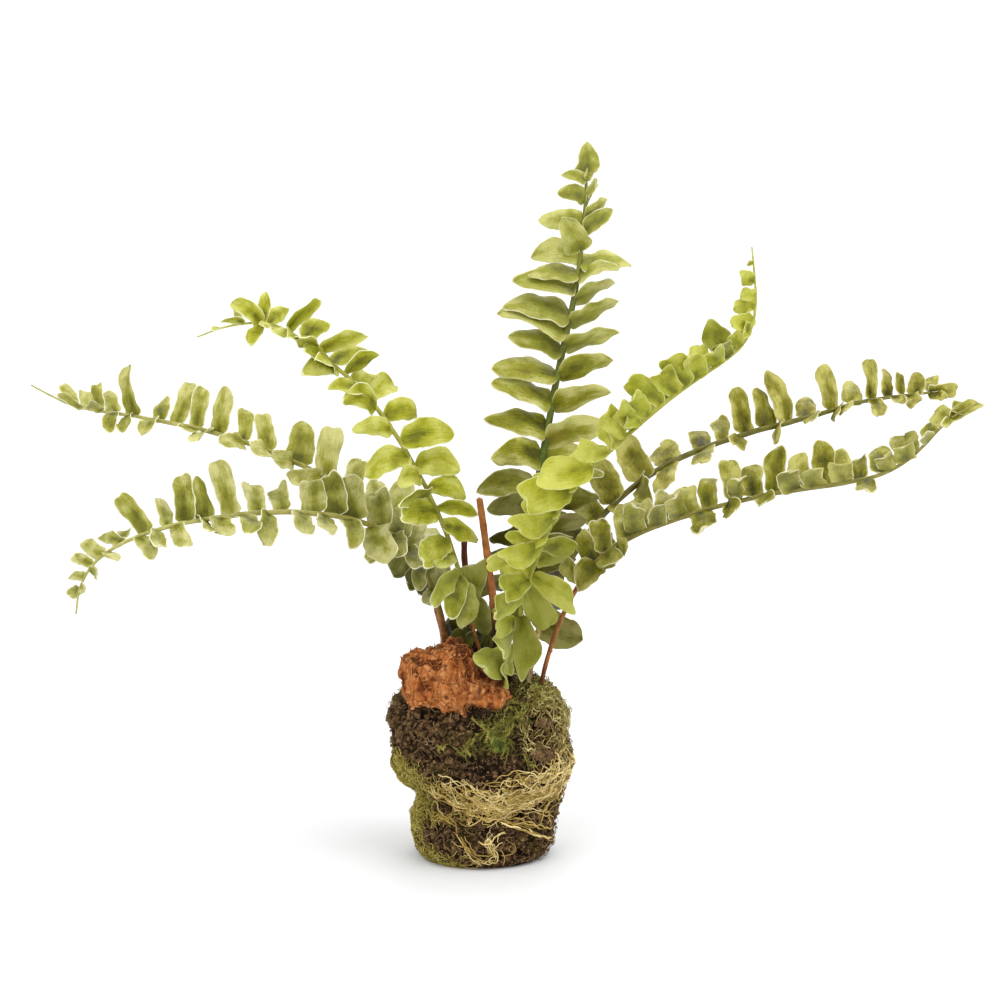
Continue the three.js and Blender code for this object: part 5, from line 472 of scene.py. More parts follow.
def tube(b, path, radii, sides=10, ref=(0, 0, 1), profile=None, ends=True, **att):
    """A tube along path with one radius per point and rounded ends. profile(angle) scales the radius."""
    path = np.asarray(path, float)
    n = len(path)
    t = unit(np.gradient(path, axis=0))
    s = np.zeros_like(path)
    r0 = np.asarray(ref, float)
    prev = unit(np.cross(t[0], r0))
    for i in range(n):
        prev = unit(prev - t[i] * (prev @ t[i]))
        s[i] = prev
    u = np.cross(t, s)
    w = 2 * np.pi * np.arange(sides) / sides
    pr = np.ones(sides) if profile is None else profile(w)
    radii = np.broadcast_to(np.asarray(radii, float), (n,))
    ring = path[:, None] + radii[:, None, None] * pr[None, :, None] * (np.cos(w)[None, :, None] * s[:, None] + np.sin(w)[None, :, None] * u[:, None])
    verts = ring.reshape(-1, 3)
    faces = [grid_faces(n, sides, True)]
    if ends:
        verts = np.vstack([verts, path[0] - t[0] * radii[0] * 0.6, path[-1] + t[-1] * radii[-1] * 0.6])
        k = np.arange(sides)
        a, z = n * sides, n * sides + 1
        faces.append(np.stack([np.full(sides, a), (k + 1) % sides, k], 1))
        faces.append(np.stack([np.full(sides, z), (n - 1) * sides + k, (n - 1) * sides + (k + 1) % sides], 1))
    full = {}
    for kk, vv in att.items():
        vv = np.asarray(vv, float)
        if vv.ndim == 1 and len(vv) == n:
            vv = np.repeat(vv, sides)
            if ends:
                vv = np.append(vv, [vv[0], vv[-1]])
        full[kk] = vv
    # faces out
    faces = [f[:, ::-1] for f in faces]
    b.add(verts, faces, **full)

def strands(b, C, R, sides=4, **att):
    """Many thin tubes at once: C (n, k, 3) centre lines, R (n, k) radii; each closes to a point at both ends."""
    n, k, _ = C.shape
    t = unit(np.gradient(C, axis=1))
    ref = unit(rng.randn(n, 1, 3))
    s = unit(np.cross(t, ref))
    u = np.cross(t, s)
    w = 2 * np.pi * np.arange(sides) / sides
    ring = C[:, :, None] + R[:, :, None, None] * (np.cos(w)[None, None, :, None] * s[:, :, None] + np.sin(w)[None, None, :, None] * u[:, :, None])
    inner = ring.reshape(n, -1, 3)
    tips = np.stack([C[:, 0] - t[:, 0] * R[:, :1] * 0.8, C[:, -1] + t[:, -1] * R[:, -1:] * 0.8], 1)
    V = np.concatenate([inner, tips], 1)
    per = k * sides + 2
    q = grid_faces(k, sides, True)[:, ::-1]
    kk = np.arange(sides)
    a = np.stack([np.full(sides, k * sides), (kk + 1) % sides, kk], 1)[:, ::-1]
    z = np.stack([np.full(sides, k * sides + 1), (k - 1) * sides + kk, (k - 1) * sides + (kk + 1) % sides], 1)[:, ::-1]
    off = (np.arange(n) * per)[:, None, None]
    Q = (q[None] + off).reshape(-1, 4)
    T = (np.concatenate([a, z])[None] + off).reshape(-1, 3)
    full = {kx: np.repeat(np.asarray(vx, float), per) for kx, vx in att.items()}
    b.add(V.reshape(-1, 3), [Q, T], **full)

# ---------------------------------------------------------------- materials
def mat(name):
    m = bpy.data.materials.new(name)
    m.use_nodes = True
    nt = m.node_tree
    nt.nodes.clear()
    out = nt.nodes.new("ShaderNodeOutputMaterial")
    bs = nt.nodes.new("ShaderNodeBsdfPrincipled")
    nt.links.new(bs.outputs[0], out.inputs[0])
    return m, nt, bs, out

def node(nt, kind, **kw):
    n = nt.nodes.new(kind)
    for k, v in kw.items():
        if k.startswith("in_"):
            n.inputs[k[3:].replace("_", " ")].default_value = v
        else:
            setattr(n, k, v)
    return n

def attr(nt, name):
    return node(nt, "ShaderNodeAttribute", attribute_name=name).outputs["Fac"]

def noise_tex(nt, scale, detail=4.0, rough=0.55, vec=None, distortion=0.0):
    n = node(nt, "ShaderNodeTexNoise")
    n.inputs["Scale"].default_value = scale
    n.inputs["Detail"].default_value = detail
    n.inputs["Roughness"].default_value = rough
    n.inputs["Distortion"].default_value = distortion
    if vec is None:
        vec = node(nt, "ShaderNodeTexCoord").outputs["Object"]
    nt.links.new(vec, n.inputs["Vector"])
    return n.outputs["Fac"]

def ramp(nt, fac, stops):
    r = node(nt, "ShaderNodeValToRGB")
    e = r.color_ramp.elements
    while len(e) < len(stops):
        e.new(0.5)
    for el, (p, c) in zip(e, stops):
        el.position = p
        el.color = (*c, 1) if len(c) == 3 else c
    nt.links.new(fac, r.inputs[0])
    return r.outputs["Color"]

def math_(nt, op, a, b=None, clamp=False):
    n = node(nt, "ShaderNodeMath", operation=op, use_clamp=clamp)
    for i, x in enumerate((a, b)):
        if x is None:
            continue
        if isinstance(x, (int, float)):
            n.inputs[i].default_value = x
        else:
            nt.links.new(x, n.inputs[i])
    return n.outputs[0]

def mix(nt, fac, a, b, blend="MIX"):
    n = node(nt, "ShaderNodeMix", data_type="RGBA", blend_type=blend)
    for key, x in ((0, fac), (6, a), (7, b)):
        if isinstance(x, (int, float)):
            n.inputs[key].default_value = x
        elif isinstance(x, tuple):
            n.inputs[key].default_value = (*x, 1)
        else:
            nt.links.new(x, n.inputs[key])
    return n.outputs[2]

def map_range(nt, x, a, b, c=0.0, d=1.0):
    n = node(nt, "ShaderNodeMapRange")
    n.inputs["From Min"].default_value = a
    n.inputs["From Max"].default_value = b
    n.inputs["To Min"].default_value = c
    n.inputs["To Max"].default_value = d
    nt.links.new(x, n.inputs["Value"])
    return n.outputs["Result"]

def bump(nt, bs, height, strength, distance):
    n = node(nt, "ShaderNodeBump")
    n.inputs["Strength"].default_value = strength
    n.inputs["Distance"].default_value = distance
    nt.links.new(height, n.inputs["Height"])
    nt.links.new(n.outputs[0], bs.inputs["Normal"])
    return n

def srgb(r, g, b):
    def f(c):
        c /= 255.0
        return c / 12.92 if c <= 0.04045 else ((c + 0.055) / 1.055) ** 2.4
    return (f(r), f(g), f(b))

def leaf_material(name, mid, bright, dark, rim, brown=0.0, under=(0.46, 0.46, 0.12), under_mix=0.22, rim_share=1.0):
    m, nt, bs, out = mat(name)
    u, v, edge, rnd = attr(nt, "u"), attr(nt, "v"), attr(nt, "edge"), attr(nt, "rnd")
    n1 = noise_tex(nt, 110.0, 1.0, 0.5, distortion=0.3)
    n2 = noise_tex(nt, 460.0, 3.0, 0.6, distortion=0.6)
    n3 = noise_tex(nt, 1900.0, 3.0, 0.6)
    # broad soft patches and lengthwise streaks that belong to each leaflet
    def leafwise(su, sv, scale, detail):
        c = node(nt, "ShaderNodeCombineXYZ")
        nt.links.new(math_(nt, "ADD", math_(nt, "MULTIPLY", u, su), math_(nt, "MULTIPLY", rnd, 37.0)), c.inputs[0])
        nt.links.new(math_(nt, "MULTIPLY", v, sv), c.inputs[1])
        nt.links.new(math_(nt, "MULTIPLY", rnd, 91.0), c.inputs[2])
        return noise_tex(nt, scale, detail, 0.5, vec=c.outputs[0])
    patch = leafwise(2.6, 0.9, 1.0, 1.0)
    streak = leafwise(2.0, 4.5, 2.2, 3.0)
    # painted shade: darker towards the middle of the foot of each leaflet, where the blade cups; lighter towards its
    # tip, and mottled all over
    cupped_centre_shade = math_(nt, "MULTIPLY", map_range(nt, math_(nt, "ABSOLUTE", v), 0.95, 0.1), map_range(nt, u, 0.95, 0.15))
    def about(x, k):
        return math_(nt, "MULTIPLY", math_(nt, "SUBTRACT", x, 0.5), k)
    depth = math_(nt, "ADD", math_(nt, "MULTIPLY", cupped_centre_shade, 0.50), 0.25)
    for x, k in ((patch, 0.90), (streak, 0.50), (n1, 0.50), (n2, 0.42), (n3, 0.38), (rnd, 0.32)):
        depth = math_(nt, "ADD", depth, about(x, k))
    col = ramp(nt, depth, [(0.10, bright), (0.46, mid), (0.90, dark)])
    # the lower side is paler and duller
    col = mix(nt, math_(nt, "MULTIPLY", attr(nt, "under"), under_mix), col, under)
    # pale leaflets, and dark leaflets whose dark is painted shade near the crown, partly older leaflets
    col = mix(nt, math_(nt, "MULTIPLY", attr(nt, "pale"), 0.7), col, srgb(200, 204, 118))
    col = mix(nt, math_(nt, "MULTIPLY", attr(nt, "dk"), 1.0), col, mix(nt, 1.0, col, (0.22, 0.215, 0.10), "MULTIPLY"))
    if brown > 0:
        spot = math_(nt, "MULTIPLY", map_range(nt, noise_tex(nt, 60.0, 3.0, 0.6), 0.60, 0.72), brown)
        col = mix(nt, spot, col, srgb(132, 104, 44))
    # small pale flecks: painted glints, fewer on leaflets darkened with painted shade
    glint_fleck = math_(nt, "MULTIPLY", map_range(nt, n3, 0.58, 0.76, 0.0, 0.26), map_range(nt, n2, 0.62, 0.42))
    col = mix(nt, math_(nt, "MULTIPLY", glint_fleck, map_range(nt, attr(nt, "dk"), 0.0, 1.0, 1.0, 0.3)), col, srgb(232, 229, 170))
    # thin pale rim, worn away in places
    rimf = map_range(nt, edge, 0.50, 0.22)
    rimf = math_(nt, "MULTIPLY", rimf, map_range(nt, math_(nt, "ADD", n1, about(rnd, 0.35)), 0.38, 0.58, 0.15, 1.0))
    # the rim fades on leaflets darkened with painted shade
    rimf = math_(nt, "MULTIPLY", rimf, map_range(nt, attr(nt, "dk"), 0.0, 1.0, rim_share, rim_share * 0.4))
    col = mix(nt, rimf, col, rim)
    nt.links.new(col, bs.inputs["Base Color"])
    rough = map_range(nt, n2, 0.3, 0.7, 0.32, 0.52)
    nt.links.new(rough, bs.inputs["Roughness"])
    bs.inputs["Specular IOR Level"].default_value = 0.18
    h = math_(nt, "ADD", math_(nt, "MULTIPLY", n2, 1.0), math_(nt, "MULTIPLY", n3, 0.35))
    bm = bump(nt, bs, h, 0.4, 0.0006)
    # thin leaf: some light comes through it
    tr = node(nt, "ShaderNodeBsdfTranslucent")
    warm = mix(nt, 1.0, col, (1.0, 1.0, 0.5), "MULTIPLY")
    nt.links.new(warm, tr.inputs["Color"])
    nt.links.new(bm.outputs[0], tr.inputs["Normal"])
    ms = node(nt, "ShaderNodeMixShader")
    ms.inputs[0].default_value = 0.30
    nt.links.new(bs.outputs[0], ms.inputs[1])
    nt.links.new(tr.outputs[0], ms.inputs[2])
    nt.links.new(ms.outputs[0], out.inputs[0])
    return m

def strand_material(name, stops, rough=0.75, dirt=0.3, dirt_colour=(0.05, 0.035, 0.02)):
    m, nt, bs, out = mat(name)
    rnd = attr(nt, "rnd")
    n1 = noise_tex(nt, 90.0, 4.0, 0.6)
    n2 = noise_tex(nt, 900.0, 3.0, 0.6)
    f = math_(nt, "ADD", math_(nt, "MULTIPLY", rnd, 0.6), math_(nt, "MULTIPLY", n1, 0.5))
    col = ramp(nt, f, stops)
    col = mix(nt, map_range(nt, n2, 0.5, 0.75, 0.0, dirt), col, dirt_colour)
    nt.links.new(col, bs.inputs["Base Color"])
    bs.inputs["Roughness"].default_value = rough
    bs.inputs["Specular IOR Level"].default_value = 0.25
    bump(nt, bs, n2, 0.4, 0.0003)
    return m

def earth_material(name, stops, fine=700.0, rough=0.95, strength=0.8, moss=None, pit=None, drawn=1.0, detail=4.0, low_to=0.62):
    m, nt, bs, out = mat(name)
    grain = node(nt, "ShaderNodeMapping")
    nt.links.new(node(nt, "ShaderNodeTexCoord").outputs["Object"], grain.inputs["Vector"])
    grain.inputs["Scale"].default_value = (1.0, 1.0, drawn)
    n0 = noise_tex(nt, 45.0, 4.0, 0.6)
    n1 = noise_tex(nt, 190.0, 5.0, 0.64, vec=grain.outputs[0])
    n2 = noise_tex(nt, fine, detail, 0.62, vec=grain.outputs[0])
    vo = node(nt, "ShaderNodeTexVoronoi", feature="F1")
    vo.inputs["Scale"].default_value = fine * 0.8
    nt.links.new(node(nt, "ShaderNodeTexCoord").outputs["Object"], vo.inputs["Vector"])
    f = math_(nt, "ADD", math_(nt, "MULTIPLY", n1, 0.6), math_(nt, "MULTIPLY", n2, 0.65))
    f = math_(nt, "SUBTRACT", f, 0.125)
    col = ramp(nt, f, stops)
    col = mix(nt, map_range(nt, n0, 0.38, 0.62, 0.0, 0.5), col, mix(nt, 0.5, col, stops[0][1]))
    # painted highlight: the convex points of the surface are lighter
    geo = node(nt, "ShaderNodeNewGeometry")
    col = mix(nt, map_range(nt, geo.outputs["Pointiness"], 0.5, 0.62, 0.0, 0.6), col, stops[-1][1])
    # low places are dark: painted shade in the hollows and crevices
    low = attr(nt, "low")
    col = mix(nt, map_range(nt, low, 0.16, low_to, 0.0, 0.9), col, pit if pit is not None else stops[0][1])
    # painted glints: tiny light specks
    soil_glint = noise_tex(nt, 2300.0, 2.0, 0.5)
    col = mix(nt, map_range(nt, soil_glint, 0.66, 0.76, 0.0, 0.45), col, mix(nt, 0.5, stops[-1][1], srgb(214, 196, 164)))
    if moss is not None:
        mf = attr(nt, "moss")
        mc = ramp(nt, noise_tex(nt, 400.0, 5.0, 0.7), [(0.3, moss[0]), (0.7, moss[1])])
        mfn = math_(nt, "MULTIPLY", mf, map_range(nt, n1, 0.3, 0.55, 0.4, 1.0), clamp=True)
        col = mix(nt, mfn, col, mc)
    nt.links.new(col, bs.inputs["Base Color"])
    bs.inputs["Roughness"].default_value = rough
    bs.inputs["Specular IOR Level"].default_value = 0.15
    h = math_(nt, "ADD", math_(nt, "MULTIPLY", n2, 0.8), math_(nt, "MULTIPLY", vo.outputs["Distance"], 0.6))
    bump(nt, bs, h, strength, 0.0009)
    return m

LEAF_MATS = [
    leaf_material("leaf_1", srgb(162, 160, 60), srgb(212, 209, 140), srgb(94, 96, 14), srgb(242, 239, 208)),
    leaf_material("leaf_2", srgb(156, 155, 58), srgb(208, 204, 140), srgb(90, 92, 12), srgb(242, 238, 210)),
    leaf_material("leaf_3", srgb(174, 175, 44), srgb(216, 216, 120), srgb(102, 104, 14), srgb(240, 240, 200)),
    leaf_material("leaf_4", srgb(156, 155, 42), srgb(212, 209, 134), srgb(84, 84, 12), srgb(242, 238, 206), 0.4),
    leaf_material("leaf_5", srgb(182, 184, 50), srgb(212, 212, 104), srgb(112, 114, 18), srgb(236, 236, 176), 0.0, (0.54, 0.56, 0.10), 0.15, 0.6),
    leaf_material("leaf_6", srgb(136, 131, 28), srgb(200, 194, 110), srgb(62, 61, 8), srgb(240, 234, 202), 0.4, rim_share=0.9),
    leaf_material("leaf_7", srgb(141, 138, 30), srgb(200, 195, 110), srgb(64, 66, 10), srgb(238, 232, 200), rim_share=0.9),
]
def stalk_material(name, lo, hi, top=None):
    m, nt, bs, out = mat(name)
    n1 = noise_tex(nt, 300.0, 5.0, 0.65)
    n2 = noise_tex(nt, 1600.0, 3.0, 0.6)
    col = ramp(nt, n1, [(0.3, lo), (0.7, hi)])
    if top is not None:
        col = mix(nt, attr(nt, "top"), col, mix(nt, map_range(nt, n1, 0.35, 0.65), top[0], top[1]))
        col = mix(nt, attr(nt, "foot"), col, ramp(nt, n1, [(0.35, srgb(104, 62, 26)), (0.65, srgb(168, 112, 58))]))
    col = mix(nt, map_range(nt, n2, 0.55, 0.8, 0.0, 0.35), col, srgb(70, 42, 20))
    # earth clings to the foot, and painted shade darkens it where the stalks crowd into the crown
    col = mix(nt, attr(nt, "grime"), col, srgb(30, 19, 8))
    nt.links.new(col, bs.inputs["Base Color"])
    bs.inputs["Roughness"].default_value = 0.5
    bs.inputs["Specular IOR Level"].default_value = 0.22
    bump(nt, bs, math_(nt, "ADD", n1, math_(nt, "MULTIPLY", n2, 0.5)), 0.5, 0.0004)
    return m
STALK_MAT = stalk_material("stalk_brown", srgb(108, 60, 24), srgb(178, 114, 56))
RED_MAT = stalk_material("stalk_dark_red", srgb(74, 34, 18), srgb(120, 62, 34))
PALE_MAT = stalk_material("stalk_pale", srgb(156, 122, 66), srgb(214, 188, 132))
RACHIS_MATS = [stalk_material("midrib_%d" % (i + 1), srgb(*a), srgb(*b), (srgb(*c), srgb(*d))) for i, (a, b, c, d) in enumerate([
    ((118, 110, 48), (150, 142, 70), (150, 146, 74), (178, 174, 104)),
    ((118, 110, 48), (150, 142, 70), (150, 146, 74), (178, 174, 104)),
    ((120, 118, 40), (156, 152, 62), (150, 150, 60), (180, 182, 88)),
    ((34, 62, 14), (70, 94, 26), (84, 92, 26), (124, 126, 48)),
    ((120, 122, 38), (156, 156, 58), (150, 150, 60), (176, 176, 80)),
    ((70, 68, 20), (104, 96, 34), (84, 84, 26), (122, 116, 48)),
    ((104, 98, 42), (140, 130, 62), (112, 108, 48), (150, 144, 74))])]
SOIL_MAT = earth_material("soil", [(0.36, srgb(18, 8, 2)), (0.5, srgb(60, 38, 20)), (0.64, srgb(138, 108, 72))], fine=560.0, moss=(srgb(40, 36, 8), srgb(112, 102, 36)))
CRUMB_MAT = earth_material("soil_crumbs", [(0.36, srgb(20, 10, 2)), (0.5, srgb(64, 41, 22)), (0.64, srgb(154, 122, 84))], fine=700.0)
CHUNK_MAT = earth_material("bark_fibre", [(0.30, srgb(106, 48, 16)), (0.48, srgb(164, 94, 42)), (0.68, srgb(210, 150, 94))], fine=360.0, strength=0.6, pit=srgb(84, 36, 12), drawn=0.5, detail=3.0)
CHUNK_FIBRE_MAT = strand_material("bark_fibre_threads", [(0.2, srgb(110, 56, 20)), (0.6, srgb(190, 112, 52)), (0.9, srgb(220, 160, 100))])
DARK_FIBRE_MAT = strand_material("dark_threads", [(0.2, srgb(22, 14, 6)), (0.6, srgb(52, 38, 18)), (0.9, srgb(96, 76, 40))])
ROOT_MAT = strand_material("root_fibre", [(0.15, srgb(108, 82, 26)), (0.5, srgb(192, 162, 82)), (0.85, srgb(246, 226, 162))], rough=0.6, dirt=0.38)
MOSS_FRONT_MAT = strand_material("moss_dark", [(0.15, srgb(20, 17, 3)), (0.5, srgb(64, 58, 14)), (0.9, srgb(150, 142, 62))])
SPRIG_MAT = strand_material("moss_sprig", [(0.2, srgb(54, 52, 8)), (0.55, srgb(120, 114, 38)), (0.9, srgb(184, 176, 88))], dirt=0.15)
MOSS_RIGHT_MAT = strand_material("moss_straw", [(0.15, srgb(42, 33, 4)), (0.5, srgb(136, 114, 44)), (0.9, srgb(240, 224, 158))])
TUFT_MAT = strand_material("moss_tuft", [(0.15, srgb(66, 60, 12)), (0.5, srgb(150, 142, 58)), (0.9, srgb(216, 208, 132))])
TEAL_MAT = strand_material("moss_shoot", [(0.15, srgb(34, 46, 8)), (0.5, srgb(84, 100, 32)), (0.9, srgb(140, 150, 68))])
MOSS_LEFT_MAT = strand_material("moss_olive", [(0.15, srgb(80, 70, 12)), (0.5, srgb(156, 140, 54)), (0.9, srgb(212, 198, 110))])

# ---------------------------------------------------------------- leaves
US = np.array([0.0, 0.03, 0.07, 0.11, 0.16, 0.22, 0.28, 0.34, 0.40, 0.46, 0.52, 0.58, 0.64, 0.70, 0.76, 0.81, 0.86, 0.90, 0.935, 0.96, 0.98, 0.993, 1.0])
VS = np.array([-1.0, -0.93, -0.82, -0.62, -0.38, -0.16, -0.05, 0.05, 0.16, 0.38, 0.62, 0.82, 0.93, 1.0])
THICK = 0.34

def leaflet(b, row, r, upright):
    """One leaflet: base, tip, side direction, width, then how blunt its tip is, how much it widens like a fan, how dark
    (painted shade near the crown, partly age) and how pale.
    """
    B, T, side, W = np.array(row[0:3]), np.array(row[3:6]), np.array(row[6:9]), row[9]
    blunt, fan, dark, pale = row[10:14]
    low = min(1.0, max(0.0, (130 - B[2]) / 10))
    # painted shade: leaflets near the crown, and low on fronds 4 and 5, are made darker; partly older leaflets too
    inner = min(1.0, max(0.0, (95 - abs(B[0])) / 40))
    if upright in (1, 2, 6, 7):
        dark = min(1.0, dark + 0.14 * inner)
    if upright == 4:
        W = W * (0.80 if T[2] > 290 else 1.10)
        blunt = 0.0 if T[2] > 290 else blunt
        pale = min(1.0, pale + 0.28 * min(1.0, max(0.0, (B[2] - 185) / 40)))
        dark = min(1.0, dark + 0.10 * min(1.0, max(0.0, (195 - B[2]) / 30)))
    else:
        W = W * (1 + (0.14 if upright == 5 else 0.06) * low)
    if upright == 5:
        dark = min(1.0, dark + (0.42 if T[0] > B[0] else 0.08) * min(1.0, max(0.0, (122 - B[2]) / 12)))
    ax = T - B
    L = np.linalg.norm(ax)
    ax = ax / L
    side = unit(side - ax * (side @ ax))
    nrm = np.cross(ax, side)
    u = US[:, None]
    v = VS[None, :]
    small = min(1.0, L / 14.0)
    # the cut end often runs out into a corner point on one side, and the foot is often drawn in
    corner = upright != 4 and r.uniform() < 0.72
    pointed = upright in (6, 7) and B[2] < 112
    if corner and upright in (1, 2, 6, 7):
        more, cut = r.uniform(0.1, 0.6), r.uniform(0.55, 0.9)
        if not pointed:
            fan, blunt = min(1.0, fan + more), max(blunt, cut)
    wedge = upright == 5 and B[2] < 205
    if wedge:
        fan, blunt = max(fan, 0.5), max(blunt, 0.75)
    # outline, a little different each side and each leaflet
    p = (2.0 + 4.2 * blunt) * r.uniform(0.85, 1.2)
    q = (0.80 - 0.36 * blunt) * r.uniform(0.9, 1.1)
    base = np.clip(US / r.uniform(0.09, 0.15), 0, 1)
    hb = (1 - (1 - base) ** 2.4) ** 0.62
    ht = (1 - np.clip((US - 0.30) / 0.70, 0, 1) ** p) ** q
    h = np.maximum(hb * ht, 0.0) * (1 - fan * 0.6 * (1 - np.clip(US / 0.85, 0, 1)))
    if upright in (3, 5):
        h = h * (1 - 0.32 * np.clip(1 - US / 0.42, 0, 1))
    ph = r.uniform(0, 6.28, 8)
    def wavy(k):
        return 1 + small * (0.06 * np.sin(2 * np.pi * 1.2 * US + ph[k]) + 0.032 * np.sin(2 * np.pi * 3.1 * US + ph[k + 1]) + 0.012 * np.sin(2 * np.pi * 7.1 * US + ph[k + 2]))
    ear = r.uniform(0.05, 0.22) * np.exp(-((US - 0.14) / 0.09) ** 2) * (1 - fan)
    ha = (h * wavy(0) + ear * hb * small) * W / 2
    hc = (h * wavy(3)) * W / 2
    ha[0] = hc[0] = min(0.35, W * 0.08)
    half = np.where(v > 0, ha[:, None], hc[:, None])
    # centre line: arch, sideways bend, curl at the tip
    arch = 0.05 * L * 4 * US * (1 - US) + r.uniform(-0.5, 0.5) * small * np.sin(2 * np.pi * US)
    sway = L * (0.035 * r.randn() + (0.13 * side[2] if upright in (3, 4) else 0.0)) * np.sin(np.pi * US) ** 0.9
    curl = r.uniform(-0.10, 0.07) * L * np.clip((US - 0.68) / 0.32, 0, 1) ** 2
    cen = B + ax * (L * US)[:, None] + nrm * (arch + curl)[:, None] + side * sway[:, None]
    # twist along the length
    tw = r.uniform(-0.25, 0.25) * (US - 0.4) + 0.12 * np.sin(2 * np.pi * US * 0.9 + ph[4])
    sv = side[None] * np.cos(tw)[:, None] + nrm[None] * np.sin(tw)[:, None]
    nv = nrm[None] * np.cos(tw)[:, None] - side[None] * np.sin(tw)[:, None]
    x = half * v
    # a blunt tip is cut off at a slant
    slant = r.uniform(-0.6, 0.6) * blunt
    sharp = (-1 if side[2] > 0 else 1) if upright == 3 else r.choice([-1, 1])
    k1, k2 = (r.uniform(0.45, 1.25), r.uniform(-0.15, 0.35)) if corner else (0.05, 0.05)
    if pointed:
        k1, k2 = 0.05, 0.05
    if wedge:
        k1, k2 = max(k1, 0.95), min(k2, 0.1)
    notch = np.where(v * sharp > 0, k1, k2) * min(1.0, 0.35 + blunt)
    along = slant * x * np.clip((u - 0.35) / 0.65, 0, 1) ** 1.5 + notch * half * np.abs(v) ** 2 * np.clip((u - 0.45) / 0.5, 0, 1) ** 2
    cup = (1 if r.uniform() < 0.25 + 0.4 * blunt else -1) * r.uniform(0.04, 0.14) * W
    z = cup * v ** 2 * (0.45 + 0.55 * np.sin(np.pi * np.clip(u * 0.8, 0, 1)))
    z = z + small * 0.05 * W * np.abs(v) ** 2 * np.sin(2 * np.pi * (r.uniform(1.5, 2.6) * u) + ph[5] + np.where(v > 0, 0, 2.1))
    z = z - 0.012 * W * np.exp(-(v / 0.12) ** 2) * np.sin(np.pi * u)
    P = cen[:, None] + sv[:, None] * x[..., None] + nv[:, None] * z[..., None] + ax[None, None] * along[..., None]
    # puckers
    pk = vnoise(P.reshape(-1, 3), 0.32, 3.0).reshape(P.shape[:2]) * 0.34 * small * (1 - np.abs(v) ** 6 * 0.4) * np.sin(np.pi * np.clip(u * 1.1, 0, 1))
    pk = pk + vnoise(P.reshape(-1, 3), 0.85, 5.0).reshape(P.shape[:2]) * 0.07 * small
    P = P + nv[:, None] * pk[..., None]
    du = np.gradient(P, axis=0)
    dv = np.gradient(P, axis=1)
    N = unit(np.cross(du, dv))
    if (N[5, 6] @ nrm) < 0:
        N = -N
    th = THICK * (0.75 + 0.25 * small) * (0.55 + 0.45 * (1 - np.abs(v) ** 4)) * np.ones_like(u)
    top = P + N * (th / 2)[..., None]
    bot = P - N * (th / 2)[..., None]
    # how far each point lies from the rim, then a closed shell: top, bottom and strips along its sides and both ends
    nu, nvv = P.shape[:2]
    edge = np.minimum((1 - np.abs(v)) * np.maximum(half, 0.3), (1 - u) * L * 0.8)
    edge = np.minimum(edge, u * L * 0.9 + 0.25)
    rim_idx = []
    V = np.concatenate([top.reshape(-1, 3), bot.reshape(-1, 3)])
    g = grid_faces(nu, nvv)
    n = nu * nvv
    f = [g, g[:, ::-1] + n]
    i = np.arange(nu - 1)
    l = i * nvv
    f.append(np.stack([l, l + nvv, l + nvv + n, l + n], 1))
    rr = i * nvv + nvv - 1
    f.append(np.stack([rr, rr + n, rr + nvv + n, rr + nvv], 1))
    j = np.arange(nvv - 1)
    f.append(np.stack([j, j + n, j + 1 + n, j + 1], 1))
    e = (nu - 1) * nvv + j
    f.append(np.stack([e, e + 1, e + 1 + n, e + n], 1))
    # orientation: the first grid face must face along N on the top
    a, bb, c = V[g[20][0]], V[g[20][1]], V[g[20][2]]
    if np.cross(bb - a, c - a) @ N.reshape(-1, 3)[g[20][0]] < 0:
        f = [q_[:, ::-1] for q_ in f]
    uu = np.tile(np.broadcast_to(u, P.shape[:2]).ravel(), 2)
    vv = np.tile(np.broadcast_to(v, P.shape[:2]).ravel(), 2)
    ee = np.tile(edge.ravel(), 2)
    und = np.repeat([0.0, 1.0], n)
    b.add(V, f, u=uu, v=vv, edge=ee, rnd=r.uniform(0, 1), dk=dark, pale=pale, under=und)

def groove(w):
    return 1 - 0.30 * np.exp(-(((w - np.pi / 2 + np.pi) % (2 * np.pi) - np.pi) / 0.42) ** 2) + 0.06 * np.cos(4 * w)

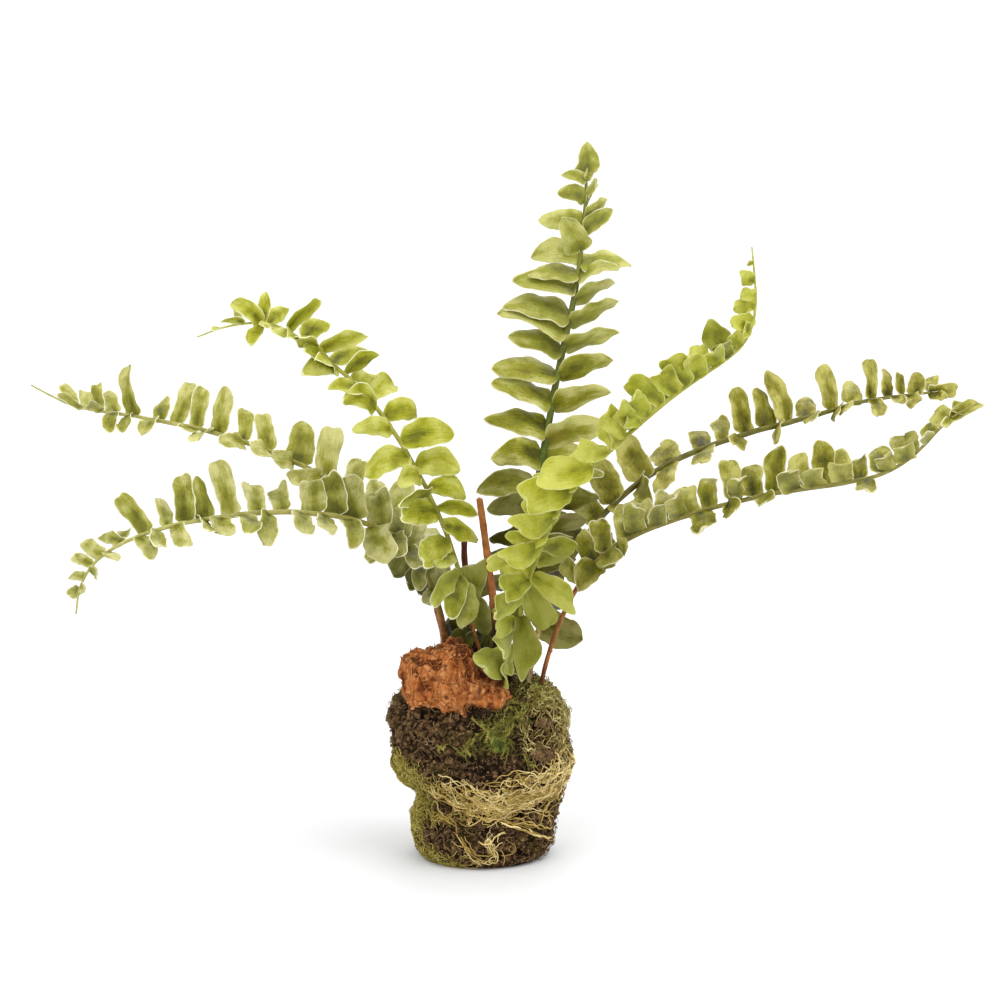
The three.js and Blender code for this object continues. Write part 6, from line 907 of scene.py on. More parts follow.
for k, F in enumerate(FRONDS):
    number = k + 1
    r = np.random.RandomState(100 + k)
    b = Builder()
    for row in F["leaflets"]:
        leaflet(b, row, r, number)
    leaf = b.make("frond_%d_leaflets" % number, LEAF_MATS[k])
    path = catmull(F["blade"], 6)
    n = len(path)
    t = np.linspace(0, 1, n)
    thick = (1.1, 1.1, 0.95, 1.45, 1.0, 1.35, 1.05)[k]
    rad = thick * (0.30 + 0.55 * np.minimum(1, t / 0.35) ** 0.8 + 0.18 * t)
    br = Builder()
    jit = np.stack([vnoise(path + 31.7 * a, 0.12, 2.0) for a in (1, 2, 3)], 1) * 0.25
    stalk_r = (1.75, 1.5, 0.9, 1.35, 1.2, 1.2, 0.95)[k]
    brown_from = (0.90, 0.90, 0.90, 2.0, 2.0, 0.93, 0.93)[k]
    foot = np.clip((t - brown_from) / 0.05, 0, 1)
    rad = rad + (stalk_r - rad) * foot
    tube(br, path + jit * np.sin(np.pi * t)[:, None], rad, 12, ref=(0, 1, 0.2), profile=groove, top=np.clip((0.75 - t) / 0.5, 0, 1), foot=foot)
    mid = br.make("frond_%d_midrib" % number, RACHIS_MATS[k])
    sp = catmull([F["blade"][-1]] + F["stalk"], 8)
    ns = len(sp)
    ts = np.linspace(0, 1, ns)
    bs_ = Builder()
    rs = rad[-1] + (stalk_r - rad[-1]) * np.clip(ts * 4, 0, 1) + 0.14 * vnoise(sp, 0.5, 4.0)
    # painted shade and earth: how far up each stalk's foot is darkened
    g0, g1, ga = ((92, 84, 0.5), (92, 84, 0.5), (104, 92, 0.75), (112, 100, 0.85), (110, 96, 0.8), (84, 76, 0.5), (84, 76, 0.5))[k]
    tube(bs_, sp, rs, 12, ref=(0, 1, 0.2), profile=lambda w: 1 + 0.05 * np.cos(3 * w), top=np.zeros(ns), grime=ga * np.clip((g0 - sp[:, 2]) / (g0 - g1), 0, 1))
    # small papery scales up the foot of the stalk
    m = 9
    pos = r.uniform(0.25, 0.95, m)
    C = np.zeros((m, 5, 3)); R = np.zeros((m, 5))
    for i in range(m):
        j = min(int(pos[i] * (ns - 2)), ns - 2)
        base = sp[j]; tan = unit(sp[j] - sp[j + 1])
        rd = unit(np.cross(tan, unit(r.randn(3))))
        ln = r.uniform(1.0, 2.6)
        for q_ in range(5):
            w = q_ / 4
            C[i, q_] = base + rd * (rs[j] * 0.9 + w * ln * 0.35) + tan * ln * w * 0.8 + r.randn(3) * 0.08
        R[i] = np.array([0.16, 0.2, 0.16, 0.1, 0.04])
    n_here = ns * 12 + 2
    strands(bs_, C, R, 4, top=np.zeros(m), grime=np.full(m, 0.2))
    stalk = bs_.make("frond_%d_leafstalk" % number, STALK_MAT)
    for o in (leaf, mid, stalk):
        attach(o, "root")
    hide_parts("frond_%d_blade" % number)
    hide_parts("frond_%d_blade" % number)
    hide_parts("frond_%d_stalk" % number)

# ---------------------------------------------------------------- bare cut stalks
for s in STUBS:
    p = catmull(s["path"], 6)
    n = len(p)
    b = Builder()
    t = np.linspace(0, 1, n)
    rad = s["radii"][0] + (s["radii"][1] - s["radii"][0]) * t + 0.12 * vnoise(p, 0.35, 6.0) + 0.06 * vnoise(p, 1.2, 7.0)
    if s["name"] == "stub_pointed":
        rad = rad * np.clip(0.25 + t / 0.12, 0, 1)
    jit = np.stack([vnoise(p + 11.1 * a, 0.10, 8.0) for a in (1, 2, 3)], 1) * 0.35
    # the foot of each stub is darkened: earth, and painted shade in the crown
    tube(b, p + jit * np.minimum(1, 4 * (1 - t))[:, None], rad, 12, ref=(0, 1, 0.3), profile=lambda w: 1 + 0.07 * np.cos(3 * w) + 0.04 * np.sin(5 * w), top=np.zeros(n), grime=(0.9 if s["name"] == "stub_tall" else 0.4) * np.clip(((107 if s["name"] == "stub_tall" else 86) - p[:, 2]) / 8, 0, 1))
    o = b.make(s["name"] + "_bark", {"stub_pale": PALE_MAT, "stub_pointed": RED_MAT}.get(s["name"], STALK_MAT))
    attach(o, "root"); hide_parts(s["name"])

# ---------------------------------------------------------------- root ball
# The ball's surface by angle and by distance (mm) along its meridian from the centre of its underside.
_m = [[0, 0, 0]] + [list(q) for q in BALL_PROFILE] + [[78.5, 1, 1]]
_m = np.array(_m, float)
_z, _c, _a = _m[:, 0], (_m[:, 1] + _m[:, 2]) / 2, (_m[:, 2] - _m[:, 1]) / 2
_s = np.concatenate([[0], np.cumsum(np.hypot(np.diff(_z), np.diff(_a)))])
_fs = np.linspace(0, _s[-1], 600)
def _soft(y):
    y = np.interp(_fs, _s, y)
    k = np.ones(15) / 15
    p = np.concatenate([2 * y[0] - y[15:0:-1], y, 2 * y[-1] - y[-2:-17:-1]])
    return np.convolve(np.convolve(p, k, "same"), k, "same")[15:-15]
_fz, _fc, _fa = _soft(_z), _soft(_c), np.maximum(_soft(_a), 0)
_fz = np.maximum(_fz - _fz[0], 0)
_fz[_fs < _s[1]] = 0
S_MAX = _s[-1]

def bare(th, s):
    z = np.interp(s, _fs, _fz)
    c = np.interp(s, _fs, _fc)
    a = np.interp(s, _fs, _fa)
    sn = np.sin(th)
    lump = 1 + sn ** 2 * (0.022 * np.sin(3 * th + 0.11 * z) + 0.018 * np.sin(5 * th - 0.17 * z + 1))
    return np.stack([c + a * lump * np.cos(th), a * 0.97 * lump * sn, z], -1)

def bare_normal(th, s):
    e = 1e-3
    dt = bare(th + e, s) - bare(th - e, s)
    ds = bare(th, np.minimum(s + 0.05, S_MAX)) - bare(th, np.maximum(s - 0.05, 0))
    n = np.cross(dt, ds)
    bad = np.linalg.norm(n, axis=-1) < 1e-7
    n[bad] = [0, 0, 1]
    return unit(n)

def pits(p):
    """Hollows in the crumbly soil, 0 to 1."""
    return np.clip(vnoise(p, 0.19, 6.0) - 0.25, 0, 0.5) * 1.2 + np.clip(vnoise(p, 0.37, 7.0) - 0.35, 0, 0.5) * 0.9

def swell(p, fine=True):
    """How far (mm) the crumbly surface stands out from the plain ball at p."""
    d = 1.5 * fbm(p, 0.075, 2, 1.0) + 1.5 * fbm(p, 0.20, 2, 2.0)
    if fine:
        r1 = 1 - np.abs(vnoise(p, 0.38, 3.0)) * 2
        r2 = 1 - np.abs(vnoise(p, 0.85, 4.0)) * 2
        d = d + 1.5 * vnoise(p, 0.27, 8.0) * (0.4 + np.abs(vnoise(p, 0.13, 9.0))) - 0.95 * np.maximum(r1, -0.4) - 0.65 * np.maximum(r2, -0.5) + 0.45 * vnoise(p, 1.7, 5.0) - 2.6 * pits(p)
    x, z = p[:, 0], p[:, 2]
    right = np.clip((x - 6) / 14, 0, 1)
    left = np.clip((-x - 8) / 12, 0, 1)
    d = d - right * (1.9 * np.clip((z - 42) / 8, 0, 1) + 1.3 * np.clip((z - 62) / 6, 0, 1)) - left * (0.4 + 0.6 * np.clip((48 - z) / 8, 0, 1))
    foot = np.clip(p[:, 2] / 5.0, 0, 1)
    return d * foot

def ball(th, s, proud=0.0, fine=False):
    sh = np.shape(th)
    th, s = np.ravel(th), np.ravel(s)
    p = bare(th, s)
    n = bare_normal(th, s)
    d = swell(p, fine) + np.ravel(np.broadcast_to(proud, sh))
    q = p + n * d[:, None]
    q[:, 2] = np.maximum(q[:, 2], 0.12)
    return q.reshape(*sh, 3)

_side = (_fs > _s[1]) & (_fz < 77.5)
def s_of_z(z):
    return np.interp(z, _fz[_side], _fs[_side])

def front(x, h):
    """(angle, meridian distance) of the point of the ball's front that is seen at x and at height h from ten degrees above."""
    x, h = np.asarray(x, float), np.asarray(h, float)
    y = np.full_like(x, -30.0)
    for _ in range(6):
        z = np.clip(h - y * 0.1763, 0.5, 77)
        s = s_of_z(z)
        c, a = np.interp(s, _fs, _fc), np.interp(s, _fs, _fa)
        k = np.clip((x - c) / np.maximum(a, 1), -0.995, 0.995)
        th = -np.arccos(k)
        y = a * 0.97 * np.sin(th)
    return th, s

# where moss and bare soil lie: blobs (x, h, radius x, radius h, amount), seen from the front
ZONES = [(7.4, 54.5, 6.6, 4.2, 0.08), (30.3, 69.5, 5.7, 4.2, 0.3), (35.3, 62.0, 2.5, 4.2, 0.3), (-13.1, 48.7, 6.6, 2.1, 0.15), (-35.3, 32.1, 5.7, 10.0, 0.9), (-30.3, 24.6, 5.7, 7.5, 0.9), (-27.9, 18.3, 4.9, 6.7, 0.9), (-30.3, 11.2, 3.7, 6.7, 0.8), (-17.2, 37.1, 5.7, 3.3, 0.3), (-22.1, -1.2, 10.7, 2.5, 0.6), (-7.0, 10.0, 4.9, 5.0, 0.3), (25.8, 3.7, 6.6, 3.3, 0.3)]
def moss_amount(th, s):
    p = bare(th, s)
    x, h = p[:, 0], p[:, 2] + p[:, 1] * 0.1763
    isfront = p[:, 1] < 6
    m = np.zeros(len(p))
    for zx, zh, rx, rh, am in ZONES:
        g = np.exp(-(((x - zx) / rx) ** 2 + ((h - zh) / rh) ** 2))
        m = m + am * g * isfront
    back = np.clip(fbm(p, 0.05, 3, 9.0) * 2.2 + 0.35, 0, 1) * np.clip((p[:, 1] + 4) / 10, 0, 1)
    top = np.clip((p[:, 2] - 70) / 5, 0, 1) * 0.7
    return np.clip(m + back + top + 0.25 * fbm(p, 0.16, 2, 8.0), 0, 1)

DARK = [(1.6, 63.7, 6.6, 2.9, 1.0), (8.2, 57.0, 8.2, 5.4, 0.75), (16.4, 66.2, 4.9, 4.2, 0.9), (15.6, 51.6, 2.9, 6.7, 0.6), (-17.2, 62.9, 5.7, 1.7, 0.8), (-4.9, 61.2, 4.1, 1.7, 0.6), (26.6, 59.5, 3.7, 1.7, 0.6), (20.5, 40.4, 7.4, 2.1, 0.5), (-0.8, 46.2, 10.7, 3.3, 0.35), (23.8, 54.5, 4.1, 2.5, 0.4), (25.8, 44.5, 4.1, 2.5, 0.3)]
def dark_amount(p):
    """Shaded, damp soil between the moss sprigs, seen from the front."""
    x, h = p[:, 0], p[:, 2] + p[:, 1] * 0.1763
    m = np.zeros(len(p))
    for zx, zh, rx, rh, am in DARK:
        m = m + am * np.exp(-(((x - zx) / rx) ** 2 + ((h - zh) / rh) ** 2)) * (p[:, 1] < 6)
    return m * np.clip(0.75 + vnoise(p, 0.35, 31.0), 0.1, 1.2)

NT, NS = 370, 262
th = np.linspace(0, 2 * np.pi, NT, endpoint=False)
ss = np.linspace(0.6, S_MAX - 0.6, NS)
TH, SS = np.meshgrid(th, ss, indexing="ij")
P = ball(TH, SS, 0.0, True)
mo = moss_amount(TH.ravel(), SS.ravel())
_bp = bare(TH.ravel(), SS.ravel())
# painted shade: darker in the soil's hollows and crevices, and over the shaded patches between the moss
low_ = np.clip(pits(_bp) * 1.6 + 0.55 * np.clip(1 - np.abs(vnoise(_bp, 0.38, 3.0)) * 3.2, 0, 1) + 0.25 * np.clip(1 - np.abs(vnoise(_bp, 0.85, 4.0)) * 3, 0, 1) + dark_amount(_bp), 0, 1)
b = Builder()
V = P.reshape(-1, 3)
q = np.arange(NT)[:, None] * NS + np.arange(NS - 1)[None]
q2 = ((np.arange(NT) + 1) % NT)[:, None] * NS + np.arange(NS - 1)[None]
faces = np.stack([q, q2, q2 + 1, q + 1], -1).reshape(-1, 4)
bot = len(V); topi = bot + 1
V = np.vstack([V, [[0, 0, 0.12]], [P[:, -1].mean(0)]])
i = np.arange(NT)
b.add(V, [faces, np.stack([np.full(NT, bot), ((i + 1) % NT) * NS, i * NS], 1), np.stack([np.full(NT, topi), i * NS + NS - 1, ((i + 1) % NT) * NS + NS - 1], 1)], moss=np.append(mo, [0, 0.6]), low=np.append(low_, [0, 0.3]))
soil = b.make("root_ball_soil", SOIL_MAT)
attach(soil, "root"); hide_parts("root_ball")

# crumbs of soil standing on it
def ico(level):
    import bmesh
    bm = bmesh.new()
    bmesh.ops.create_icosphere(bm, subdivisions=level, radius=1.0)
    v = np.array([x.co[:] for x in bm.verts])
    f = np.array([[x.index for x in fc.verts] for fc in bm.faces])
    bm.free()
    return v, f
ICO = {1: ico(1), 2: ico(2)}
def crumbs(b, C, R, seed, level=2, shade=0.0):
    IV, IF = ICO[level]
    r = np.random.RandomState(seed)
    n = len(C)
    sc = r.uniform(0.5, 1.4, (n, 3)) * R[:, None]
    V = IV[None] * sc[:, None]
    # each one turned and dented
    qs = r.randn(n, 4); qs = qs / np.linalg.norm(qs, axis=1, keepdims=True)
    w, x, y, z = qs.T
    M = np.stack([1 - 2 * (y * y + z * z), 2 * (x * y - z * w), 2 * (x * z + y * w), 2 * (x * y + z * w), 1 - 2 * (x * x + z * z), 2 * (y * z - x * w), 2 * (x * z - y * w), 2 * (y * z + x * w), 1 - 2 * (x * x + y * y)], 1).reshape(n, 3, 3)
    V = np.einsum("nij,nkj->nki", M, V) + C[:, None]
    f = V.reshape(-1, 3)
    d = 1 + 0.48 * vnoise((f - np.repeat(C, len(IV), 0)) / np.repeat(R, len(IV))[:, None] + np.repeat(r.uniform(-90, 90, (n, 3)), len(IV), 0), 1.35, 2.0)
    f = np.repeat(C, len(IV), 0) + (f - np.repeat(C, len(IV), 0)) * d[:, None]
    f[:, 2] = np.maximum(f[:, 2], 0.1)
    F_ = (IF[None] + (np.arange(n) * len(IV))[:, None, None]).reshape(-1, 3)
    b.add(f, [F_], low=np.repeat(np.clip(r.uniform(0, 0.45, n) + shade, 0, 1), len(IV)))

r = np.random.RandomState(5)
def soil_places(r, n, keep_n):
    th0 = r.uniform(0, 2 * np.pi, n); s0 = _s[1] + 2 + (S_MAX - _s[1] - 3) * r.uniform(0, 1, n) ** 0.95
    keep = r.uniform(0, 1, n) > moss_amount(th0, s0) * 0.8 - 0.05
    return th0[keep][:keep_n], s0[keep][:keep_n]
b = Builder()
th0, s0 = soil_places(r, 1400, 240)
R = 0.35 + 0.7 * r.uniform(0, 1, len(th0)) ** 2.8
crumbs(b, ball(th0, s0, R * 0.05 - 0.2), R, 6, 2, dark_amount(bare(th0, s0)) * 0.6)
th0, s0 = soil_places(r, 700, 150)
R = r.uniform(0.9, 1.7, len(th0))
crumbs(b, ball(th0, s0, R * -0.2 - 0.2), R, 16, 2, dark_amount(bare(th0, s0)) * 0.6)
th0, s0 = soil_places(r, 13000, 6200)
R = 0.14 + 0.36 * r.uniform(0, 1, len(th0)) ** 2.0
crumbs(b, ball(th0, s0, R * 0.3 - 0.1), R, 7, 1, dark_amount(bare(th0, s0)) * 0.6)
# two bare clods that stand out between the moss and the roots on the right
def scatter_at(r, n, blobs):
    z = np.array(blobs, float)
    c = r.randint(0, len(z), n)
    rad, ang = np.sqrt(r.uniform(0, 1, n)), r.uniform(0, 2 * np.pi, n)
    return front(z[c, 0] + z[c, 2] * rad * np.cos(ang), z[c, 1] + z[c, 3] * rad * np.sin(ang)) + (rad,)
th0, s0, rad_ = scatter_at(r, 300, [(26.2, 44.5, 5.3, 2.9), (27.1, 57.0, 3.3, 2.1)])
R = r.uniform(0.25, 0.95, len(th0))
crumbs(b, ball(th0, s0, 0.2 + 1.5 * (1 - rad_ ** 2) - R * 0.2), R, 21, 2, 0.05)
cr = b.make("root_ball_crumbs", CRUMB_MAT, False)
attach(cr, "root"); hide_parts("root_ball")

# ---- strands that lie on the ball
def lying(r, th0, s0, ang, length, k=10, curl=0.5, lift=0.4, hug=0.25, wob=1.0):
    """Centre lines (n, k, 3): each starts at an angle and meridian distance and wanders over the surface."""
    n = len(th0)
    ds = (length / (k - 1))
    a = np.empty((n, k)); a[:, 0] = ang
    drift = r.randn(n) * curl
    for i in range(1, k):
        a[:, i] = a[:, i - 1] + drift * 0.35 + r.randn(n) * curl * 0.4
    T = np.empty((n, k)); Sx = np.empty((n, k))
    T[:, 0], Sx[:, 0] = th0, s0
    for i in range(1, k):
        rad = np.maximum(np.interp(Sx[:, i - 1], _fs, _fa), 4)
        T[:, i] = T[:, i - 1] + ds * np.cos(a[:, i]) / rad
        Sx[:, i] = np.clip(Sx[:, i - 1] + ds * np.sin(a[:, i]), _s[1] + 0.5, S_MAX - 1)
    w = np.linspace(0, 1, k)[None]
    ph = r.uniform(0, 6.28, (n, 1))
    pr = hug + np.abs(lift)[:, None] * (0.5 + 0.5 * np.sin(2 * np.pi * w * r.uniform(0.4, 1.4, (n, 1)) + ph)) if np.ndim(lift) else hug + lift * (0.5 + 0.5 * np.sin(2 * np.pi * w * r.uniform(0.4, 1.4, (n, 1)) + ph))
    return ball(T, Sx, pr)

def taper(k, lo=0.35):
    w = np.linspace(0, 1, k)
    return lo + (1 - lo) * np.sin(np.pi * np.clip(w, 0.02, 0.98)) ** 0.5

def scatter(r, n, zones):
    """Angle and meridian distance of n points in blobs (x, h, rx, rh) seen from the front."""
    z = np.array(zones, float)
    wgt = z[:, 2] * z[:, 3]
    if z.shape[1] > 4:
        wgt = wgt * z[:, 4]
    c = r.choice(len(z), n, p=wgt / wgt.sum())
    g = r.randn(n, 2) * 0.62
    x = z[c, 0] + z[c, 2] * g[:, 0]
    h = z[c, 1] + z[c, 3] * g[:, 1]
    return front(x, h)

def add_lying(name, material, replaced, parts):
    b = Builder()
    for C, R, rd in parts:
        strands(b, C, R, 4, rnd=rd)
    o = b.make(name, material)
    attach(o, "root"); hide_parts(*replaced)
    return o

def moss(r, th0, s0, length, rad, up=0.5, lift=1.4, k=8):
    n = len(th0)
    ang = r.uniform(0, 2 * np.pi, n)
    L = length * r.uniform(0.5, 1.4, n)
    C = lying(r, th0, s0, ang, L, k, 0.55, lift * r.uniform(0.3, 1.3, n), 0.1)
    R = rad * r.uniform(0.6, 1.3, n)[:, None] * taper(k)[None]
    return C, R, r.uniform(0, 1, n)

r = np.random.RandomState(11)
def sprigs(r, th0, s0, heading, length, rad, lift=1.5, k=10, leaf=1.0):
    """Moss sprigs: a thin stem over the ball with short leaves along both its sides."""
    n = len(th0)
    L = length * r.uniform(0.5, 1.35, n)
    C = lying(r, th0, s0, heading, L, k, 0.30, lift * r.uniform(0.3, 1.2, n), 0.25)
    rd = r.uniform(0, 1, n)
    stems = (C, rad * r.uniform(0.7, 1.2, n)[:, None] * taper(k)[None], rd)
    tan = unit(np.gradient(C, axis=1))
    out = C - np.array([0.0, 0.0, 0.0]); out = unit(np.stack([out[..., 0], out[..., 1], 0 * out[..., 2] + 1e-6], -1))
    across = unit(np.cross(tan, out))
    leaves, radii, rnds = [], [], []
    for i in range(1, k):
        for sgn in (-1, 1):
            d = unit(tan[:, i] * 0.75 + sgn * across[:, i] * r.uniform(0.5, 1.0, (n, 1)) + out[:, i] * r.uniform(-0.1, 0.5, (n, 1)))
            l = leaf * r.uniform(0.6, 1.3, (n, 1))
            A = C[:, i]
            leaves.append(np.stack([A, A + d * l * 0.5 + out[:, i] * 0.08 * l, A + d * l], 1))
            radii.append(rad * r.uniform(0.6, 1.0, (n, 1)) * np.array([[0.6, 1.0, 0.3]]))
            rnds.append(np.clip(rd + 0.15 * r.randn(n), 0, 1))
    return stems, (np.concatenate(leaves), np.concatenate(radii), np.concatenate(rnds))

# dark green moss, front centre: a short dark mat, and brighter sprigs that hang over it
a_, s_ = scatter(r, 130, [(5.3, 57.9, 4.9, 3.7, 1.2), (12.3, 61.2, 5.7, 4.2, 1.3), (-8.2, 48.7, 6.6, 1.7, 0.8), (-17.2, 44.5, 3.3, 1.2, 0.3), (10.7, 50.4, 4.1, 4.2, 0.7), (-1.6, 52.5, 3.3, 2.5, 0.8), (19.7, 67.4, 4.1, 3.3, 0.8), (18.0, 46.2, 1.6, 4.2, 0.4)])
p1 = moss(r, a_, s_, 4.5, 0.16)
add_lying("moss_front_strands", MOSS_FRONT_MAT, ["moss_front"], [p1])
a_, s_ = scatter(r, 100, [(5.3, 57.9, 4.9, 3.7, 1.2), (12.3, 61.2, 5.7, 4.2, 1.3), (-8.2, 48.7, 6.6, 1.7, 0.8), (-17.2, 44.5, 3.3, 1.2, 0.3), (10.7, 50.4, 4.1, 4.2, 0.7), (-1.6, 52.5, 3.3, 2.5, 0.8), (19.7, 67.4, 4.1, 3.3, 0.8), (18.0, 46.2, 1.6, 4.2, 0.4)])
p2 = sprigs(r, a_, s_, -np.pi * 0.62 + 0.5 * r.randn(100), 7.0, 0.16)
add_lying("moss_front_sprigs", SPRIG_MAT, ["moss_front"], p2)
# straw coloured moss, top right
a_, s_ = scatter(r, 560, [(28.3, 71.2, 4.5, 3.7, 1.2), (32.0, 65.4, 3.7, 3.3, 1.3), (25.8, 64.5, 3.7, 2.1, 0.9), (22.5, 70.4, 2.9, 2.9, 0.7), (34.9, 57.0, 1.6, 5.8, 1.6), (35.3, 46.2, 1.6, 5.0, 1.8), (26.2, 51.6, 5.7, 0.8, 1.0), (18.4, 52.9, 1.2, 5.0, 0.6), (30.3, 74.5, 3.3, 2.1, 0.8), (32.4, 51.2, 1.2, 5.0, 0.7), (20.9, 44.5, 2.0, 2.1, 0.7)])
p1 = moss(r, a_, s_, 5.5, 0.17, lift=1.5)
a_, s_ = scatter(r, 130, [(28.3, 71.2, 4.5, 3.7, 1.2), (32.0, 65.4, 3.7, 3.3, 1.3), (25.8, 64.5, 3.7, 2.1, 0.9), (22.5, 70.4, 2.9, 2.9, 0.7), (34.9, 57.0, 1.6, 5.8, 1.6), (35.3, 46.2, 1.6, 5.0, 1.8), (26.2, 51.6, 5.7, 0.8, 1.0), (18.4, 52.9, 1.2, 5.0, 0.6), (30.3, 74.5, 3.3, 2.1, 0.8), (32.4, 51.2, 1.2, 5.0, 0.7), (20.9, 44.5, 2.0, 2.1, 0.7)])
p2 = moss(r, a_, s_, 11.0, 0.19, lift=1.5, k=14)
add_lying("moss_top_right_strands", MOSS_RIGHT_MAT, ["moss_top_right"], [p1, p2])
# yellow-green tufts along the top right shoulder, and a few blue-green shoots in front
a_, s_ = scatter(r, 230, [(24.2, 73.7, 4.1, 2.9, 1), (30.3, 70.4, 3.7, 3.7, 1), (34.4, 63.7, 2.5, 4.2, 0.8), (25.8, 66.2, 4.1, 3.3, 0.6), (36.9, 53.7, 1.2, 5.0, 0.6)])
p1 = moss(r, a_, s_, 4.0, 0.17, lift=1.9, k=8)
a_, s_ = scatter(r, 90, [(24.2, 73.7, 4.1, 2.9, 1), (30.3, 70.4, 3.7, 3.7, 1), (34.4, 63.7, 2.5, 4.2, 0.8), (25.8, 66.2, 4.1, 3.3, 0.6), (36.9, 53.7, 1.2, 5.0, 0.6)])
p2 = sprigs(r, a_, s_, r.uniform(0, 6.28, 90), 4.5, 0.15, 2.0)
add_lying("moss_tuft_strands", TUFT_MAT, ["moss_top_right"], [p1, *p2])
a_, s_ = scatter(r, 26, [(5.3, 53.3, 2.5, 1.7, 1), (7.0, 50.4, 1.6, 1.7, 0.6)])
p2 = sprigs(r, a_, s_, -np.pi * 0.55 + 0.5 * r.randn(26), 4.0, 0.16)
add_lying("moss_shoots", TEAL_MAT, ["moss_front"], p2)
# olive moss, left side
a_, s_ = scatter(r, 1900, [(-29.5, 36.2, 5.3, 3.7, 0.35), (-25.4, 30.4, 4.9, 2.9, 0.4), (-34.9, 34.6, 2.9, 5.8, 1.3), (-31.6, 27.1, 3.7, 5.8, 1.3), (-25.4, 24.6, 4.9, 4.2, 0.7), (-28.3, 18.3, 3.7, 4.2, 1.2), (-29.5, 10.0, 2.5, 5.8, 1.3), (-23.0, 1.2, 5.7, 2.1, 1), (-13.1, -2.5, 7.4, 1.2, 0.8), (-17.2, 17.1, 4.9, 1.7, 0.5), (-34.4, 42.0, 2.5, 2.5, 0.5)])
p1 = moss(r, a_, s_, 3.6, 0.16, lift=0.9, k=7)
tb = r.uniform(math.radians(140), math.radians(200), 1000); sb = s_of_z(r.uniform(6, 42, 1000))
p2 = moss(r, tb, sb, 4.0, 0.17, lift=0.8, k=7)
add_lying("moss_left_strands", MOSS_LEFT_MAT, ["moss_left"], [p1, p2])
# moss on the back and over the top
n = 3000
tb = r.uniform(math.radians(15), math.radians(165), n); sb = s_of_z(r.uniform(6, 76, n))
kp = moss_amount(tb, sb) > r.uniform(0.25, 0.9, n)
p1 = moss(r, tb[kp], sb[kp], 6.0, 0.19, lift=1.6)
add_lying("moss_back_strands", MOSS_LEFT_MAT, ["moss_back"], [p1])
n = 1100
tb = r.uniform(0, 2 * np.pi, n); sb = s_of_z(np.full(n, 71.0)) + (S_MAX - s_of_z(71.0) - 2) * r.uniform(0, 1, n) ** 0.8
p1 = moss(r, tb, sb, 6.0, 0.2, lift=1.8)
add_lying("moss_crown_strands", MOSS_FRONT_MAT, ["moss_back"], [p1])

# dark scales and hairs that stand between the feet of the stalks; their dark mass also stands in for the shade inside
# the crown
n = 420
k = 7
base = np.stack([np.clip(-4 + 5.5 * r.randn(n), -13, 9), np.clip(1 + 5.0 * r.randn(n), -9, 12), np.full(n, 76.5)], 1)
lean = np.stack([0.22 * r.randn(n), 0.25 * r.randn(n), np.ones(n)], 1)
L = r.uniform(4, 15, n) * np.clip(1.2 - np.abs(base[:, 0] + 5) / 16, 0.3, 1)
bend = r.randn(n, 3) * 0.22
C = np.stack([base + (lean * (i / (k - 1)) + bend * (i / (k - 1)) ** 2) * L[:, None] for i in range(k)], 1)
C[..., 2] = np.minimum(C[..., 2], 94)
add_lying("crown_scales", DARK_FIBRE_MAT, ["moss_back"], [(C, r.uniform(0.12, 0.30, (n, 1)) * taper(k)[None], r.uniform(0, 0.8, n))])

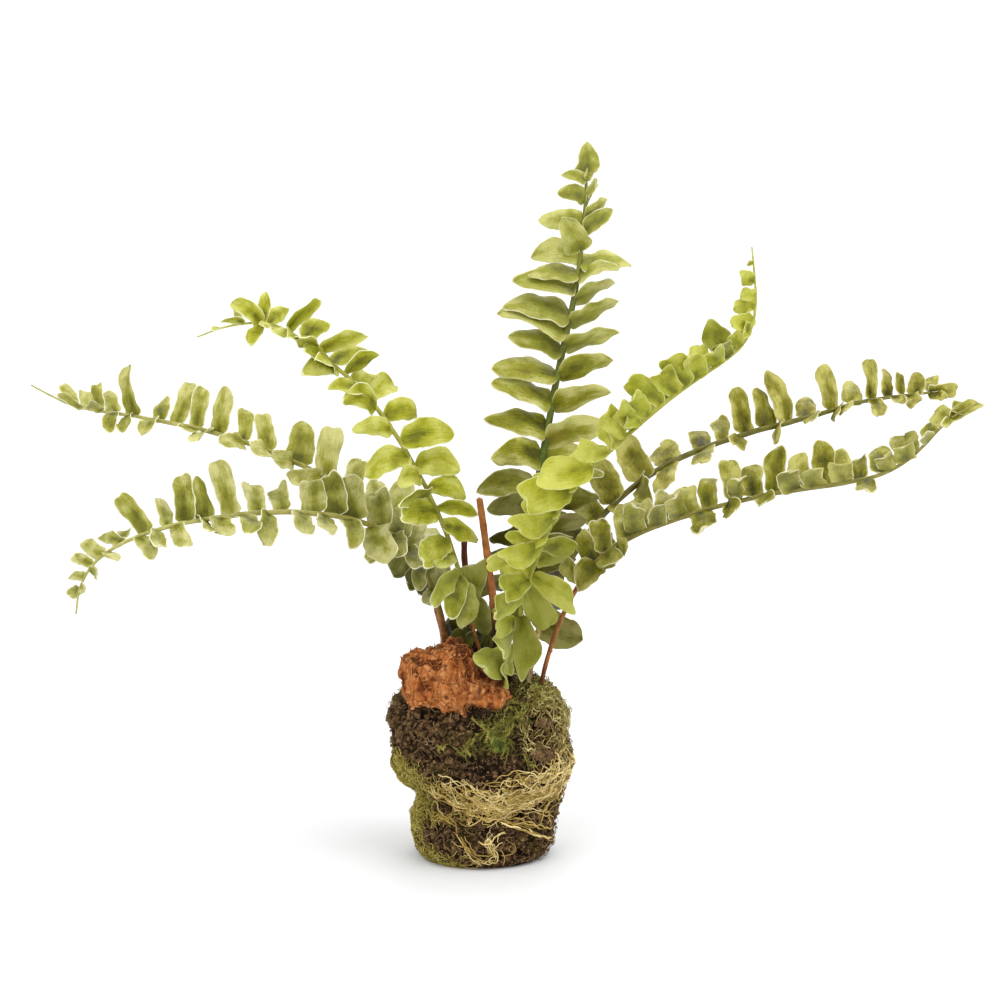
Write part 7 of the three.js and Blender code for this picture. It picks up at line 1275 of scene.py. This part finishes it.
# ---- tan roots: each guide is followed by many roots, then a tangle of short ones
GUIDES = [
    ("band", 26, 4.2, 24, 0.24, [(-20.9, 34.6), (-17.2, 30.4), (-12.3, 27.9), (-7.0, 24.6), (-1.6, 22.1), (3.3, 20.4), (9.4, 22.1), (15.6, 24.6), (21.7, 26.6), (27.9, 28.7), (32.8, 31.2), (35.7, 34.6)]),
    ("band", 22, 3.4, 22, 0.23, [(-19.7, 33.3), (-13.1, 32.1), (-5.7, 30.4), (1.2, 28.7), (7.4, 27.5), (13.5, 26.6), (19.7, 26.6), (25.8, 27.9), (32.0, 30.4), (35.7, 32.9)]),
    ("band", 22, 3.0, 18, 0.23, [(-6.6, 24.6), (-0.8, 20.4), (3.3, 17.9), (7.4, 19.6), (12.3, 22.1), (17.6, 23.3), (23.8, 24.6), (29.9, 27.1), (34.4, 29.6)]),
    ("band", 17, 3.6, 20, 0.22, [(0.8, 27.9), (7.4, 32.1), (12.3, 34.6), (17.6, 34.6), (23.0, 35.0), (27.9, 37.9), (32.8, 42.0), (35.7, 45.4)]),
    ("band", 16, 2.6, 16, 0.24, [(-18.9, 30.8), (-14.8, 27.1), (-9.8, 22.9), (-4.9, 19.6), (-0.8, 17.9)]),
    ("band", 12, 3.0, 18, 0.22, [(18.9, 30.0), (25.8, 32.9), (31.2, 36.2), (35.3, 40.4)]),
    ("band", 6, 1.6, 20, 0.24, [(32.0, 57.0), (34.4, 51.6), (35.7, 45.4), (36.1, 39.1), (35.7, 32.9)]),
    ("band", 4, 1.4, 14, 0.22, [(21.7, 47.5), (25.8, 44.5), (30.3, 42.9), (34.4, 42.5)]),
    ("upper", 5, 1.2, 26, 0.32, [(1.6, 18.3), (7.4, 16.2), (12.3, 14.6), (17.6, 12.1), (23.0, 9.2), (29.1, 6.2)]),
    ("upper", 6, 2.2, 18, 0.24, [(5.7, 17.5), (13.5, 16.7), (19.7, 15.4), (25.8, 13.3), (29.9, 12.1)]),
    ("upper", 4, 1.6, 16, 0.24, [(-21.3, 17.5), (-17.2, 18.3), (-13.1, 17.1), (-10.7, 14.6), (-8.6, 10.8)]),
    ("upper", 3, 1.5, 14, 0.22, [(15.6, 22.1), (20.5, 19.6), (25.8, 18.3), (30.3, 17.1)]),
    ("lower", 5, 1.3, 15, 0.24, [(-11.1, 13.7), (-8.6, 10.0), (-6.6, 5.8), (-4.1, 2.5), (-0.8, 0.0), (2.0, -1.2)]),
    ("lower", 5, 1.4, 14, 0.2, [(7.0, 14.2), (3.7, 11.7), (2.0, 7.9), (3.7, 4.6), (6.1, 1.2), (5.7, -1.2), (1.6, -1.7)]),
    ("lower", 3, 1.6, 12, 0.22, [(-11.1, 7.1), (-8.2, 2.9), (-3.3, 0.4), (3.3, -0.4), (8.2, 1.2)]),
]
def along(r, guide, count, spread, length, rad, back=False, k=16, curl=1.0, lift=0.7):
    g = np.array(guide, float)
    if back:
        T0, S0 = np.radians(g[:, 0]), s_of_z(g[:, 1])
    else:
        T0, S0 = front(g[:, 0], g[:, 1])
        T0 = np.unwrap(T0)
    P0 = bare(T0, S0)
    cum = np.concatenate([[0], np.cumsum(np.linalg.norm(np.diff(P0, axis=0), axis=1))])
    tot = cum[-1]
    L = np.minimum(length * r.uniform(0.55, 1.3, count), tot)
    st = r.uniform(0, 1, count) * np.maximum(tot - L, 0) + r.randn(count) * 1.0
    w = np.linspace(0, 1, k)[None]
    at = np.clip(st[:, None] + L[:, None] * w, 0, tot)
    T = np.interp(at, cum, T0); Sx = np.interp(at, cum, S0)
    off = r.randn(count, 1) * spread * 0.55
    for f in (0.7, 1.7, 3.3):
        off = off + spread * 0.42 * curl / f ** 0.6 * np.sin(2 * np.pi * f * w + r.uniform(0, 6.28, (count, 1))) * r.uniform(0.2, 1, (count, 1))
    rad_ = np.maximum(np.interp(Sx, _fs, _fa), 5)
    # sideways wander, across the guide's own direction
    dT = np.gradient(T0 * 1.0, cum + 1e-6 * np.arange(len(cum))); dS = np.gradient(S0, cum + 1e-6 * np.arange(len(cum)))
    tx = np.interp(at, cum, dT) * rad_; ts = np.interp(at, cum, dS)
    nn = np.hypot(tx, ts) + 1e-6
    T = T - off * ts / nn / rad_
    Sx = np.clip(Sx + off * tx / nn, _s[1] + 0.5, S_MAX - 1)
    pr = 0.35 + lift * r.uniform(0.1, 1.6, (count, 1)) * (0.55 + 0.45 * np.sin(2 * np.pi * w * r.uniform(0.6, 2.2, (count, 1)) + r.uniform(0, 6.28, (count, 1))))
    C = ball(T, Sx, pr + 0.3)
    R = rad * r.uniform(0.55, 1.35, (count, 1)) * taper(k, 0.55)[None]
    return C, R, r.uniform(0, 1, count)

r = np.random.RandomState(12)
band, upper, lower, backs = [], [], [], []
for kind, count, spread, length, rad, pts in GUIDES:
    dest = {"band": band, "upper": upper, "lower": lower}[kind]
    dest.append(along(r, pts, count, spread, length, rad, curl=1.5 if kind == "band" else 1.0, lift=0.9))
backs.append(along(r, [[-8, 37], [15, 35], [40, 33], [65, 31], [90, 33], [115, 36], [140, 35], [165, 33]], 70, 4.2, 34, 0.29, True, curl=1.5))
band.append(along(r, [[-30, 36], [-8, 37], [15, 35], [40, 33]], 38, 3.4, 26, 0.29, True, curl=1.5))
backs.append(along(r, [[30, 22], [48, 18], [66, 15], [84, 17], [102, 20], [120, 19], [138, 15]], 26, 2.0, 40, 0.30, True))
# tangles
def tangle(r, count, zones, length, rad, lift=0.9, curl=0.8, k=12):
    a_, s_ = scatter(r, count, zones)
    C = lying(r, a_, s_, r.uniform(0, 2 * np.pi, count), length * r.uniform(0.5, 1.4, count), k, curl, lift * r.uniform(0.2, 1.4, count), 0.6)
    return C, rad * r.uniform(0.6, 1.3, (count, 1)) * taper(k, 0.5)[None], r.uniform(0.1, 1, count)
band.append(tangle(r, 340, [(-13.1, 28.7, 5.7, 3.7, 1), (-4.9, 24.6, 6.6, 3.7, 1.2), (3.3, 22.5, 6.6, 4.2, 1.2), (11.5, 26.6, 7.4, 4.6, 1), (20.5, 28.7, 7.4, 4.2, 1), (28.7, 32.9, 5.7, 5.8, 1), (32.8, 40.4, 2.9, 5.8, 0.8), (-1.6, 21.2, 4.9, 3.3, 1)], 7.0, 0.21, curl=1.3))
lower.append(tangle(r, 22, [(-2.9, 2.9, 5.7, 3.7, 1), (5.3, 4.6, 3.3, 4.2, 1), (27.1, 13.7, 3.7, 2.5, 1.2), (-11.1, 16.2, 4.9, 2.1, 0.6)], 9.0, 0.22))
add_lying("root_fibre_mat", ROOT_MAT, ["root_fibre_band"], band)
add_lying("root_strands_upper", ROOT_MAT, ["root_strand_upper"], upper)
add_lying("root_strands_lower", ROOT_MAT, ["root_strand_lower"], lower)
add_lying("root_strands_back", ROOT_MAT, ["root_strand_back"], backs)
# fine brown rootlets everywhere in the soil
n = 1500
tb = r.uniform(0, 2 * np.pi, n); sb = _s[1] + 2 + (S_MAX - _s[1] - 4) * r.uniform(0, 1, n)
C = lying(r, tb, sb, r.uniform(0, 6.28, n), r.uniform(2, 7, n), 9, 0.9, 0.9 * r.uniform(0.2, 1.4, n), 0.15)
add_lying("root_ball_rootlets", strand_material("rootlet", [(0.2, srgb(58, 38, 18)), (0.6, srgb(120, 92, 56)), (0.9, srgb(186, 162, 118))]), ["root_ball"], [(C, 0.12 * r.uniform(0.6, 1.4, (n, 1)) * taper(9)[None], r.uniform(0, 1, n))])

# ---------------------------------------------------------------- bark fibre chunk
cx, cz = CHUNK_CENTRE
O = np.vstack([CHUNK_OUTLINE, CHUNK_OUTLINE[:1]])
lc = np.concatenate([[0], np.cumsum(np.linalg.norm(np.diff(O, axis=0), axis=1))])
NA, NK = 260, 150
aa = np.linspace(0, lc[-1], NA, endpoint=False)
ox, oz = np.interp(aa, lc, O[:, 0]), np.interp(aa, lc, O[:, 1])
kk = -np.cos(np.linspace(0.03, np.pi - 0.03, NK))
sk = np.maximum(1 - np.abs(kk) ** 2.6, 0) ** 0.45
X = cx + (ox - cx)[:, None] * sk[None]
Z = cz + (oz - cz)[:, None] * sk[None]
Y = CHUNK_Y + kk[None] * CHUNK_HALF - 4.5 * np.clip((74 - Z) / 8, 0, 1)
P = np.stack([X, Y, Z], -1)
dN = unit(np.cross(np.gradient(P, axis=0), np.gradient(P, axis=1)))
if (dN[5, NK // 2] @ (P[5, NK // 2] - np.array([cx, CHUNK_Y, cz]))) < 0:
    dN = -dN
dN = dN.reshape(-1, 3); p = P.reshape(-1, 3)
def chunk_out(p):
    d = 3.0 * fbm(p, 0.11, 2, 21.0) + 1.5 * fbm(p, 0.26, 2, 22.0)
    r1 = 1 - np.abs(vnoise(p * [1, 1, 0.55], 0.5, 24.0)) * 2
    r2 = 1 - np.abs(vnoise(p * [1, 1, 0.6], 1.2, 25.0)) * 2
    return d - 1.5 * chunk_pit(p) - 0.5 * np.maximum(r1, -0.3) - 0.16 * np.maximum(r2, -0.4) + 0.14 * vnoise(p, 2.7, 26.0) - 0.2
def chunk_pit(p):
    return np.clip(vnoise(p * [1, 1, 0.7], 0.22, 23.0) - 0.20, 0, 0.5) * 1.3 + np.clip(vnoise(p * [1, 1, 0.6], 0.44, 27.0) - 0.34, 0, 0.5)
# painted shade: darker in the hollows and crevices, over the top right and along the bottom where it sits on the ball
chunk_low = np.clip(chunk_pit(p) * 1.3 + 0.5 * np.clip(1 - np.abs(vnoise(p * [1, 1, 0.55], 0.5, 24.0)) * 3, 0, 1)
                    + 0.8 * np.clip((p[:, 2] - 87 - 5.0 * fbm(p, 0.15, 2, 28.0)) / 5, 0, 1) * np.clip((p[:, 0] + 14) / 5, 0, 1)
                    + 0.8 * np.clip((64 - p[:, 2]) / 4, 0, 1), 0, 1)
p2 = p + dN * chunk_out(p)[:, None]
q = np.arange(NA)[:, None] * NK + np.arange(NK - 1)[None]
q2 = ((np.arange(NA) + 1) % NA)[:, None] * NK + np.arange(NK - 1)[None]
f = np.stack([q, q + 1, q2 + 1, q2], -1).reshape(-1, 4)
i = np.arange(NA)
n0 = len(p2)
V = np.vstack([p2, [p2.reshape(NA, NK, 3)[:, 0].mean(0)], [p2.reshape(NA, NK, 3)[:, -1].mean(0)]])
f1 = np.stack([np.full(NA, n0), i * NK, ((i + 1) % NA) * NK], 1)
f2 = np.stack([np.full(NA, n0 + 1), ((i + 1) % NA) * NK + NK - 1, i * NK + NK - 1], 1)
a0, a1, a2 = V[f[NK // 2][0]], V[f[NK // 2][1]], V[f[NK // 2][2]]
fl = [f, f1, f2]
if np.cross(a1 - a0, a2 - a0) @ dN[f[NK // 2][0]] < 0:
    fl = [x[:, ::-1] for x in fl]
b = Builder(); b.add(V, fl, low=np.append(chunk_low, [0.5, 0.5]))
o = b.make("bark_fibre_chunk", CHUNK_MAT)
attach(o, "root"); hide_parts("fibre_chunk")
r = np.random.RandomState(31)
pick = r.choice(len(p2), 420)
keep = p2[pick][:, 1] < 200
R = 0.22 + 0.75 * r.uniform(0, 1, len(pick)) ** 2.6
b = Builder(); crumbs(b, p2[pick] - dN[pick] * (R * 0.1)[:, None], R, 32)
o = b.make("bark_fibre_crumbs", CHUNK_MAT, False)
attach(o, "root"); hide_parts("fibre_chunk")
n = 750
pick = r.choice(len(p2), n)
k = 8
C = np.zeros((n, k, 3))
dirn = unit(r.randn(n, 3)); dirn = unit(dirn - dN[pick] * (dirn * dN[pick]).sum(1)[:, None] * 0.8)
side2 = np.cross(dN[pick], dirn)
L = r.uniform(1.5, 5.5, n); bend = r.randn(n) * 0.7; lift = r.uniform(0.1, 1.2, n)
for q_ in range(k):
    w = q_ / (k - 1) - 0.5
    C[:, q_] = p2[pick] + dN[pick] * (0.15 + lift * (0.5 - 2 * (w - 0.1) ** 2))[:, None] + dirn * (L * w)[:, None] + side2 * (bend * L * (w ** 2 - 0.08))[:, None]
R = 0.09 * r.uniform(0.6, 1.4, (n, 1)) * taper(k)[None]
add_lying("bark_fibre_threads", CHUNK_FIBRE_MAT, ["fibre_chunk"], [(C, R, r.uniform(0, 1, n))])
# dark hairs along its upper left edge and in its hollows
up = np.where((dN[:, 2] > 0.35) & (p2[:, 1] < -12))[0]
lo = np.where(chunk_low > 0.8)[0]
pick = np.concatenate([r.choice(up, 260), r.choice(lo, 240)])
n = len(pick); k = 8
C = np.zeros((n, k, 3))
d0 = unit(dN[pick] * 0.6 + r.randn(n, 3) * 0.6 + np.array([0, 0, 0.15]))
bend = r.randn(n, 3) * 0.9
L = r.uniform(0.8, 3.0, n)
for q_ in range(k):
    w = q_ / (k - 1)
    C[:, q_] = p2[pick] - dN[pick] * 0.3 + (d0 * w + bend * 0.35 * w * w) * L[:, None]
R = 0.10 * r.uniform(0.7, 1.5, (n, 1)) * taper(k)[None]
add_lying("bark_fibre_hairs", DARK_FIBRE_MAT, ["fibre_chunk"], [(C, R, r.uniform(0, 1, n))])


# ---------------------------------------------------------------- floor, light, camera
def plain(name, colour, rough):
    m, nt, bs, out = mat(name)
    bs.inputs["Base Color"].default_value = (*colour, 1)
    bs.inputs["Roughness"].default_value = rough
    bs.inputs["Specular IOR Level"].default_value = 0.1
    return m
fm = bpy.data.meshes.new("floor")
S = 60.0
fm.from_pydata([(-S, -S, 0), (S, -S, 0), (S, S, 0), (-S, S, 0)], [], [(0, 1, 2, 3)])
floor_mat = plain("floor_white", (0.752, 0.76, 0.772), 1.0)
fm.materials.append(floor_mat)
floor = bpy.data.objects.new("floor", fm)
scene.collection.objects.link(floor)

w = bpy.data.worlds.new("studio")
scene.world = w
w.use_nodes = True
bgn = w.node_tree.nodes["Background"]
bgn.inputs[0].default_value = (1.0, 1.0, 1.0, 1)
bgn.inputs[1].default_value = 1.0

def soft_light(name, towards, strength, angle, colour=(1, 1, 1)):
    """A wide distant light: soft edged, and even over the whole floor."""
    l = bpy.data.lights.new(name, "SUN")
    l.energy = strength
    l.angle = math.radians(angle)
    l.color = colour
    o = bpy.data.objects.new(name, l)
    scene.collection.objects.link(o)
    o.rotation_euler = Vector(towards).to_track_quat("-Z", "Y").to_euler()
    return o
soft_light("key", (-0.55, 0.34, -1.1), 1.40, 50)
soft_light("fill", (0.6, 0.90, -0.75), 0.82, 50)
soft_light("back", (-0.15, -0.9, -0.9), 0.85, 40)

T0 = Vector((0.0074, 0.0, 0.1495))
D = 1.5
el = math.radians(10)
cam = bpy.data.cameras.new("camera")
cam.sensor_width = 36.0
cam.lens = 18.0 / math.tan(math.radians(7.79))
cam.clip_start, cam.clip_end = 0.05, 50.0
co = bpy.data.objects.new("camera", cam)
scene.collection.objects.link(co)
co.location = T0 + Vector((0, -D * math.cos(el), D * math.sin(el)))
co.rotation_euler = (T0 - co.location).to_track_quat("-Z", "Y").to_euler()
scene.camera = co
scene.view_settings.view_transform = "Standard"
scene.view_settings.look = "None"
scene.view_settings.exposure = 0.0
scene.view_settings.gamma = 1.0
